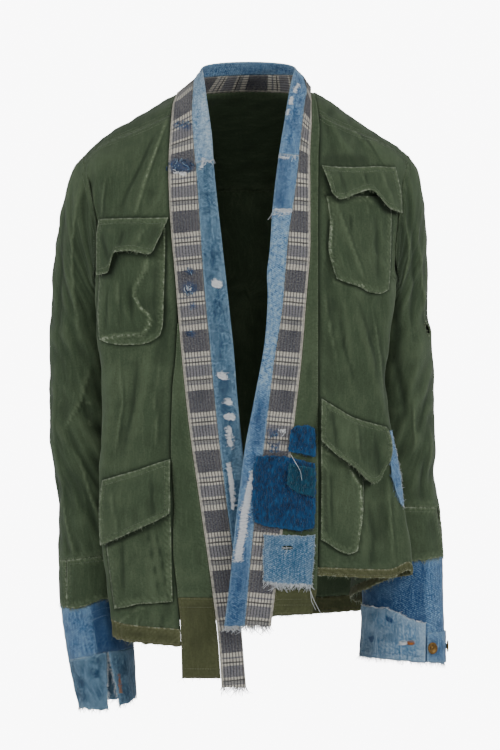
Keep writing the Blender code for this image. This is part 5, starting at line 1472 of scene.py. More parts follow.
@dataclass
class ClothPiece:
    """A cut piece of cloth on a grid: measured, puckered at its seams, crumpled, and marked where it wears
    and where highlight and shade are painted.

    core is the line that it wraps, as X and Y; normals point away from it. nodes are the solids that it
    replaces, where they aren't the one of its name. drop is the weave's own distance down the cloth.
    rim is how far its edges are worn pale.
    """

    name: str
    points: Array
    finish: Finish
    wall: float = CLOTH
    closed: bool = False
    core: tuple[float, float] = (0.0, 0.0)
    held: Held = Held.HUNG
    pucker: float = 0.4
    crinkle: float = 0.4
    ragged: dict[Edge, float] = field(default_factory=dict)
    open_cells: Array | None = None
    marks: dict[str, Array] = field(default_factory=dict)
    crease: float = 0.5
    nodes: tuple[str, ...] = ()
    drop: Array | None = None
    rim: float = 1.0

    def __post_init__(self) -> None:
        """Measure the piece, then shape and mark it."""
        self.seed = sum(map(ord, self.name))
        steps_u = np.linalg.norm(np.diff(self.points, axis=1), axis=-1)
        steps_v = np.linalg.norm(np.diff(self.points, axis=0), axis=-1)
        self.u = np.concatenate([0 * steps_u[:, :1], np.cumsum(steps_u, axis=1)], axis=1)
        self.v = np.concatenate([0 * steps_v[:1], np.cumsum(steps_v, axis=0)], axis=0)
        self.from_edge = {TOP: self.v, BOTTOM: self.v[-1:] - self.v}
        if not self.closed:
            self.from_edge |= {FIRST: self.u, LAST: self.u[:, -1:] - self.u}
        self.near = np.min(list(self.from_edge.values()), axis=0)
        self.crumple()
        self.normals = self.outward()
        self.age()

    def outward(self) -> Array:
        """Unit normals that point away from the core."""
        normal = square_to(self.points, self.closed)
        return normal * away_from(self.core, self.points, normal)

    def crumple(self) -> None:
        """Pucker the seams in waves of about 8 mm, crumple the rest softly and roughen the ragged edges."""
        self.normals = self.outward()
        wave = ripple(1.5 * self.u, 0.75 * self.v, self.seed + 2, 28, 120)
        sharp = 0.4 - np.sqrt(wave**2 + 0.012)
        lift = ripple(self.u, self.v, self.seed, 16, 80) * self.crinkle + sharp * 2.2 * self.crease
        lift = lift * eased(self.near, 0, 12)
        for edge, away in self.from_edge.items():
            run = self.u if edge in (TOP, BOTTOM) else self.v
            phase = run / 8.2 + 0.5 * ripple(run, 0 * run, self.seed + 5, 30, 90)
            lift = lift + self.pucker * np.sin(2 * np.pi * phase) * np.exp(-(((away - 5) / 5) ** 2))
        self.points = self.points + lift[..., None] * self.normals
        for edge, size in self.ragged.items():
            run = self.u if edge in (TOP, BOTTOM) else self.v
            axis = 0 if edge in (TOP, BOTTOM) else 1
            sign = 1 if edge in (BOTTOM, LAST) else -1
            way = unit(np.gradient(self.points, axis=axis) * sign)
            shift = size * (ripple(run, 0 * run, self.seed + 9, 3.5, 22) - 0.6)
            self.points = self.points + (shift * np.exp(-self.from_edge[edge] / 3.0))[..., None] * way

    def age(self) -> None:
        """Mark the wear by distance from the edges, and the ridges by height over the cloth around, for
        painted highlight on crests and painted shade in troughs.
        """
        rope = 0.55 + 0.45 * np.sin(2 * np.pi * (self.u + self.v) / 7.5 + ripple(self.u, self.v, 3, 20, 60))
        wear_and_highlight = np.exp(-((self.near / 2.4) ** 2)) + 0.55 * rope * np.exp(-(((self.near - 6) / 3.4) ** 2))
        blurred = self.points
        for _ in range(14):
            wide = np.pad(blurred, ((1, 1), (1, 1), (0, 0)), mode="edge")
            if self.closed:
                wide[1:-1, 0], wide[1:-1, -1] = blurred[:, -2], blurred[:, 1]
            blurred = (wide[:-2, 1:-1] + wide[2:, 1:-1] + wide[1:-1, :-2] + wide[1:-1, 2:]) / 4
        height = ((self.points - blurred) * self.normals).sum(-1)
        bulge = np.median(height)
        ridge = np.clip((height - bulge) / 1.1, -1, 1) * eased(self.near, 2, 14)
        # Stains and painted shade share one mark.
        plain = {name: 0 * wear_and_highlight for name in ("stain_and_shade", "bare", "darn")}
        self.marks = {"wear_and_highlight": np.clip(self.rim * wear_and_highlight, 0, 1), "ridge": ridge} | plain | self.marks

    def rub_and_highlight(self, more: Array) -> None:
        """Make the cloth paler by a mark: wear, and painted highlight along crests."""
        self.marks["wear_and_highlight"] = np.clip(self.marks["wear_and_highlight"] + more, 0, 1)

    def line(self, edge: Edge, inset: float, lift: float = 0.1) -> tuple[Array, Array]:
        """A line at an even distance from an edge, on the outside of the cloth.

        Args:
            edge: which edge.
            inset: how far in from it, in mm.
            lift: how far off the cloth's face.

        Returns:
            The line's points and the normals there.
        """
        grid, normal, reach = self.points, self.normals, self.from_edge[edge]
        if edge in (FIRST, LAST):
            grid, normal, reach = grid.swapaxes(0, 1), normal.swapaxes(0, 1), reach.T
        if edge in (LAST, BOTTOM):
            grid, normal, reach = grid[::-1], normal[::-1], reach[::-1]
        k = np.clip((reach < inset).sum(axis=0) - 1, 0, len(reach) - 2)
        at = np.arange(reach.shape[1])
        t = ((inset - reach[k, at]) / np.maximum(reach[k + 1, at] - reach[k, at], 1e-6))[:, None]
        here = normal[k, at] * (1 - t) + normal[k + 1, at] * t
        point = grid[k, at] * (1 - t) + grid[k + 1, at] * t
        return point + here * (self.wall / 2 + lift), here

    def build(self) -> Object:
        """Make the mesh with its own UV map in metres of cloth, its marks and its wall.

        Returns:
            The piece.
        """
        rows, columns = self.points.shape[:2]
        used = columns - 1 if self.closed else columns
        index = np.arange(rows * used).reshape(rows, used)
        if self.closed:
            index = np.concatenate([index, index[:, :1]], axis=1)

        def corners(grid: Array) -> Array:
            """A grid's values at the four corners of each cell."""
            four = np.stack([grid[:-1, :-1], grid[:-1, 1:], grid[1:, 1:], grid[1:, :-1]], 2)
            return four.reshape((-1,) + four.shape[2:])

        down = self.v if self.drop is None else self.drop
        quads, uvs = corners(index), corners(np.stack([self.u, -down], -1) * MM)
        if self.open_cells is not None:
            kept = ~self.open_cells.reshape(-1)
            quads, uvs = quads[kept], uvs[kept]
        mesh = bpy.data.meshes.new(self.name)
        mesh.from_pydata((self.points[:, :used].reshape(-1, 3) * MM).tolist(), [], quads.tolist())
        mesh.uv_layers.new(name="UVMap").data.foreach_set("uv", uvs.ravel())
        for name, values in self.marks.items():
            mark = mesh.attributes.new(name, "FLOAT", "POINT")
            mark.data.foreach_set("value", values[:, :used].astype(np.float32).ravel())
        piece = placed(self.name + "_cloth", mesh, self.finish)
        shell = piece.modifiers.new("cloth", "SOLIDIFY")
        shell.thickness = self.wall * MM
        shell.offset = 0
        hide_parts(*(self.nodes or (self.name,)))
        self.declare(corners(self.points))
        return piece

    def declare(self, cells: Array) -> None:
        """Pick the cells that the piece keeps; nothing more is done with them.

        Args:
            cells: the corners of its cells.
        """
        if self.open_cells is not None:
            cells = cells[~self.open_cells.reshape(-1)]


@dataclass
class Assembly:
    """A sub-assembly: its pieces of cloth and the yarns that sew and fray them."""

    name: str = ""
    pieces: dict[str, ClothPiece] = field(default_factory=dict)
    yarns: dict[str, ThreadWork] = field(default_factory=dict)

    def cut(self, name: str, points: Array, finish: Finish, **facts: Any) -> ClothPiece:
        """Cut a piece and keep it."""
        self.pieces[name] = ClothPiece(name, points, finish, **facts)
        return self.pieces[name]

    def yarn(self, finish: Finish) -> ThreadWork:
        """This sub-assembly's work in one yarn."""
        return self.yarns.setdefault(finish.name, ThreadWork(f"{self.name}_{finish.name}", finish))

    def stitch(self, line: Array, normal: Array, finish: Finish, pitch: float = PITCH,
               radius: float = 0.34) -> None:
        """Run stitches along a line: each is a short thread that rises from the cloth and dips back.

        Args:
            line: the line's points.
            normal: the cloth's normals there.
            finish: the yarn.
            pitch: from one stitch to the next.
            radius: the thread's radius.
        """
        run = run_along(line)
        if run[-1] < 3 * pitch:
            return
        starts = np.arange(pitch / 2, run[-1] - pitch, pitch)
        at = starts[:, None] + pitch * np.array([-0.36, 0.0, 0.36])
        paths = read_off(at, run, line) + read_off(at, run, normal) * np.array([-0.3, 0.22, -0.3])[:, None]
        self.yarn(finish).lay(paths, radius)

    def sew(self, piece: ClothPiece, edges: Iterable[Edge], insets: Iterable[float], finish: Finish) -> None:
        """Topstitch along edges of a piece, one row for each inset.

        Args:
            piece: the cloth.
            edges: which edges.
            insets: how far in from them each row is.
            finish: the yarn.
        """
        for edge in edges:
            for inset in insets:
                self.stitch(*piece.line(edge, inset), finish)

    def fray(self, piece: ClothPiece, edge: Edge, finish: Finish, spacing: float, length: float,
             seed: int, radius: float = 0.3) -> None:
        """Loose yarns along an edge, each leaving it outwards, bending at random and sagging.

        Args:
            piece: the cloth.
            edge: the edge that frays.
            finish: the yarn.
            spacing: from one yarn to the next, on average.
            length: the longest one.
            seed: picks the yarns.
            radius: a yarn's radius.
        """
        pick = np.random.default_rng(seed)
        outer, normal = piece.line(edge, 0.3, lift=-piece.wall * 0.4)
        inner, _ = piece.line(edge, 3.0, lift=-piece.wall * 0.4)
        run = run_along(outer)
        at = np.sort(pick.random(max(2, int(run[-1] / spacing)))) * run[-1]
        root, out, up = (read_off(at, run, a) for a in (outer, outer - inner, normal))
        out = unit(out)
        side = np.cross(out, up)
        size = length * (0.25 + 0.75 * pick.random(len(at)) ** 2.2)[:, None, None]
        lean, bend, rise = (pick.normal(0, s, (len(at), 1, 1)) for s in (0.5, 0.7, 0.35))
        t = np.linspace(0, 1, 6)[None, :, None]
        path = root[:, None] + size * (t * out[:, None] + side[:, None] * (lean * t + bend * t * t)
                                       + up[:, None] * rise * t + np.array([0, 0, -0.45]) * t * t)
        path = path - out[:, None] * 1.2 * (1 - t)
        self.yarn(finish).lay(path, radius * (1 - 0.55 * t[..., 0]))

    def scatter(self, places: Array, normals: Array, ways: Array, finish: Finish,
                length: float, seed: int, radius: float = 0.35) -> None:
        """Short bent yarns laid on the cloth at given places.

        Args:
            places: their middles.
            normals: the cloth's normals there.
            ways: the directions that they run in.
            finish: the yarn.
            length: their mean length.
            seed: picks how they bend.
            radius: their radius.
        """
        pick = np.random.default_rng(seed)
        ways = unit(ways)
        side = np.cross(ways, normals)
        size = length * (0.6 + 0.8 * pick.random((len(places), 1, 1)))
        bend = pick.normal(0, 0.12, (len(places), 1, 1))
        t = np.linspace(-0.5, 0.5, 5)[None, :, None]
        path = places[:, None] + size * (ways[:, None] * t + side[:, None] * bend * (1 - 4 * t * t))
        path = path + normals[:, None] * (0.55 - 3.4 * t * t)
        self.yarn(finish).lay(path, radius)

    def build(self) -> None:
        """Make every piece and every yarn, and report them."""
        for piece in self.pieces.values():
            made = piece.build()
            log.info("%s: %d cells", made.name, len(made.data.polygons))
        for work in self.yarns.values():
            made = work.build()
            log.info("%s: %d faces", made.name, len(made.data.polygons))


def band_rows(start: float, end: float) -> Array:
    """Row heights from start down to end, the same ones for all strips that share an edge.

    Args:
        start: the top.
        end: the bottom.

    Returns:
        The heights.
    """
    spaced = np.concatenate([[-10, -20, -32, -46, -62, -80], np.arange(-102, -820, -24)])
    between = spaced[(spaced < start - 4) & (spaced > end + 4)]
    return dense(np.concatenate([[start], between, [end]]).astype(float))


def line_on_front(side: Side, x: Array, z: Array, lift: float) -> Array:
    """A line down the front's cloth, straight out from it by lift, and level past its corner."""
    limit = 0.999 * WIDTH[FRONT, side](z)
    return np.stack([x, -(front_out(side, np.clip(x, -limit, limit), z) + lift), z], -1)


def band_lines(side: Side, heights: Array) -> list[Array]:
    """The three lines of a front's two bands, matched row by row, fanned out round the neck.

    Args:
        side: which front.
        heights: the rows' heights on the outer line.

    Returns:
        The outer, middle and inner line.
    """
    fan = 1 - eased(-heights, 0, 150)
    middle_z = heights + (19 if side == RIGHT else 16) * fan
    inner_z = heights + (35 if side == RIGHT else 28) * fan
    lines = []
    for edge, z, near_neck, joined in (
        (BAND_OUTER, heights, None, 0),
        (BAND_MIDDLE, middle_z, NECK_MIDDLE_OUT, -122),
        (BAND_INNER, inner_z, NECK_INNER_OUT, -221),
    ):
        line = line_on_front(side, edge[side](z), z, ON_BAND)
        if near_neck is not None:
            line[:, 1] = np.where(z > joined, -(near_neck(z) + ON_BAND), line[:, 1])
        lines.append(line)
    return lines


def strip(first: Array, second: Array, columns: int, crown: float = 1.0, trim: float = SEAM) -> Array:
    """A strip between two lines, proud in the middle as a parabola and trimmed by a seam each side.

    Args:
        first: one line.
        second: the other, matched point by point.
        columns: cells across.
        crown: how proud its middle is.
        trim: what each side loses.

    Returns:
        The grid.
    """
    width = np.linalg.norm(second - first, axis=1)[:, None, None]
    share = np.linspace(0, 1, columns + 1)[None, :, None]
    inset = trim / width
    share = inset + (1 - 2 * inset) * share
    flat = first[:, None] * (1 - share) + second[:, None] * share
    return flat + np.array([0, -crown, 0]) * 4 * share * (1 - share)


def traced(x: Any, z: Any, lines: Spots, fading: bool = False) -> Any:
    """A mark along lines: 1 on them, flat to their half widths, and then falling off.

    Args:
        x: the points' first coordinate.
        z: their second coordinate.
        lines: each line's points and half width.
        fading: whether it dies away at the lines' ends.

    Returns:
        The mark at each point.
    """
    total = np.zeros(np.broadcast(x, z).shape)
    for line, half_width in lines:
        away, share = nearest(line, x, z)
        mark = np.exp(-((away / half_width) ** 4))
        total = np.maximum(total, mark * np.sin(np.pi * share) ** 0.6 if fading else mark)
    return total


def spots(points: Array, lines: Spots) -> Array:
    """A mark near lines of places (x, z), seen from the front."""
    return traced(points[..., 0], points[..., 2], lines)


def fold_highlight_and_shade(folds: list[Fold], x: Any, z: Any) -> tuple[Array, Array]:
    """Painted highlight in pale lines along folds' crests, and painted shade in their hollows and in a line
    beside each crest.

    Args:
        folds: the folds.
        x: the points' first coordinate.
        z: their second coordinate.

    Returns:
        Both marks at each point.
    """
    crests = [(line, min(1.5, 0.4 * width)) for line, width, height in folds if height > 0]
    hollows = [(line, min(2.4, 0.45 * width)) for line, width, height in folds if height < 0]
    # A painted shadow line beside each crest.
    beside = [([(at + CREST_SHADE_GAP, up) for at, up in line], 1.8) for line, width, height in folds if height > 0]
    dark = np.maximum(traced(x, z, hollows, True), 0.8 * traced(x, z, beside, True))
    return traced(x, z, crests, True), dark


def outline(rows: Any) -> Line:
    """The outline, seen from the front, of a piece given as rows of (x, z, lift)."""
    first, last = [r[0][:2] for r in rows], [r[-1][:2] for r in rows]
    return [p[:2] for p in rows[0]] + last[1:] + [p[:2] for p in rows[-1]][-2::-1] + first[-2:0:-1]


def shifted(edge: Curve, by: float) -> Curve:
    """The same edge, raised by a distance."""
    return lambda turn: edge(turn) + by


@dataclass
class YokeForm:
    """The yoke's form: rays from the neck edge to the armholes, over each shoulder and round the neck."""

    columns: int = 12
    across: int = 3
    down: int = 9

    def shape(self) -> Array:
        """The rays, refined between them.

        Returns:
            The grid, from the right side round to the left.
        """
        v = np.linspace(0, 1, self.columns + 1)
        rays = []
        for side in (RIGHT, LEFT):
            half = []
            neck_x, neck_z = NECK_SIDE[side]
            for turn in YOKE_TURNS:
                drop = abs(turn) ** 2.2
                if turn <= 0:
                    edge = BAND_OUTER if side == RIGHT else FRONT_EDGE
                    near = np.abs(edge[side](neck_z + (-36 - neck_z) * drop))
                    near = near + (YOKE_FRONT[side][0] - near) * (turn == -1)
                    far = armhole_width(FRONT, side, ARMHOLE_TOP + (-96 - ARMHOLE_TOP) * drop)
                    x = near + (far - near) * v
                    z = RIDGE[side](x) + (YOKE_SEAM[side](x) + SEAM - RIDGE[side](x)) * drop
                    out = -section(FRONT, side, side * x, z)
                else:
                    lean = math.radians(BACK_LEAN) * turn
                    near = neck_x * math.cos(lean)
                    near_z = neck_z + (NECK_RISE - neck_z) * math.sin(lean) ** 2
                    far_z = ARMHOLE_TOP + (BACK_SEAM + SEAM - ARMHOLE_TOP) * drop
                    x = near + (armhole_width(BACK, side, far_z) - near) * v
                    fall = RIDGE[side](near) - near_z
                    z = RIDGE[side](x) - fall - (RIDGE[side](x[-1]) - fall - far_z) * v
                    out = section(BACK, side, side * x, z)
                half.append(np.stack([side * x, out, z], -1))
            corner = half[-1]
            for share in BACK_SHARES:
                lean = math.radians(BACK_LEAN + (90 - BACK_LEAN) * share)
                near = neck_x * math.cos(lean)
                near_z = neck_z + (NECK_RISE - neck_z) * math.sin(lean) ** 2
                x = near + (abs(corner[-1, 0]) * (1 - share) - near) * v
                straight = near_z + (BACK_SEAM + SEAM - near_z) * v
                level = corner[0, 2] + (corner[-1, 2] - corner[0, 2]) * v
                z = straight + (corner[:, 2] - level) * (1 - share)
                half.append(np.stack([side * x, section(BACK, side, side * x, z), z], -1))
            rays.append(half)
        right, left = rays
        return refined(np.array(right + left[-2::-1]), self.across, self.down)


@dataclass
class Yoke(Assembly):
    """Both shoulders and the top of the back in one piece."""

    name: str = "yoke"

    def __post_init__(self) -> None:
        """Cut the piece, let the fronts' folds run up into it, and topstitch its seams."""
        points = YokeForm().shape()
        for side in (RIGHT, LEFT):
            here = (points[..., 0] * side > 0) & (points[..., 1] < 0)
            lift = raised(FOLDS[side] + FINE_FOLDS[side], points[..., 0], points[..., 2]) * 0.7
            points[..., 1] -= np.where(here, lift * eased(-points[..., 1], 0, 30), 0)
        piece = self.cut("yoke", points, GREEN, rim=0.35)
        self.sew(piece, (TOP, BOTTOM, LAST), (2.2, 8.5), GREEN_THREAD)
        self.sew(piece, (FIRST,), (2.4,), GREEN_THREAD)


@dataclass
class BackPanel(Assembly):
    """The back from side seam to side seam, with its let-down hem."""

    name: str = "back"
    columns: int = 66
    rows_below: int = 108
    hem_rows: int = 8

    def __post_init__(self) -> None:
        """Cut both halves and join them, then sew the seams."""
        panels, strips = [], []
        above = dense([BACK_SEAM - SEAM, *ARMHOLE_ROWS[1:]], 4.0)
        rows = -np.linspace(0, 1, self.hem_rows + 1)
        for side in (RIGHT, LEFT):
            hem = HEM[BACK, side]
            reach = armhole_width(BACK, side, np.array(BACK_SEAM))
            below = np.linspace(ARMPIT, hem(1.0) + HEM_BAND[RIGHT] + SEAM, self.rows_below)
            heights = np.concatenate([above, below[1:]])
            panels.append(body_panel(BACK, side, self.columns, heights, lambda z: 0 * z,
                                     lambda column: BACK_SEAM - SEAM + 0 * column,
                                     shifted(hem, HEM_BAND[RIGHT] + SEAM),
                                     lambda column, r=reach: r * column))
            strips.append(body_panel(BACK, side, self.columns, rows, lambda z: 0 * z,
                                     shifted(hem, HEM_BAND[RIGHT] - SEAM), hem))
        whole, band = (np.concatenate([right[:, :0:-1], left], axis=1) for right, left in (panels, strips))
        back = self.cut("back", whole, GREEN, rim=0.4, crease=0.15)
        hem = self.cut("hem_back", band, OLIVE, wall=1.8, pucker=0.7, ragged={BOTTOM: 0.8})
        self.sew(back, (TOP, FIRST, LAST), (2.2, 8.5), GREEN_THREAD)
        self.sew(hem, (TOP,), (2.0,), OLIVE_THREAD)
        self.sew(hem, (BOTTOM,), (4.0, 11.0), OLIVE_THREAD)
        self.fray(hem, BOTTOM, SEAM_THREAD, 4.0, 4.0, 31)


@dataclass
class FrontPanel(Assembly):
    """A front with its hem band and its placket."""

    name: str = "front"
    side: Side = RIGHT
    columns: int = 76
    hem_rows: int = 8

    def __post_init__(self) -> None:
        """Cut the front, the hem and the placket, and sew them."""
        side = self.side
        self.name = "front_" + NAMES[side]
        start, end = YOKE_FRONT[side]
        hem = HEM[FRONT, side]

        def top_x(column: Any) -> Any:
            """How the columns stand along the yoke seam."""
            return start + (end - start) * column

        def inner(z: Any) -> Any:
            """The front's free edge."""
            return np.abs(FRONT_EDGE[side](z)) + SEAM

        bottom = shifted(hem, HEM_BAND[side] + SEAM)
        heights = dense([-96 - SEAM, *ARMHOLE_ROWS, bottom(np.array(1.0))], 3.8)
        panel = body_panel(FRONT, side, self.columns, heights, inner,
                           lambda column: YOKE_SEAM[side](top_x(column)) - SEAM, bottom, top_x)
        band = body_panel(FRONT, side, self.columns, -np.linspace(0, 1, self.hem_rows + 1), inner,
                          shifted(hem, HEM_BAND[side] - SEAM), hem)
        sewn = [CHEST_POCKET[side], CHEST_FLAP[side], HIP_POCKET[side], HIP_FLAP[side]]
        # Painted highlight on the fine folds' crests, and painted shade in their hollows.
        crest_highlight, hollow_shade = fold_highlight_and_shade(FINE_FOLDS[side], panel[..., 0], panel[..., 2])
        # Painted shadow round the pockets and flaps sewn on the front.
        shade = 0.75 * spots(panel, [(outline(rows), 3.6) for rows in sewn])
        # The name tape's own dark colour, with the painted shade and shadow.
        marks = {"stain_and_shade": np.maximum.reduce([0.6 * spots(panel, NAME_TAPE[side]), shade, 0.6 * hollow_shade])}
        front = self.cut(self.name, panel, GREEN, marks=marks, rim=0.4)
        # Painted shade in the groove along the front's free edge, where the placket meets it.
        groove_shade = 0.8 * np.exp(-((front.from_edge[FIRST] / 4.5) ** 2))
        front.marks["stain_and_shade"] = np.maximum(front.marks["stain_and_shade"], groove_shade)
        front.marks["wear_and_highlight"] = front.marks["wear_and_highlight"] * (1 - groove_shade)
        front.rub_and_highlight(0.4 * spots(panel, PALE_LINES[side]) + 0.4 * crest_highlight)
        turned_up = self.cut("hem_" + NAMES[side], band, OLIVE, wall=1.8, pucker=0.7, ragged={BOTTOM: 0.8})
        self.sew(front, (TOP, LAST), (2.2, 8.5), GREEN_THREAD)
        self.sew(turned_up, (TOP,), (1.6,), OLIVE_THREAD)
        self.sew(turned_up, (BOTTOM,), (3.5,), OLIVE_THREAD)
        self.fray(turned_up, BOTTOM, SEAM_THREAD, 3.2, 4.5, 40 + side)
        for name, top, end_z, finish, columns in PLACKETS[side]:
            heights = band_rows(top, end_z)
            lines = [line_on_front(side, edge[side](heights), heights, ON_PLACKET)
                     for edge in (FRONT_EDGE, BAND_OUTER)]
            piece = self.cut(name, strip(*lines, columns, crown=0.4, trim=0.5), finish, crinkle=0.25, rim=0.4)
            thread = GREEN_THREAD if finish is GREEN else OLIVE_THREAD
            self.sew(piece, (FIRST, LAST), (1.6,), thread)
            if end_z < -700:
                self.sew(piece, (TOP, BOTTOM), (2.0, 13.0), thread)
                self.fray(piece, BOTTOM, SEAM_THREAD, 2.2, 5.0, 44 + side)


@dataclass
class Bands(Assembly):
    """A front's plaid band and its denim band, pieced, frayed, darned and worn through to white threads."""

    name: str = "bands"
    side: Side = RIGHT

    def __post_init__(self) -> None:
        """Cut the strips and sew, darn and fray them."""
        side = self.side
        self.name = "bands_" + NAMES[side]
        top = -3.0 if side == RIGHT else 4.0
        outer, middle, _ = band_lines(side, band_rows(top - SEAM, PLAID_END[side]))
        grid = strip(outer, middle, 10)
        marks = {"darn": spots(grid, DARNS[side]), "bare": 0.9 * spots(grid, DARN_WHITES[side])}
        plaid = self.cut("plaid_band_" + NAMES[side], grid, PLAID, marks=marks, pucker=0.5, rim=0.3,
                         ragged={BOTTOM: 1.4})
        plaid.drop = PLAID_START - grid[..., 2].mean(axis=1)[:, None] + 0.085 * plaid.u
        self.sew(plaid, (FIRST, LAST), (1.6,), CHECK_YARN)
        self.fray(plaid, BOTTOM, CHECK_YARN, 0.5, 9.0, 50 + side)
        self.fray(plaid, BOTTOM, WHITE_YARN, 0.6, 9.0, 54 + side, radius=0.5)
        for index, (part, start, end, finish) in enumerate(DENIM_PIECES[side]):
            _, middle, inner = band_lines(side, band_rows(start - SEAM, end + SEAM))
            grid = strip(middle, inner, 8)
            piece = self.cut(f"denim_band_{NAMES[side]}_{part}", grid, finish, wall=1.6, pucker=0.5,
                             marks={"bare": spots(grid, BARE[side])}, ragged={BOTTOM: 1.4})
            piece.rub_and_highlight(0.75 * spots(grid, FADED[side]))
            # Painted shade where the denim bands lie darker.
            piece.marks["stain_and_shade"] = 0.42 * spots(grid, BAND_SHADE[side])
            self.sew(piece, (FIRST, LAST), (1.5,), BLUE_YARN)
            self.fray(piece, BOTTOM, WHITE_YARN, 0.45, 8.0, 60 + 7 * side + index, radius=0.5)
            self.fray(piece, BOTTOM, BLUE_YARN, 1.1, 5.0, 70 + 7 * side + index)
            if index:
                self.fray(piece, TOP, WHITE_YARN, 0.7, 3.6, 80 + 7 * side + index, radius=0.5)
            self.unpick(piece, 90 + index)
        self.darn(plaid)

    def unpick(self, piece: ClothPiece, seed: int) -> None:
        """Lay loose white yarns across the places worn bare.

        Args:
            piece: the band.
            seed: picks the places.
        """
        pick = np.random.default_rng(seed)
        there = np.argwhere(piece.marks["bare"] > 0.45)
        if len(there) == 0:
            return
        row, column = there[pick.integers(0, len(there), int(len(there) * 1.6))].T
        row = np.clip(row, 1, piece.points.shape[0] - 2)
        column = np.clip(column, 1, piece.points.shape[1] - 2)
        across = piece.points[row, column + 1] - piece.points[row, column - 1]
        ways = across + np.stack([0 * row, 0 * row, pick.normal(0, 2.4, len(row))], -1)
        places = piece.points[row, column] + pick.normal(0, 0.8, (len(row), 3)) * [1, 0, 1]
        lift = piece.normals[row, column] * piece.wall / 2
        self.scatter(places + lift, piece.normals[row, column], ways, WHITE_YARN, 5.0, seed, radius=0.28)

    def darn(self, piece: ClothPiece) -> None:
        """Work the darned places over with blue, navy and white yarn.

        Args:
            piece: the plaid band.
        """
        pick = np.random.default_rng(7 + self.side)
        for name, finish, share in (("darn", NAVY_YARN, 0.7), ("darn", BLUE_YARN, 0.5),
                                    ("bare", WHITE_YARN, 1.0)):
            there = np.argwhere(piece.marks[name] > 0.4)
            if len(there) == 0:
                continue
            row, column = there[pick.integers(0, len(there), max(4, int(len(there) * share)))].T
            places = piece.points[row, column] + piece.normals[row, column] * piece.wall / 2
            places = places + pick.normal(0, 1.4, (len(row), 3)) * [1, 0, 1]
            ways = np.stack([pick.normal(0, 0.5, len(row)), 0 * row, pick.normal(0, 1, len(row))], -1)
            self.scatter(places, piece.normals[row, column], ways, finish, 5.0, 11, radius=0.42)


@dataclass
class NeckBands(Assembly):
    """The bands round the back of the neck, from shoulder to shoulder."""

    name: str = "neck"
    turns: int = 110

    def __post_init__(self) -> None:
        """Carry each line of the bands over an arch from one front to the other."""
        starts, ends = band_lines(RIGHT, np.array([-3.0])), band_lines(LEFT, np.array([4.0]))
        turn = np.linspace(0, np.pi, self.turns + 1)
        lines = []
        for start, end, peak in zip(starts, ends, NECK_BACK):
            start, end, peak = start[0], end[0], np.array(peak, float)
            centre = (start + end) / 2
            rise = np.sin(turn)[:, None] ** 0.83 * np.array([0, 1, 1])
            line = centre + (start - centre) * np.cos(turn)[:, None] + (peak - centre * [0, 1, 1]) * rise
            line[0, 1] += 1.0
            line[-1, 1] += 1.0
            lines.append(line + np.array([0, 0, 1.2]))
        outer, middle, inner = lines
        neck = YokeForm().shape()[:, 0]
        behind = neck[neck[:, 1] > -3]
        share = eased(np.sin(turn), 0, 0.3)[:, None] * [0, 1, 1]
        seam = read_off(outer[:, 0], behind[:, 0], behind)
        seam[:, 0] = outer[:, 0]
        outer = outer * (1 - share) + seam * share
        plaid = self.cut("plaid_band_neck", strip(outer, middle, 9, crown=0), PLAID)
        denim = self.cut("denim_band_neck", strip(middle, inner, 8, crown=0), DENIM, wall=1.6)
        for band in (plaid, denim):
            band.drop = band.v.mean(axis=1)[:, None] + 0 * band.u
        self.sew(plaid, (FIRST, LAST), (1.6,), CHECK_YARN)
        self.sew(denim, (FIRST, LAST), (1.5,), BLUE_YARN)
        self.fray(denim, LAST, BLUE_YARN, 2.4, 2.4, 98)


@dataclass
class Pockets(Assembly):
    """A front's chest and hip pockets under their flaps, collapsed and curled as worn."""

    name: str = "pockets"
    side: Side = RIGHT

    def __post_init__(self) -> None:
        """Cut the four pieces on the front's own surface, with their pleats and rolled edges."""
        side = self.side
        self.name = "pockets_" + NAMES[side]
        for name, rows, across, down, wall in (
            ("chest_pocket", CHEST_POCKET, 28, 44, CLOTH), ("chest_flap", CHEST_FLAP, 30, 24, 1.8),
            ("hip_pocket", HIP_POCKET, 26, 42, CLOTH), ("hip_flap", HIP_FLAP, 28, 24, 1.8),
        ):
            fine = net(rows[side], across, down)
            x, z, lift = fine[..., 0], fine[..., 1], fine[..., 2]
            inside = np.minimum(np.arange(across + 1)[None], np.arange(down, -1, -1)[:, None]) / 3
            lift = lift + raised(POCKET_FOLDS[name, side], x, z) * np.clip(inside, 0, 1)
            grid = on_front(side, x, z, lift)
            flap = "flap" in name
            piece = self.cut(f"{name}_{NAMES[side]}", grid, GREEN, wall=wall, pucker=0.6 if flap else 0.4,
                             crinkle=0.6 if flap else 0.35)
            # Painted highlight on the pleats' crests, and painted shade in their hollows.
            crest_highlight, hollow_shade = fold_highlight_and_shade(POCKET_FOLDS[name, side], x, z)
            piece.rub_and_highlight(0.8 * spots(grid, PALE_LINES[side]) + 0.4 * crest_highlight)
            under = CHEST_FLAP[side] if name == "chest_pocket" else HIP_FLAP[side]
            # Painted shadow on a pocket under its flap's lower edge.
            shade = 0 * x if flap else 0.8 * spots(grid, [([p[:2] for p in under[-1]], 5.0)])
            piece.marks["stain_and_shade"] = np.maximum.reduce([0.55 * spots(grid, GUSSETS[side]), 0.6 * hollow_shade, shade])
            edges = (FIRST, LAST, BOTTOM)
            self.sew(piece, edges, (1.8, 7.5) if flap else (1.8,), GREEN_THREAD)
            if flap:
                self.sew(piece, (TOP,), (1.8, 8.0), GREEN_THREAD)
                self.fray(piece, BOTTOM, SEAM_THREAD, 2.6, 3.2, 100 + side)


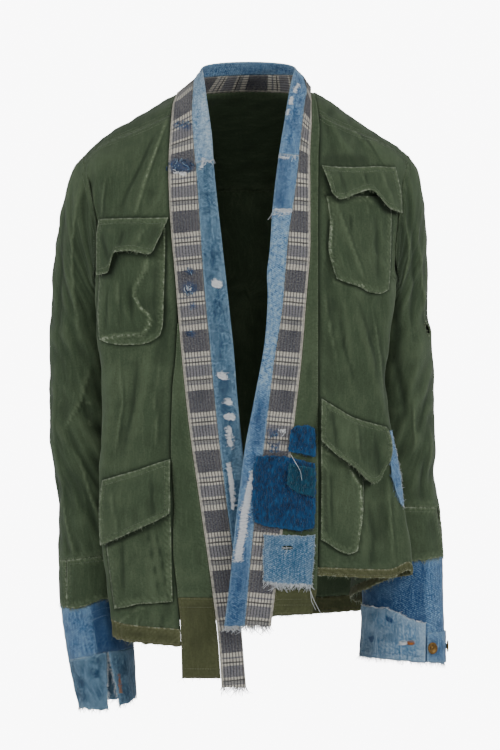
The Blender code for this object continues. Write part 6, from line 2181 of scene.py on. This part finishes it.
@dataclass
class Patches(Assembly):
    """The patches on the wearer's left front, and the scrap at the side seam."""

    name: str = "patches"

    def __post_init__(self) -> None:
        """Cut and darn each patch, and let loose yarns hang from them."""
        for index, (name, finish, rows) in enumerate(PATCHES):
            width = max(r[-1][0] - r[0][0] for r in rows)
            tall = abs(rows[0][0][1] - rows[-1][0][1])
            fine = net(rows, max(8, round(width / 2.2)), max(8, round(tall / 2.2)))
            grid = on_front(LEFT, fine[..., 0], fine[..., 1], fine[..., 2])
            cells = None
            if name == "patch_light_denim":
                x, z = np.moveaxis((fine[:-1, :-1] + fine[1:, 1:])[..., :2] / 2, -1, 0)
                cells = ((x - HOLE[0]) / HOLE[2]) ** 2 + ((z - HOLE[1]) / HOLE[3]) ** 2 < 1
            ragged = {edge: 0.9 for edge in Edge}
            piece = self.cut(name, grid, finish, wall=1.0, held=Held.LAID, crinkle=0.2, pucker=0.3,
                             open_cells=cells, ragged=ragged)
            loose = WHITE_YARN if name == "patch_light_denim" else NAVY_YARN
            for k, edge in enumerate(Edge):
                self.fray(piece, edge, loose, 1.3, 3.0, 120 + 5 * index + k)
            if finish is PALE_DENIM:
                self.fray(piece, BOTTOM, WHITE_YARN, 0.4, 8.0, 150, radius=0.5)
                piece.marks["stain_and_shade"] = piece.marks["stain_and_shade"] + 0.45
                self.sew(piece, (FIRST, LAST, TOP), (2.4,), NAVY_YARN)
            else:
                self.cover(piece, 160 + index)
        self.scrap()
        self.hang()

    def cover(self, piece: ClothPiece, seed: int) -> None:
        """Darn a patch all over in rows of short yarns.

        Args:
            piece: the patch.
            seed: picks the places.
        """
        pick = np.random.default_rng(seed)
        rows, columns = (size - 2 for size in piece.points.shape[:2])
        count = int(rows * columns * 0.5)
        row, column = pick.integers(1, rows, count), pick.integers(1, columns, count)
        down = piece.points[row + 1, column] - piece.points[row - 1, column]
        places = piece.points[row, column] + piece.normals[row, column] * piece.wall / 2
        ways = down + pick.normal(0, 0.5, down.shape)
        yarn = NAVY_YARN if piece.finish is INDIGO else TEAL_YARN
        self.scatter(places, piece.normals[row, column], ways, yarn, 4.5, seed, radius=0.3)

    def scrap(self) -> None:
        """The frayed scrap of pale denim that hangs out at the wearer's left side seam."""
        heights = np.linspace(-467, -568, 30)
        taper = 0.3 + 0.7 * np.sin(np.pi * np.linspace(0.08, 0.97, 30) ** 1.3)
        wide, corner = WIDTH[FRONT, LEFT](heights), CORNER[FRONT, LEFT](heights)
        inner = on_front(LEFT, (1 - 0.055 * taper) * wide, heights, 2.6)
        outer = np.stack([wide - 1.0 + 4.0 * taper, -corner - 4, heights], -1)
        piece = self.cut("side_flag_left", strip(inner, outer, 8, crown=2.2), DENIM, wall=1.0,
                         ragged={LAST: 1.6, BOTTOM: 1.6, FIRST: 1.2})
        for k, edge in enumerate(Edge):
            self.fray(piece, edge, WHITE_YARN if k % 2 else BLUE_YARN, 0.9, 5.0, 170 + k)

    def hang(self) -> None:
        """The long loose yarns: over the teal patch, from the pale patch's corner and in its hole."""
        t = np.linspace(0, 1, 24)
        for knots, radius in LOOSE_YARNS:
            at, values = np.linspace(0, 1, len(knots)), np.array(knots, float)
            path = read_off(t, at, values)
            for _ in range(3):
                path[1:-1] = (path[:-2] + 2 * path[1:-1] + path[2:]) / 4
            points = on_front(LEFT, path[:, 0], path[:, 1], path[:, 2])
            self.yarn(WHITE_YARN).lay(points[None], radius * (1 - 0.4 * t[None]))


@dataclass
class Arm:
    """The form of one sleeve: a stack of level ovals, with the creases round it."""

    side: Side

    def at(self, turn: Any, z: Any, lift: Any = 0.0) -> Array:
        """Points of the sleeve: turn 0 outside, pi / 2 at the front, pi inside.

        Args:
            turn: the ways round, in radians.
            z: heights.
            lift: how far off the cloth's middle.

        Returns:
            The points.
        """
        turn, z = np.broadcast_arrays(np.asarray(turn, float), np.asarray(z, float))
        shape = SLEEVE[self.side]
        centre = (shape["outer"](z) + shape["inner"](z)) / 2
        half = (shape["outer"](z) - shape["inner"](z)) / 2
        rise = lift + 0 * z
        for middle, spread, height, tilt, width, tall in CREASES[self.side]:
            along = ((np.degrees(turn) - middle + 180) % 360 - 180) / spread
            bell = np.exp(-(((z - height - tilt * along) / width) ** 2))
            rise = rise + tall * bell * np.clip(1 - along**2, 0, 1)
        x = centre + (half + rise) * np.cos(turn)
        return np.stack([self.side * x, shape["fore"](z) - (shape["deep"](z) + rise) * np.sin(turn), z], -1)

    def square(self, turn: Any, z: Any) -> Array:
        """Unit normals of the sleeve, outwards."""
        here, ahead, above = (self.at(turn + a, z + b) for a, b in ((0, 0), (0.07, 0), (0, 4)))
        return unit(-self.side * np.cross(ahead - here, above - here))

    def core(self, z: float) -> tuple[float, float]:
        """The middle of the oval at a height."""
        shape = SLEEVE[self.side]
        return float(self.side * (shape["outer"](z) + shape["inner"](z)) / 2), float(shape["fore"](z))

    def body_reach(self, y: Array, z: Array) -> Array:
        """How far sideways the body reaches at a depth and a height.

        Args:
            y: depths.
            z: heights.

        Returns:
            Distances from the middle.
        """
        reach = np.zeros(y.shape)
        for face in (FRONT, BACK):
            corner, depth = CORNER[face, self.side](z), DEPTH[face, self.side](z)
            wide, seam = WIDTH[face, self.side](z), SIDE_SEAM[self.side](z)
            away = np.clip(face * y, 0, None)
            power = TURN[self.side](z) if face == FRONT else BACK_TURN
            turned = np.clip(1 - away / np.maximum(corner, 1), 0, 1) ** power
            pinched = seam + (wide - seam) * (1 - turned) ** 2 * (1 + 2 * turned)
            past = np.clip((away - corner) / (depth - corner), 0, 1)
            here = np.where(away < corner, pinched, wide * (1 - past**ROUNDNESS) ** (1 / ROUNDNESS))
            reach = np.where(face * y >= 0, here, reach)
        return reach

    def kept_clear(self, grid: Array, lift: float = 0.0) -> Array:
        """A grid of the sleeve with no point nearer than a few millimetres to the body's side.

        Args:
            grid: the points.
            lift: how far they stand off the cloth's middle.

        Returns:
            The same grid, moved.
        """
        reach = self.body_reach(grid[..., 1], grid[..., 2]) + CLEARANCE - lift
        reach = reach * (1 - 0.12 * eased(-grid[..., 2], 745, 830))
        grid[..., 0] = self.side * np.maximum(np.abs(grid[..., 0]), reach)
        return grid

    def ring(self, top: Curve, bottom: Curve, rows: int, columns: int, lift: float = 0.0,
             start: float = 0.0, end: float = 360.0) -> Array:
        """A stretch of the arm between two edges, which are heights by turn in degrees.

        Args:
            top: the upper edge.
            bottom: the lower edge.
            rows: cells down.
            columns: cells round.
            lift: how far off the arm's cloth it lies.
            start: where it begins, in degrees.
            end: where it ends.

        Returns:
            The grid.
        """
        turn = np.linspace(start, end, columns + 1)[None, :]
        s = np.linspace(0, 1, rows + 1)[:, None]
        z = top(turn) + (bottom(turn) - top(turn)) * s
        return self.kept_clear(self.at(np.radians(turn) + 0 * z, z, lift), lift)

    def head(self, rows: int) -> Array:
        """From the armhole down to the first level oval: cubic paths from its edge to the oval.

        Args:
            rows: cells down.

        Returns:
            The grid.
        """
        side, down = self.side, np.array([-96.0, *ARMHOLE_ROWS])
        top = np.array([[side * armhole_width(FRONT, side, np.array(ARMHOLE_TOP)), 0, ARMHOLE_TOP]])
        ring = np.concatenate([top, armhole_edge(FRONT, side, down), armhole_edge(BACK, side, down)[-2::-1]])
        ring[8, 1] = 0
        away = np.linspace(0, 2 * np.pi, 16, endpoint=False)
        below = np.clip(-np.cos(away), 0, 1)
        start = ring + np.outer(0.5 + 0.8 * below, [side, 0, 0]) + np.outer(np.cos(away), [0, 0, 0.3])
        end = self.at(away, ARM_TOP)
        reach = np.linalg.norm(end - start, axis=1)[:, None]
        leave, arrive = reach * np.array([side * 0.4, 0, -0.25]), reach * np.array([0, 0, -0.9])
        s = np.linspace(0, 1, rows + 1)[:, None, None]
        path = hermite(s, start, end, leave, arrive)
        low = path[..., 2] < UNDERARM_START - 1
        clear = 2.9 + (CLEARANCE - 2.9) * eased(s[..., 0], 0, 0.4)
        clear = self.body_reach(path[..., 1], path[..., 2]) + clear
        held = np.maximum(np.abs(path[..., 0]), clear)
        path[..., 0] = np.where(low & (s[..., 0] > 0), side * held, path[..., 0])
        return path


@dataclass
class Sleeve(Assembly):
    """A sleeve in an upper and an under piece, creased at the elbow, from the armhole to the cuff seam."""

    name: str = "sleeve"
    side: Side = RIGHT
    across: int = 6
    down: int = 7

    def __post_init__(self) -> None:
        """Refine the whole tube, crease it, and make it one closed piece for both the upper and the under
        piece.
        """
        side, arm = self.side, Arm(self.side)
        self.name = "sleeve_" + NAMES[side]
        turn = np.radians(np.arange(16) * 22.5)[None, :]
        s = np.linspace(0, 1, (13 if side == RIGHT else 11) + 1)[:, None]
        z = ARM_TOP + (CUFF_SEAM[side](np.degrees(turn)) + SEAM - ARM_TOP) * s
        lower = arm.kept_clear(arm.at(turn + 0 * z, z))
        whole = refined(np.concatenate([arm.head(7), lower[1:]]), self.across, self.down, closed=True)
        away = np.linspace(0, 360, whole.shape[1])[None, :]
        away = np.where(away > 200, away - 360, away) * DEGREE
        normal = square_to(whole, True)
        normal *= 1 if ((whole[..., :1] - arm.core(-450)[0]) * normal[..., :1]).sum() > 0 else -1
        lift = raised(SLEEVE_FOLDS[side], away, whole[..., 2])
        whole = whole + np.maximum(lift, -3.5)[..., None] * normal
        half = 8 * self.across
        tube = np.concatenate([whole[:, half:-1], whole[:, :half + 1]], axis=1)
        cells = None
        spread = np.linspace(-180, 180, tube.shape[1])
        if side == LEFT:
            middle = (spread[:-1] + spread[1:])[None] / 2
            level = (tube[:-1, :-1, 2] + tube[1:, 1:, 2]) / 2
            cells = ((middle - RIP[0]) / RIP[2]) ** 2 + ((level - RIP[1]) / RIP[3]) ** 2 < 1
        piece = self.cut(self.name, tube, GREEN, rim=0.55, core=arm.core(-450), open_cells=cells, closed=True,
                         crinkle=0.6, crease=0.75, nodes=(self.name, self.name + "_under"))
        away = np.broadcast_to(away, whole.shape[:2])
        away = np.concatenate([away[:, half:-1], away[:, :half + 1]], axis=1)
        # Painted highlight on the folds' crests, and painted shade in their hollows.
        crest_highlight, hollow_shade = fold_highlight_and_shade(SLEEVE_FOLDS[side], away, tube[..., 2])
        flecks = 0.8 * spots(tube, PALE_FLECKS[side])
        piece.rub_and_highlight(flecks + 0.55 * crest_highlight)
        shaded = traced(tube[..., 0], tube[..., 2], ARM_SHADE[side], True)
        # Painted shade in the fold hollows and on the inner side against the body.
        piece.marks["stain_and_shade"] = np.maximum(0.5 * hollow_shade, 0.7 * shaded)
        self.sew(piece, (TOP,), (2.2, 8.5), GREEN_THREAD)
        self.sew(piece, (BOTTOM,), (1.6,), GREEN_THREAD)
        column = int(np.abs(spread - OUTER_SEAM).argmin())
        seam, away = piece.points[:, column], piece.normals[:, column]
        self.stitch(seam + away * 0.8, away, GREEN_THREAD)
        if side == LEFT:
            self.tear(piece, spread)

    def tear(self, piece: ClothPiece, spread: Array) -> None:
        """Pale broken yarns round the rip at the elbow.

        Args:
            piece: the sleeve.
            spread: the way round at each of its columns, in degrees.
        """
        pick = np.random.default_rng(71)
        turn = pick.random(60) * 2 * np.pi
        degrees, level = RIP[0] + 1.25 * RIP[2] * np.cos(turn), RIP[1] + 1.25 * RIP[3] * np.sin(turn)
        column = np.abs(spread[None] - degrees[:, None]).argmin(axis=1)
        row = np.abs(piece.points[:, column, 2] - level[None]).argmin(axis=0)
        places = piece.points[row, column] + piece.normals[row, column] * 0.7
        ways = pick.normal(0, 1, (60, 3))
        self.scatter(places, piece.normals[row, column], ways, SEAM_THREAD, 3.6, 72, radius=0.32)


@dataclass
class Cuffs(Assembly):
    """A green cuff with its vent, and the pieced denim cuff that comes out of it."""

    name: str = "cuffs"
    side: Side = RIGHT

    def __post_init__(self) -> None:
        """Cut each ring and sew, tack and fray it."""
        side = self.side
        self.arm = Arm(side)
        self.name = "cuffs_" + NAMES[side]
        at, half = VENT[side]
        rows, columns = 18, 84
        grid = self.arm.ring(shifted(CUFF_SEAM[side], -SEAM), GREEN_END[side], rows, columns,
                             start=at + half, end=at - half + 360)
        lower, beside = eased(np.linspace(0, 1, rows + 1), 0.1, 1), np.exp(-np.arange(columns + 1) / 3)
        grid = grid + self.arm_normals(grid) * (lower[:, None] * beside[None] * FLARE[side])[..., None]
        green = self.cut("cuff_green_" + NAMES[side], grid, GREEN, core=self.arm.core(-680), pucker=0.6,
                         ragged={BOTTOM: 1.3})
        self.sew(green, (TOP, FIRST, LAST), (1.8, 6.5), GREEN_THREAD)
        self.fray(green, BOTTOM, SEAM_THREAD, 0.9, 5.0, 200 + side)
        if side == RIGHT:
            self.right()
        else:
            self.left()

    def arm_normals(self, grid: Array) -> Array:
        """Unit normals of a ring, away from the arm."""
        normal = square_to(grid, False)
        return normal * away_from(self.arm.core(float(grid[..., 2].mean())), grid, normal)

    def right(self) -> None:
        """The right cuff: a pieced upper ring over a lower one with a slit like an upside-down V."""
        rows, columns, under = 20, 92, UNDER_GREEN
        upper = self.arm.ring(shifted(GREEN_END[RIGHT], -2 * SEAM), shifted(DENIM_SEAM_RIGHT, SEAM), rows,
                              columns, under)
        turn = np.degrees(np.linspace(0, 2 * np.pi, columns + 1))[None]
        darker = eased(turn, 84, 88) * (1 - eased(turn, 196, 200)) * np.ones((rows + 1, 1))
        ring = self.cut("cuff_denim_right_upper", upper, DENIM, closed=True, core=self.arm.core(-740),
                        marks={"stain_and_shade": 0.75 * darker})
        share = np.linspace(0, 1, columns + 1)
        s = np.linspace(0, 1, 20)[:, None]
        half = SPLIT_TOP + (SPLIT_MOUTH - SPLIT_TOP) * s
        turn = SPLIT_AT + half + share * (360 - 2 * half)
        top = DENIM_SEAM_RIGHT(turn) - SEAM
        z = top + (DENIM_END[RIGHT](turn) - top) * s
        lower = self.arm.kept_clear(self.arm.at(np.radians(turn), z, under), under)
        piece = self.cut("cuff_denim_right_lower", lower, DARK_DENIM, core=self.arm.core(-810),
                         ragged={BOTTOM: 1.4, FIRST: 0.7, LAST: 0.7})
        self.sew(ring, (BOTTOM,), (1.8,), NAVY_YARN)
        self.sew(ring, (TOP,), (12.0, 22.0), BLUE_YARN)
        self.sew(piece, (TOP,), (1.6,), BLUE_YARN)
        self.sew(piece, (FIRST, LAST), (2.6,), BLUE_YARN)
        self.fray(piece, TOP, WHITE_YARN, 2.6, 3.0, 210)
        for k, edge in enumerate((FIRST, LAST, BOTTOM)):
            self.fray(piece, edge, WHITE_YARN, 0.8, 5.0, 211 + k)
        self.tack(122.0, (-799.0, -823.0), -0.5, RUST_YARN, 26, 5.0)

    def left(self) -> None:
        """The left cuff: a denim ring with a pale patch at the front and a waistband end with two buttons."""
        rows, columns = 40, 98
        inside = shifted(GREEN_END[LEFT], -2 * SEAM)
        denim = self.arm.ring(inside, DENIM_END[LEFT], rows, columns, UNDER_GREEN)
        turn = np.linspace(0, 360, columns + 1)[None] * np.ones((rows + 1, 1))
        core = self.arm.core(-720)
        darker = eased(turn, 57, 60) * (1 - eased(turn, 170, 174))
        ring = self.cut("cuff_denim_left", denim, DENIM, closed=True, core=core, ragged={BOTTOM: 1.0},
                        marks={"stain_and_shade": 0.6 * darker})
        patch = self.arm.ring(PATCH_TOP_LEFT, shifted(DENIM_END[LEFT], -1.5), 24, 36, ON_CUFF, 60, 172)
        band = self.arm.ring(WAISTBAND_TOP_LEFT, shifted(DENIM_END[LEFT], 2), 15, 54, ON_CUFF + 0.2, -112, 57)
        pale = self.cut("cuff_patch_left", patch, PALE_DENIM, wall=1.2, core=core, crinkle=0.25,
                        ragged={TOP: 1.2, BOTTOM: 1.0})
        waist = self.cut("cuff_waistband_left", band, DENIM, wall=1.8, core=core, crinkle=0.25)
        self.sew(ring, (BOTTOM,), (2.0,), NAVY_YARN)
        self.sew(pale, (LAST, BOTTOM), (2.0,), NAVY_YARN)
        self.sew(pale, (BOTTOM,), (9.0,), NAVY_YARN)
        self.sew(waist, (TOP, FIRST, LAST, BOTTOM), (1.8,), BLUE_YARN)
        self.fray(pale, TOP, WHITE_YARN, 0.45, 4.5, 220, radius=0.36)
        self.fray(ring, BOTTOM, WHITE_YARN, 0.9, 6.0, 221)
        self.fray(pale, BOTTOM, WHITE_YARN, 0.9, 5.0, 222)
        self.tack(81.0, (-754.0, -757.0), 1.2, RUST_YARN, 12, 9.0)
        self.tack(91.0, (-754.0, -757.0), 1.2, WHITE_YARN, 12, 9.0)

    def tack(self, turn: float, span: tuple[float, float], lift: float, finish: Finish, count: int,
             width: float) -> None:
        """A bar tack: close stitches side by side.

        Args:
            turn: its place round the arm, in degrees.
            span: its upper and lower ends.
            lift: how far the cloth's face stands off the arm.
            finish: the yarn.
            count: how many stitches.
            width: how long each is.
        """
        z = np.linspace(*span, count)
        angle = np.full(count, math.radians(turn))
        normal = self.arm.square(angle, z)
        ways = self.arm.at(angle + 0.1, z + 0.8 * np.cos(np.arange(count) * 2.4)) - self.arm.at(angle, z)
        self.scatter(self.arm.at(angle, z, lift), normal, ways, finish, width, 5, radius=0.45)


@dataclass
class Buttons:
    """Two jeans buttons on the left cuff's waistband: turned caps with a rolled rim and a sunk centre."""

    steps: int = 48
    profile: tuple[tuple[float, float], ...] = (
        (0, 2.6), (1.2, 2.6), (1.5, 2.0), (3.4, 2.0), (3.8, 2.5), (4.8, 2.6), (5.6, 3.2), (6.4, 3.6),
        (7.2, 3.4), (7.9, 2.7), (8.0, 2.1), (7.6, 1.4), (6.0, 1.1), (4.0, 0.9), (3.2, 0.6), (3.2, 0.3),
        (0, 0.3),
    )

    def build(self) -> None:
        """Turn the profile round each button's own axis."""
        arm = Arm(LEFT)
        radius, height = np.array(self.profile, float).T
        turn = 2 * np.pi * np.arange(self.steps) / self.steps
        for name, degrees, z in (("button_front", 50.0, -763.0), ("button_side", 0.0, -763.0)):
            angle = math.radians(degrees)
            seat, axis = arm.at(angle, z, ON_CUFF + 1.1), arm.square(angle, z)
            first = np.cross([0.0, 0.0, 1.0], axis)
            first /= np.linalg.norm(first)
            second = np.cross(axis, first)
            r = radius[1:-1, None] * (1 + 0.012 * np.cos(24 * turn) * (radius[1:-1, None] > 6.5))
            ring = seat + height[1:-1, None, None] * axis + r[..., None] * (
                np.cos(turn)[:, None] * first + np.sin(turn)[:, None] * second)
            count, index = len(ring), np.arange(len(ring) * self.steps).reshape(len(ring), self.steps)
            after = np.roll(index, -1, axis=1)
            quads = np.stack([index[1:], after[1:], after[:-1], index[:-1]], -1).reshape(-1, 4).tolist()
            top, bottom = count * self.steps, count * self.steps + 1
            fans = np.stack([index[0], after[0], np.full(self.steps, top)], -1).tolist()
            fans += np.stack([after[-1], index[-1], np.full(self.steps, bottom)], -1).tolist()
            ends = [seat + height[0] * axis, seat + height[-1] * axis]
            points = np.concatenate([ring.reshape(-1, 3), ends])
            mesh = bpy.data.meshes.new(name)
            mesh.from_pydata((points * MM).tolist(), [], quads + fans)
            piece = placed(name + "_brass", mesh, BRASS)
            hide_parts(name)
            log.info("%s: %d faces", piece.name, len(mesh.polygons))


@dataclass
class Studio:
    """A pale paper sweep, large soft lights and the camera at the photograph's angle."""

    floor: float = -1.45
    back: float = 1.7
    width: float = 7.0
    reference: float = -0.12
    distance: float = 4.6
    seen: float = 1.0125
    height: float = -0.3915
    lights: tuple[tuple[str, tuple[float, float, float], float, float], ...] = (
        ("key", (2.6, -1.6, 0.8), 1.0, 56.0),
        ("fill", (-2.6, -1.6, 0.6), 1.0, 48.0),
        ("front", (0.0, -4.2, 1.0), 1.4, 17.0),
        ("top", (0.0, -0.4, 2.3), 1.4, 10.0),
    )
    aim: tuple[float, float, float] = (0.0, 0.0, -0.4)

    def build(self) -> None:
        """Make the sweep, the lights, the world and the camera."""
        self.sweep()
        for name, place, size, power in self.lights:
            data = bpy.data.lights.new(name, "AREA")
            data.energy, data.size = power, size
            lamp = bpy.data.objects.new(name, data)
            self.point(lamp, place, self.aim)
            bpy.context.scene.collection.objects.link(lamp)
        world = bpy.data.worlds.new("studio")
        bpy.context.scene.world = world
        world.use_nodes = True
        world.node_tree.nodes["Background"].inputs[0].default_value = linear("#eef0f3")
        world.node_tree.nodes["Background"].inputs[1].default_value = 0.25
        data = bpy.data.cameras.new("camera")
        data.sensor_fit = "VERTICAL"
        data.sensor_height = 36.0
        data.lens = 36.0 * self.distance / self.seen
        data.clip_end = 30.0
        camera = bpy.data.objects.new("camera", data)
        camera.location = (0.0, self.reference - self.distance, self.height)
        camera.rotation_euler = (math.pi / 2, 0.0, 0.0)
        bpy.context.scene.collection.objects.link(camera)
        bpy.context.scene.camera = camera

    def point(self, thing: Object, place: tuple[float, float, float],
              target: tuple[float, float, float]) -> None:
        """Put a light at a place and aim its -Z at a target.

        Args:
            thing: the light.
            place: where it stands.
            target: what it faces.
        """
        way = np.array(target) - np.array(place)
        thing.location = place
        thing.rotation_euler = (math.atan2(math.hypot(way[0], way[1]), -way[2]), 0.0,
                                math.atan2(way[1], way[0]) - math.pi / 2)

    def sweep(self) -> None:
        """The paper: a floor that curves up into a wall, as one profile carried sideways."""
        bend = np.linspace(0, np.pi / 2, 24)
        radius = 1.0
        y = np.concatenate([[-6.0, 0.0], self.back - radius + radius * np.sin(bend), [self.back]])
        z = np.concatenate([[0.0, 0.0], radius - radius * np.cos(bend), [4.5]]) + self.floor
        x = np.linspace(-self.width, self.width, 12)
        points = np.stack(np.broadcast_arrays(x[None, :], y[:, None], z[:, None]), -1)
        index = np.arange(points[..., 0].size).reshape(points.shape[:2])
        quads = np.stack([index[:-1, :-1], index[:-1, 1:], index[1:, 1:], index[1:, :-1]], -1).reshape(-1, 4)
        mesh = bpy.data.meshes.new("paper_sweep")
        mesh.from_pydata(points.reshape(-1, 3).tolist(), [], quads.tolist())
        placed("paper_sweep", mesh, PAPER)


def main() -> None:
    """Build the jacket's sub-assemblies in order, then the buttons and the studio."""
    logging.basicConfig(level=logging.INFO, format="%(name)s %(message)s")
    assemblies = [Yoke(), BackPanel()]
    for side in (RIGHT, LEFT):
        assemblies += [FrontPanel(side=side), Bands(side=side), Pockets(side=side)]
    assemblies += [NeckBands(), Patches()]
    for side in (RIGHT, LEFT):
        assemblies += [Sleeve(side=side), Cuffs(side=side)]
    for assembly in assemblies:
        assembly.build()
        log.info("built %s", assembly.name)
    Buttons().build()
    Studio().build()


if __name__ == "__main__":
    main()
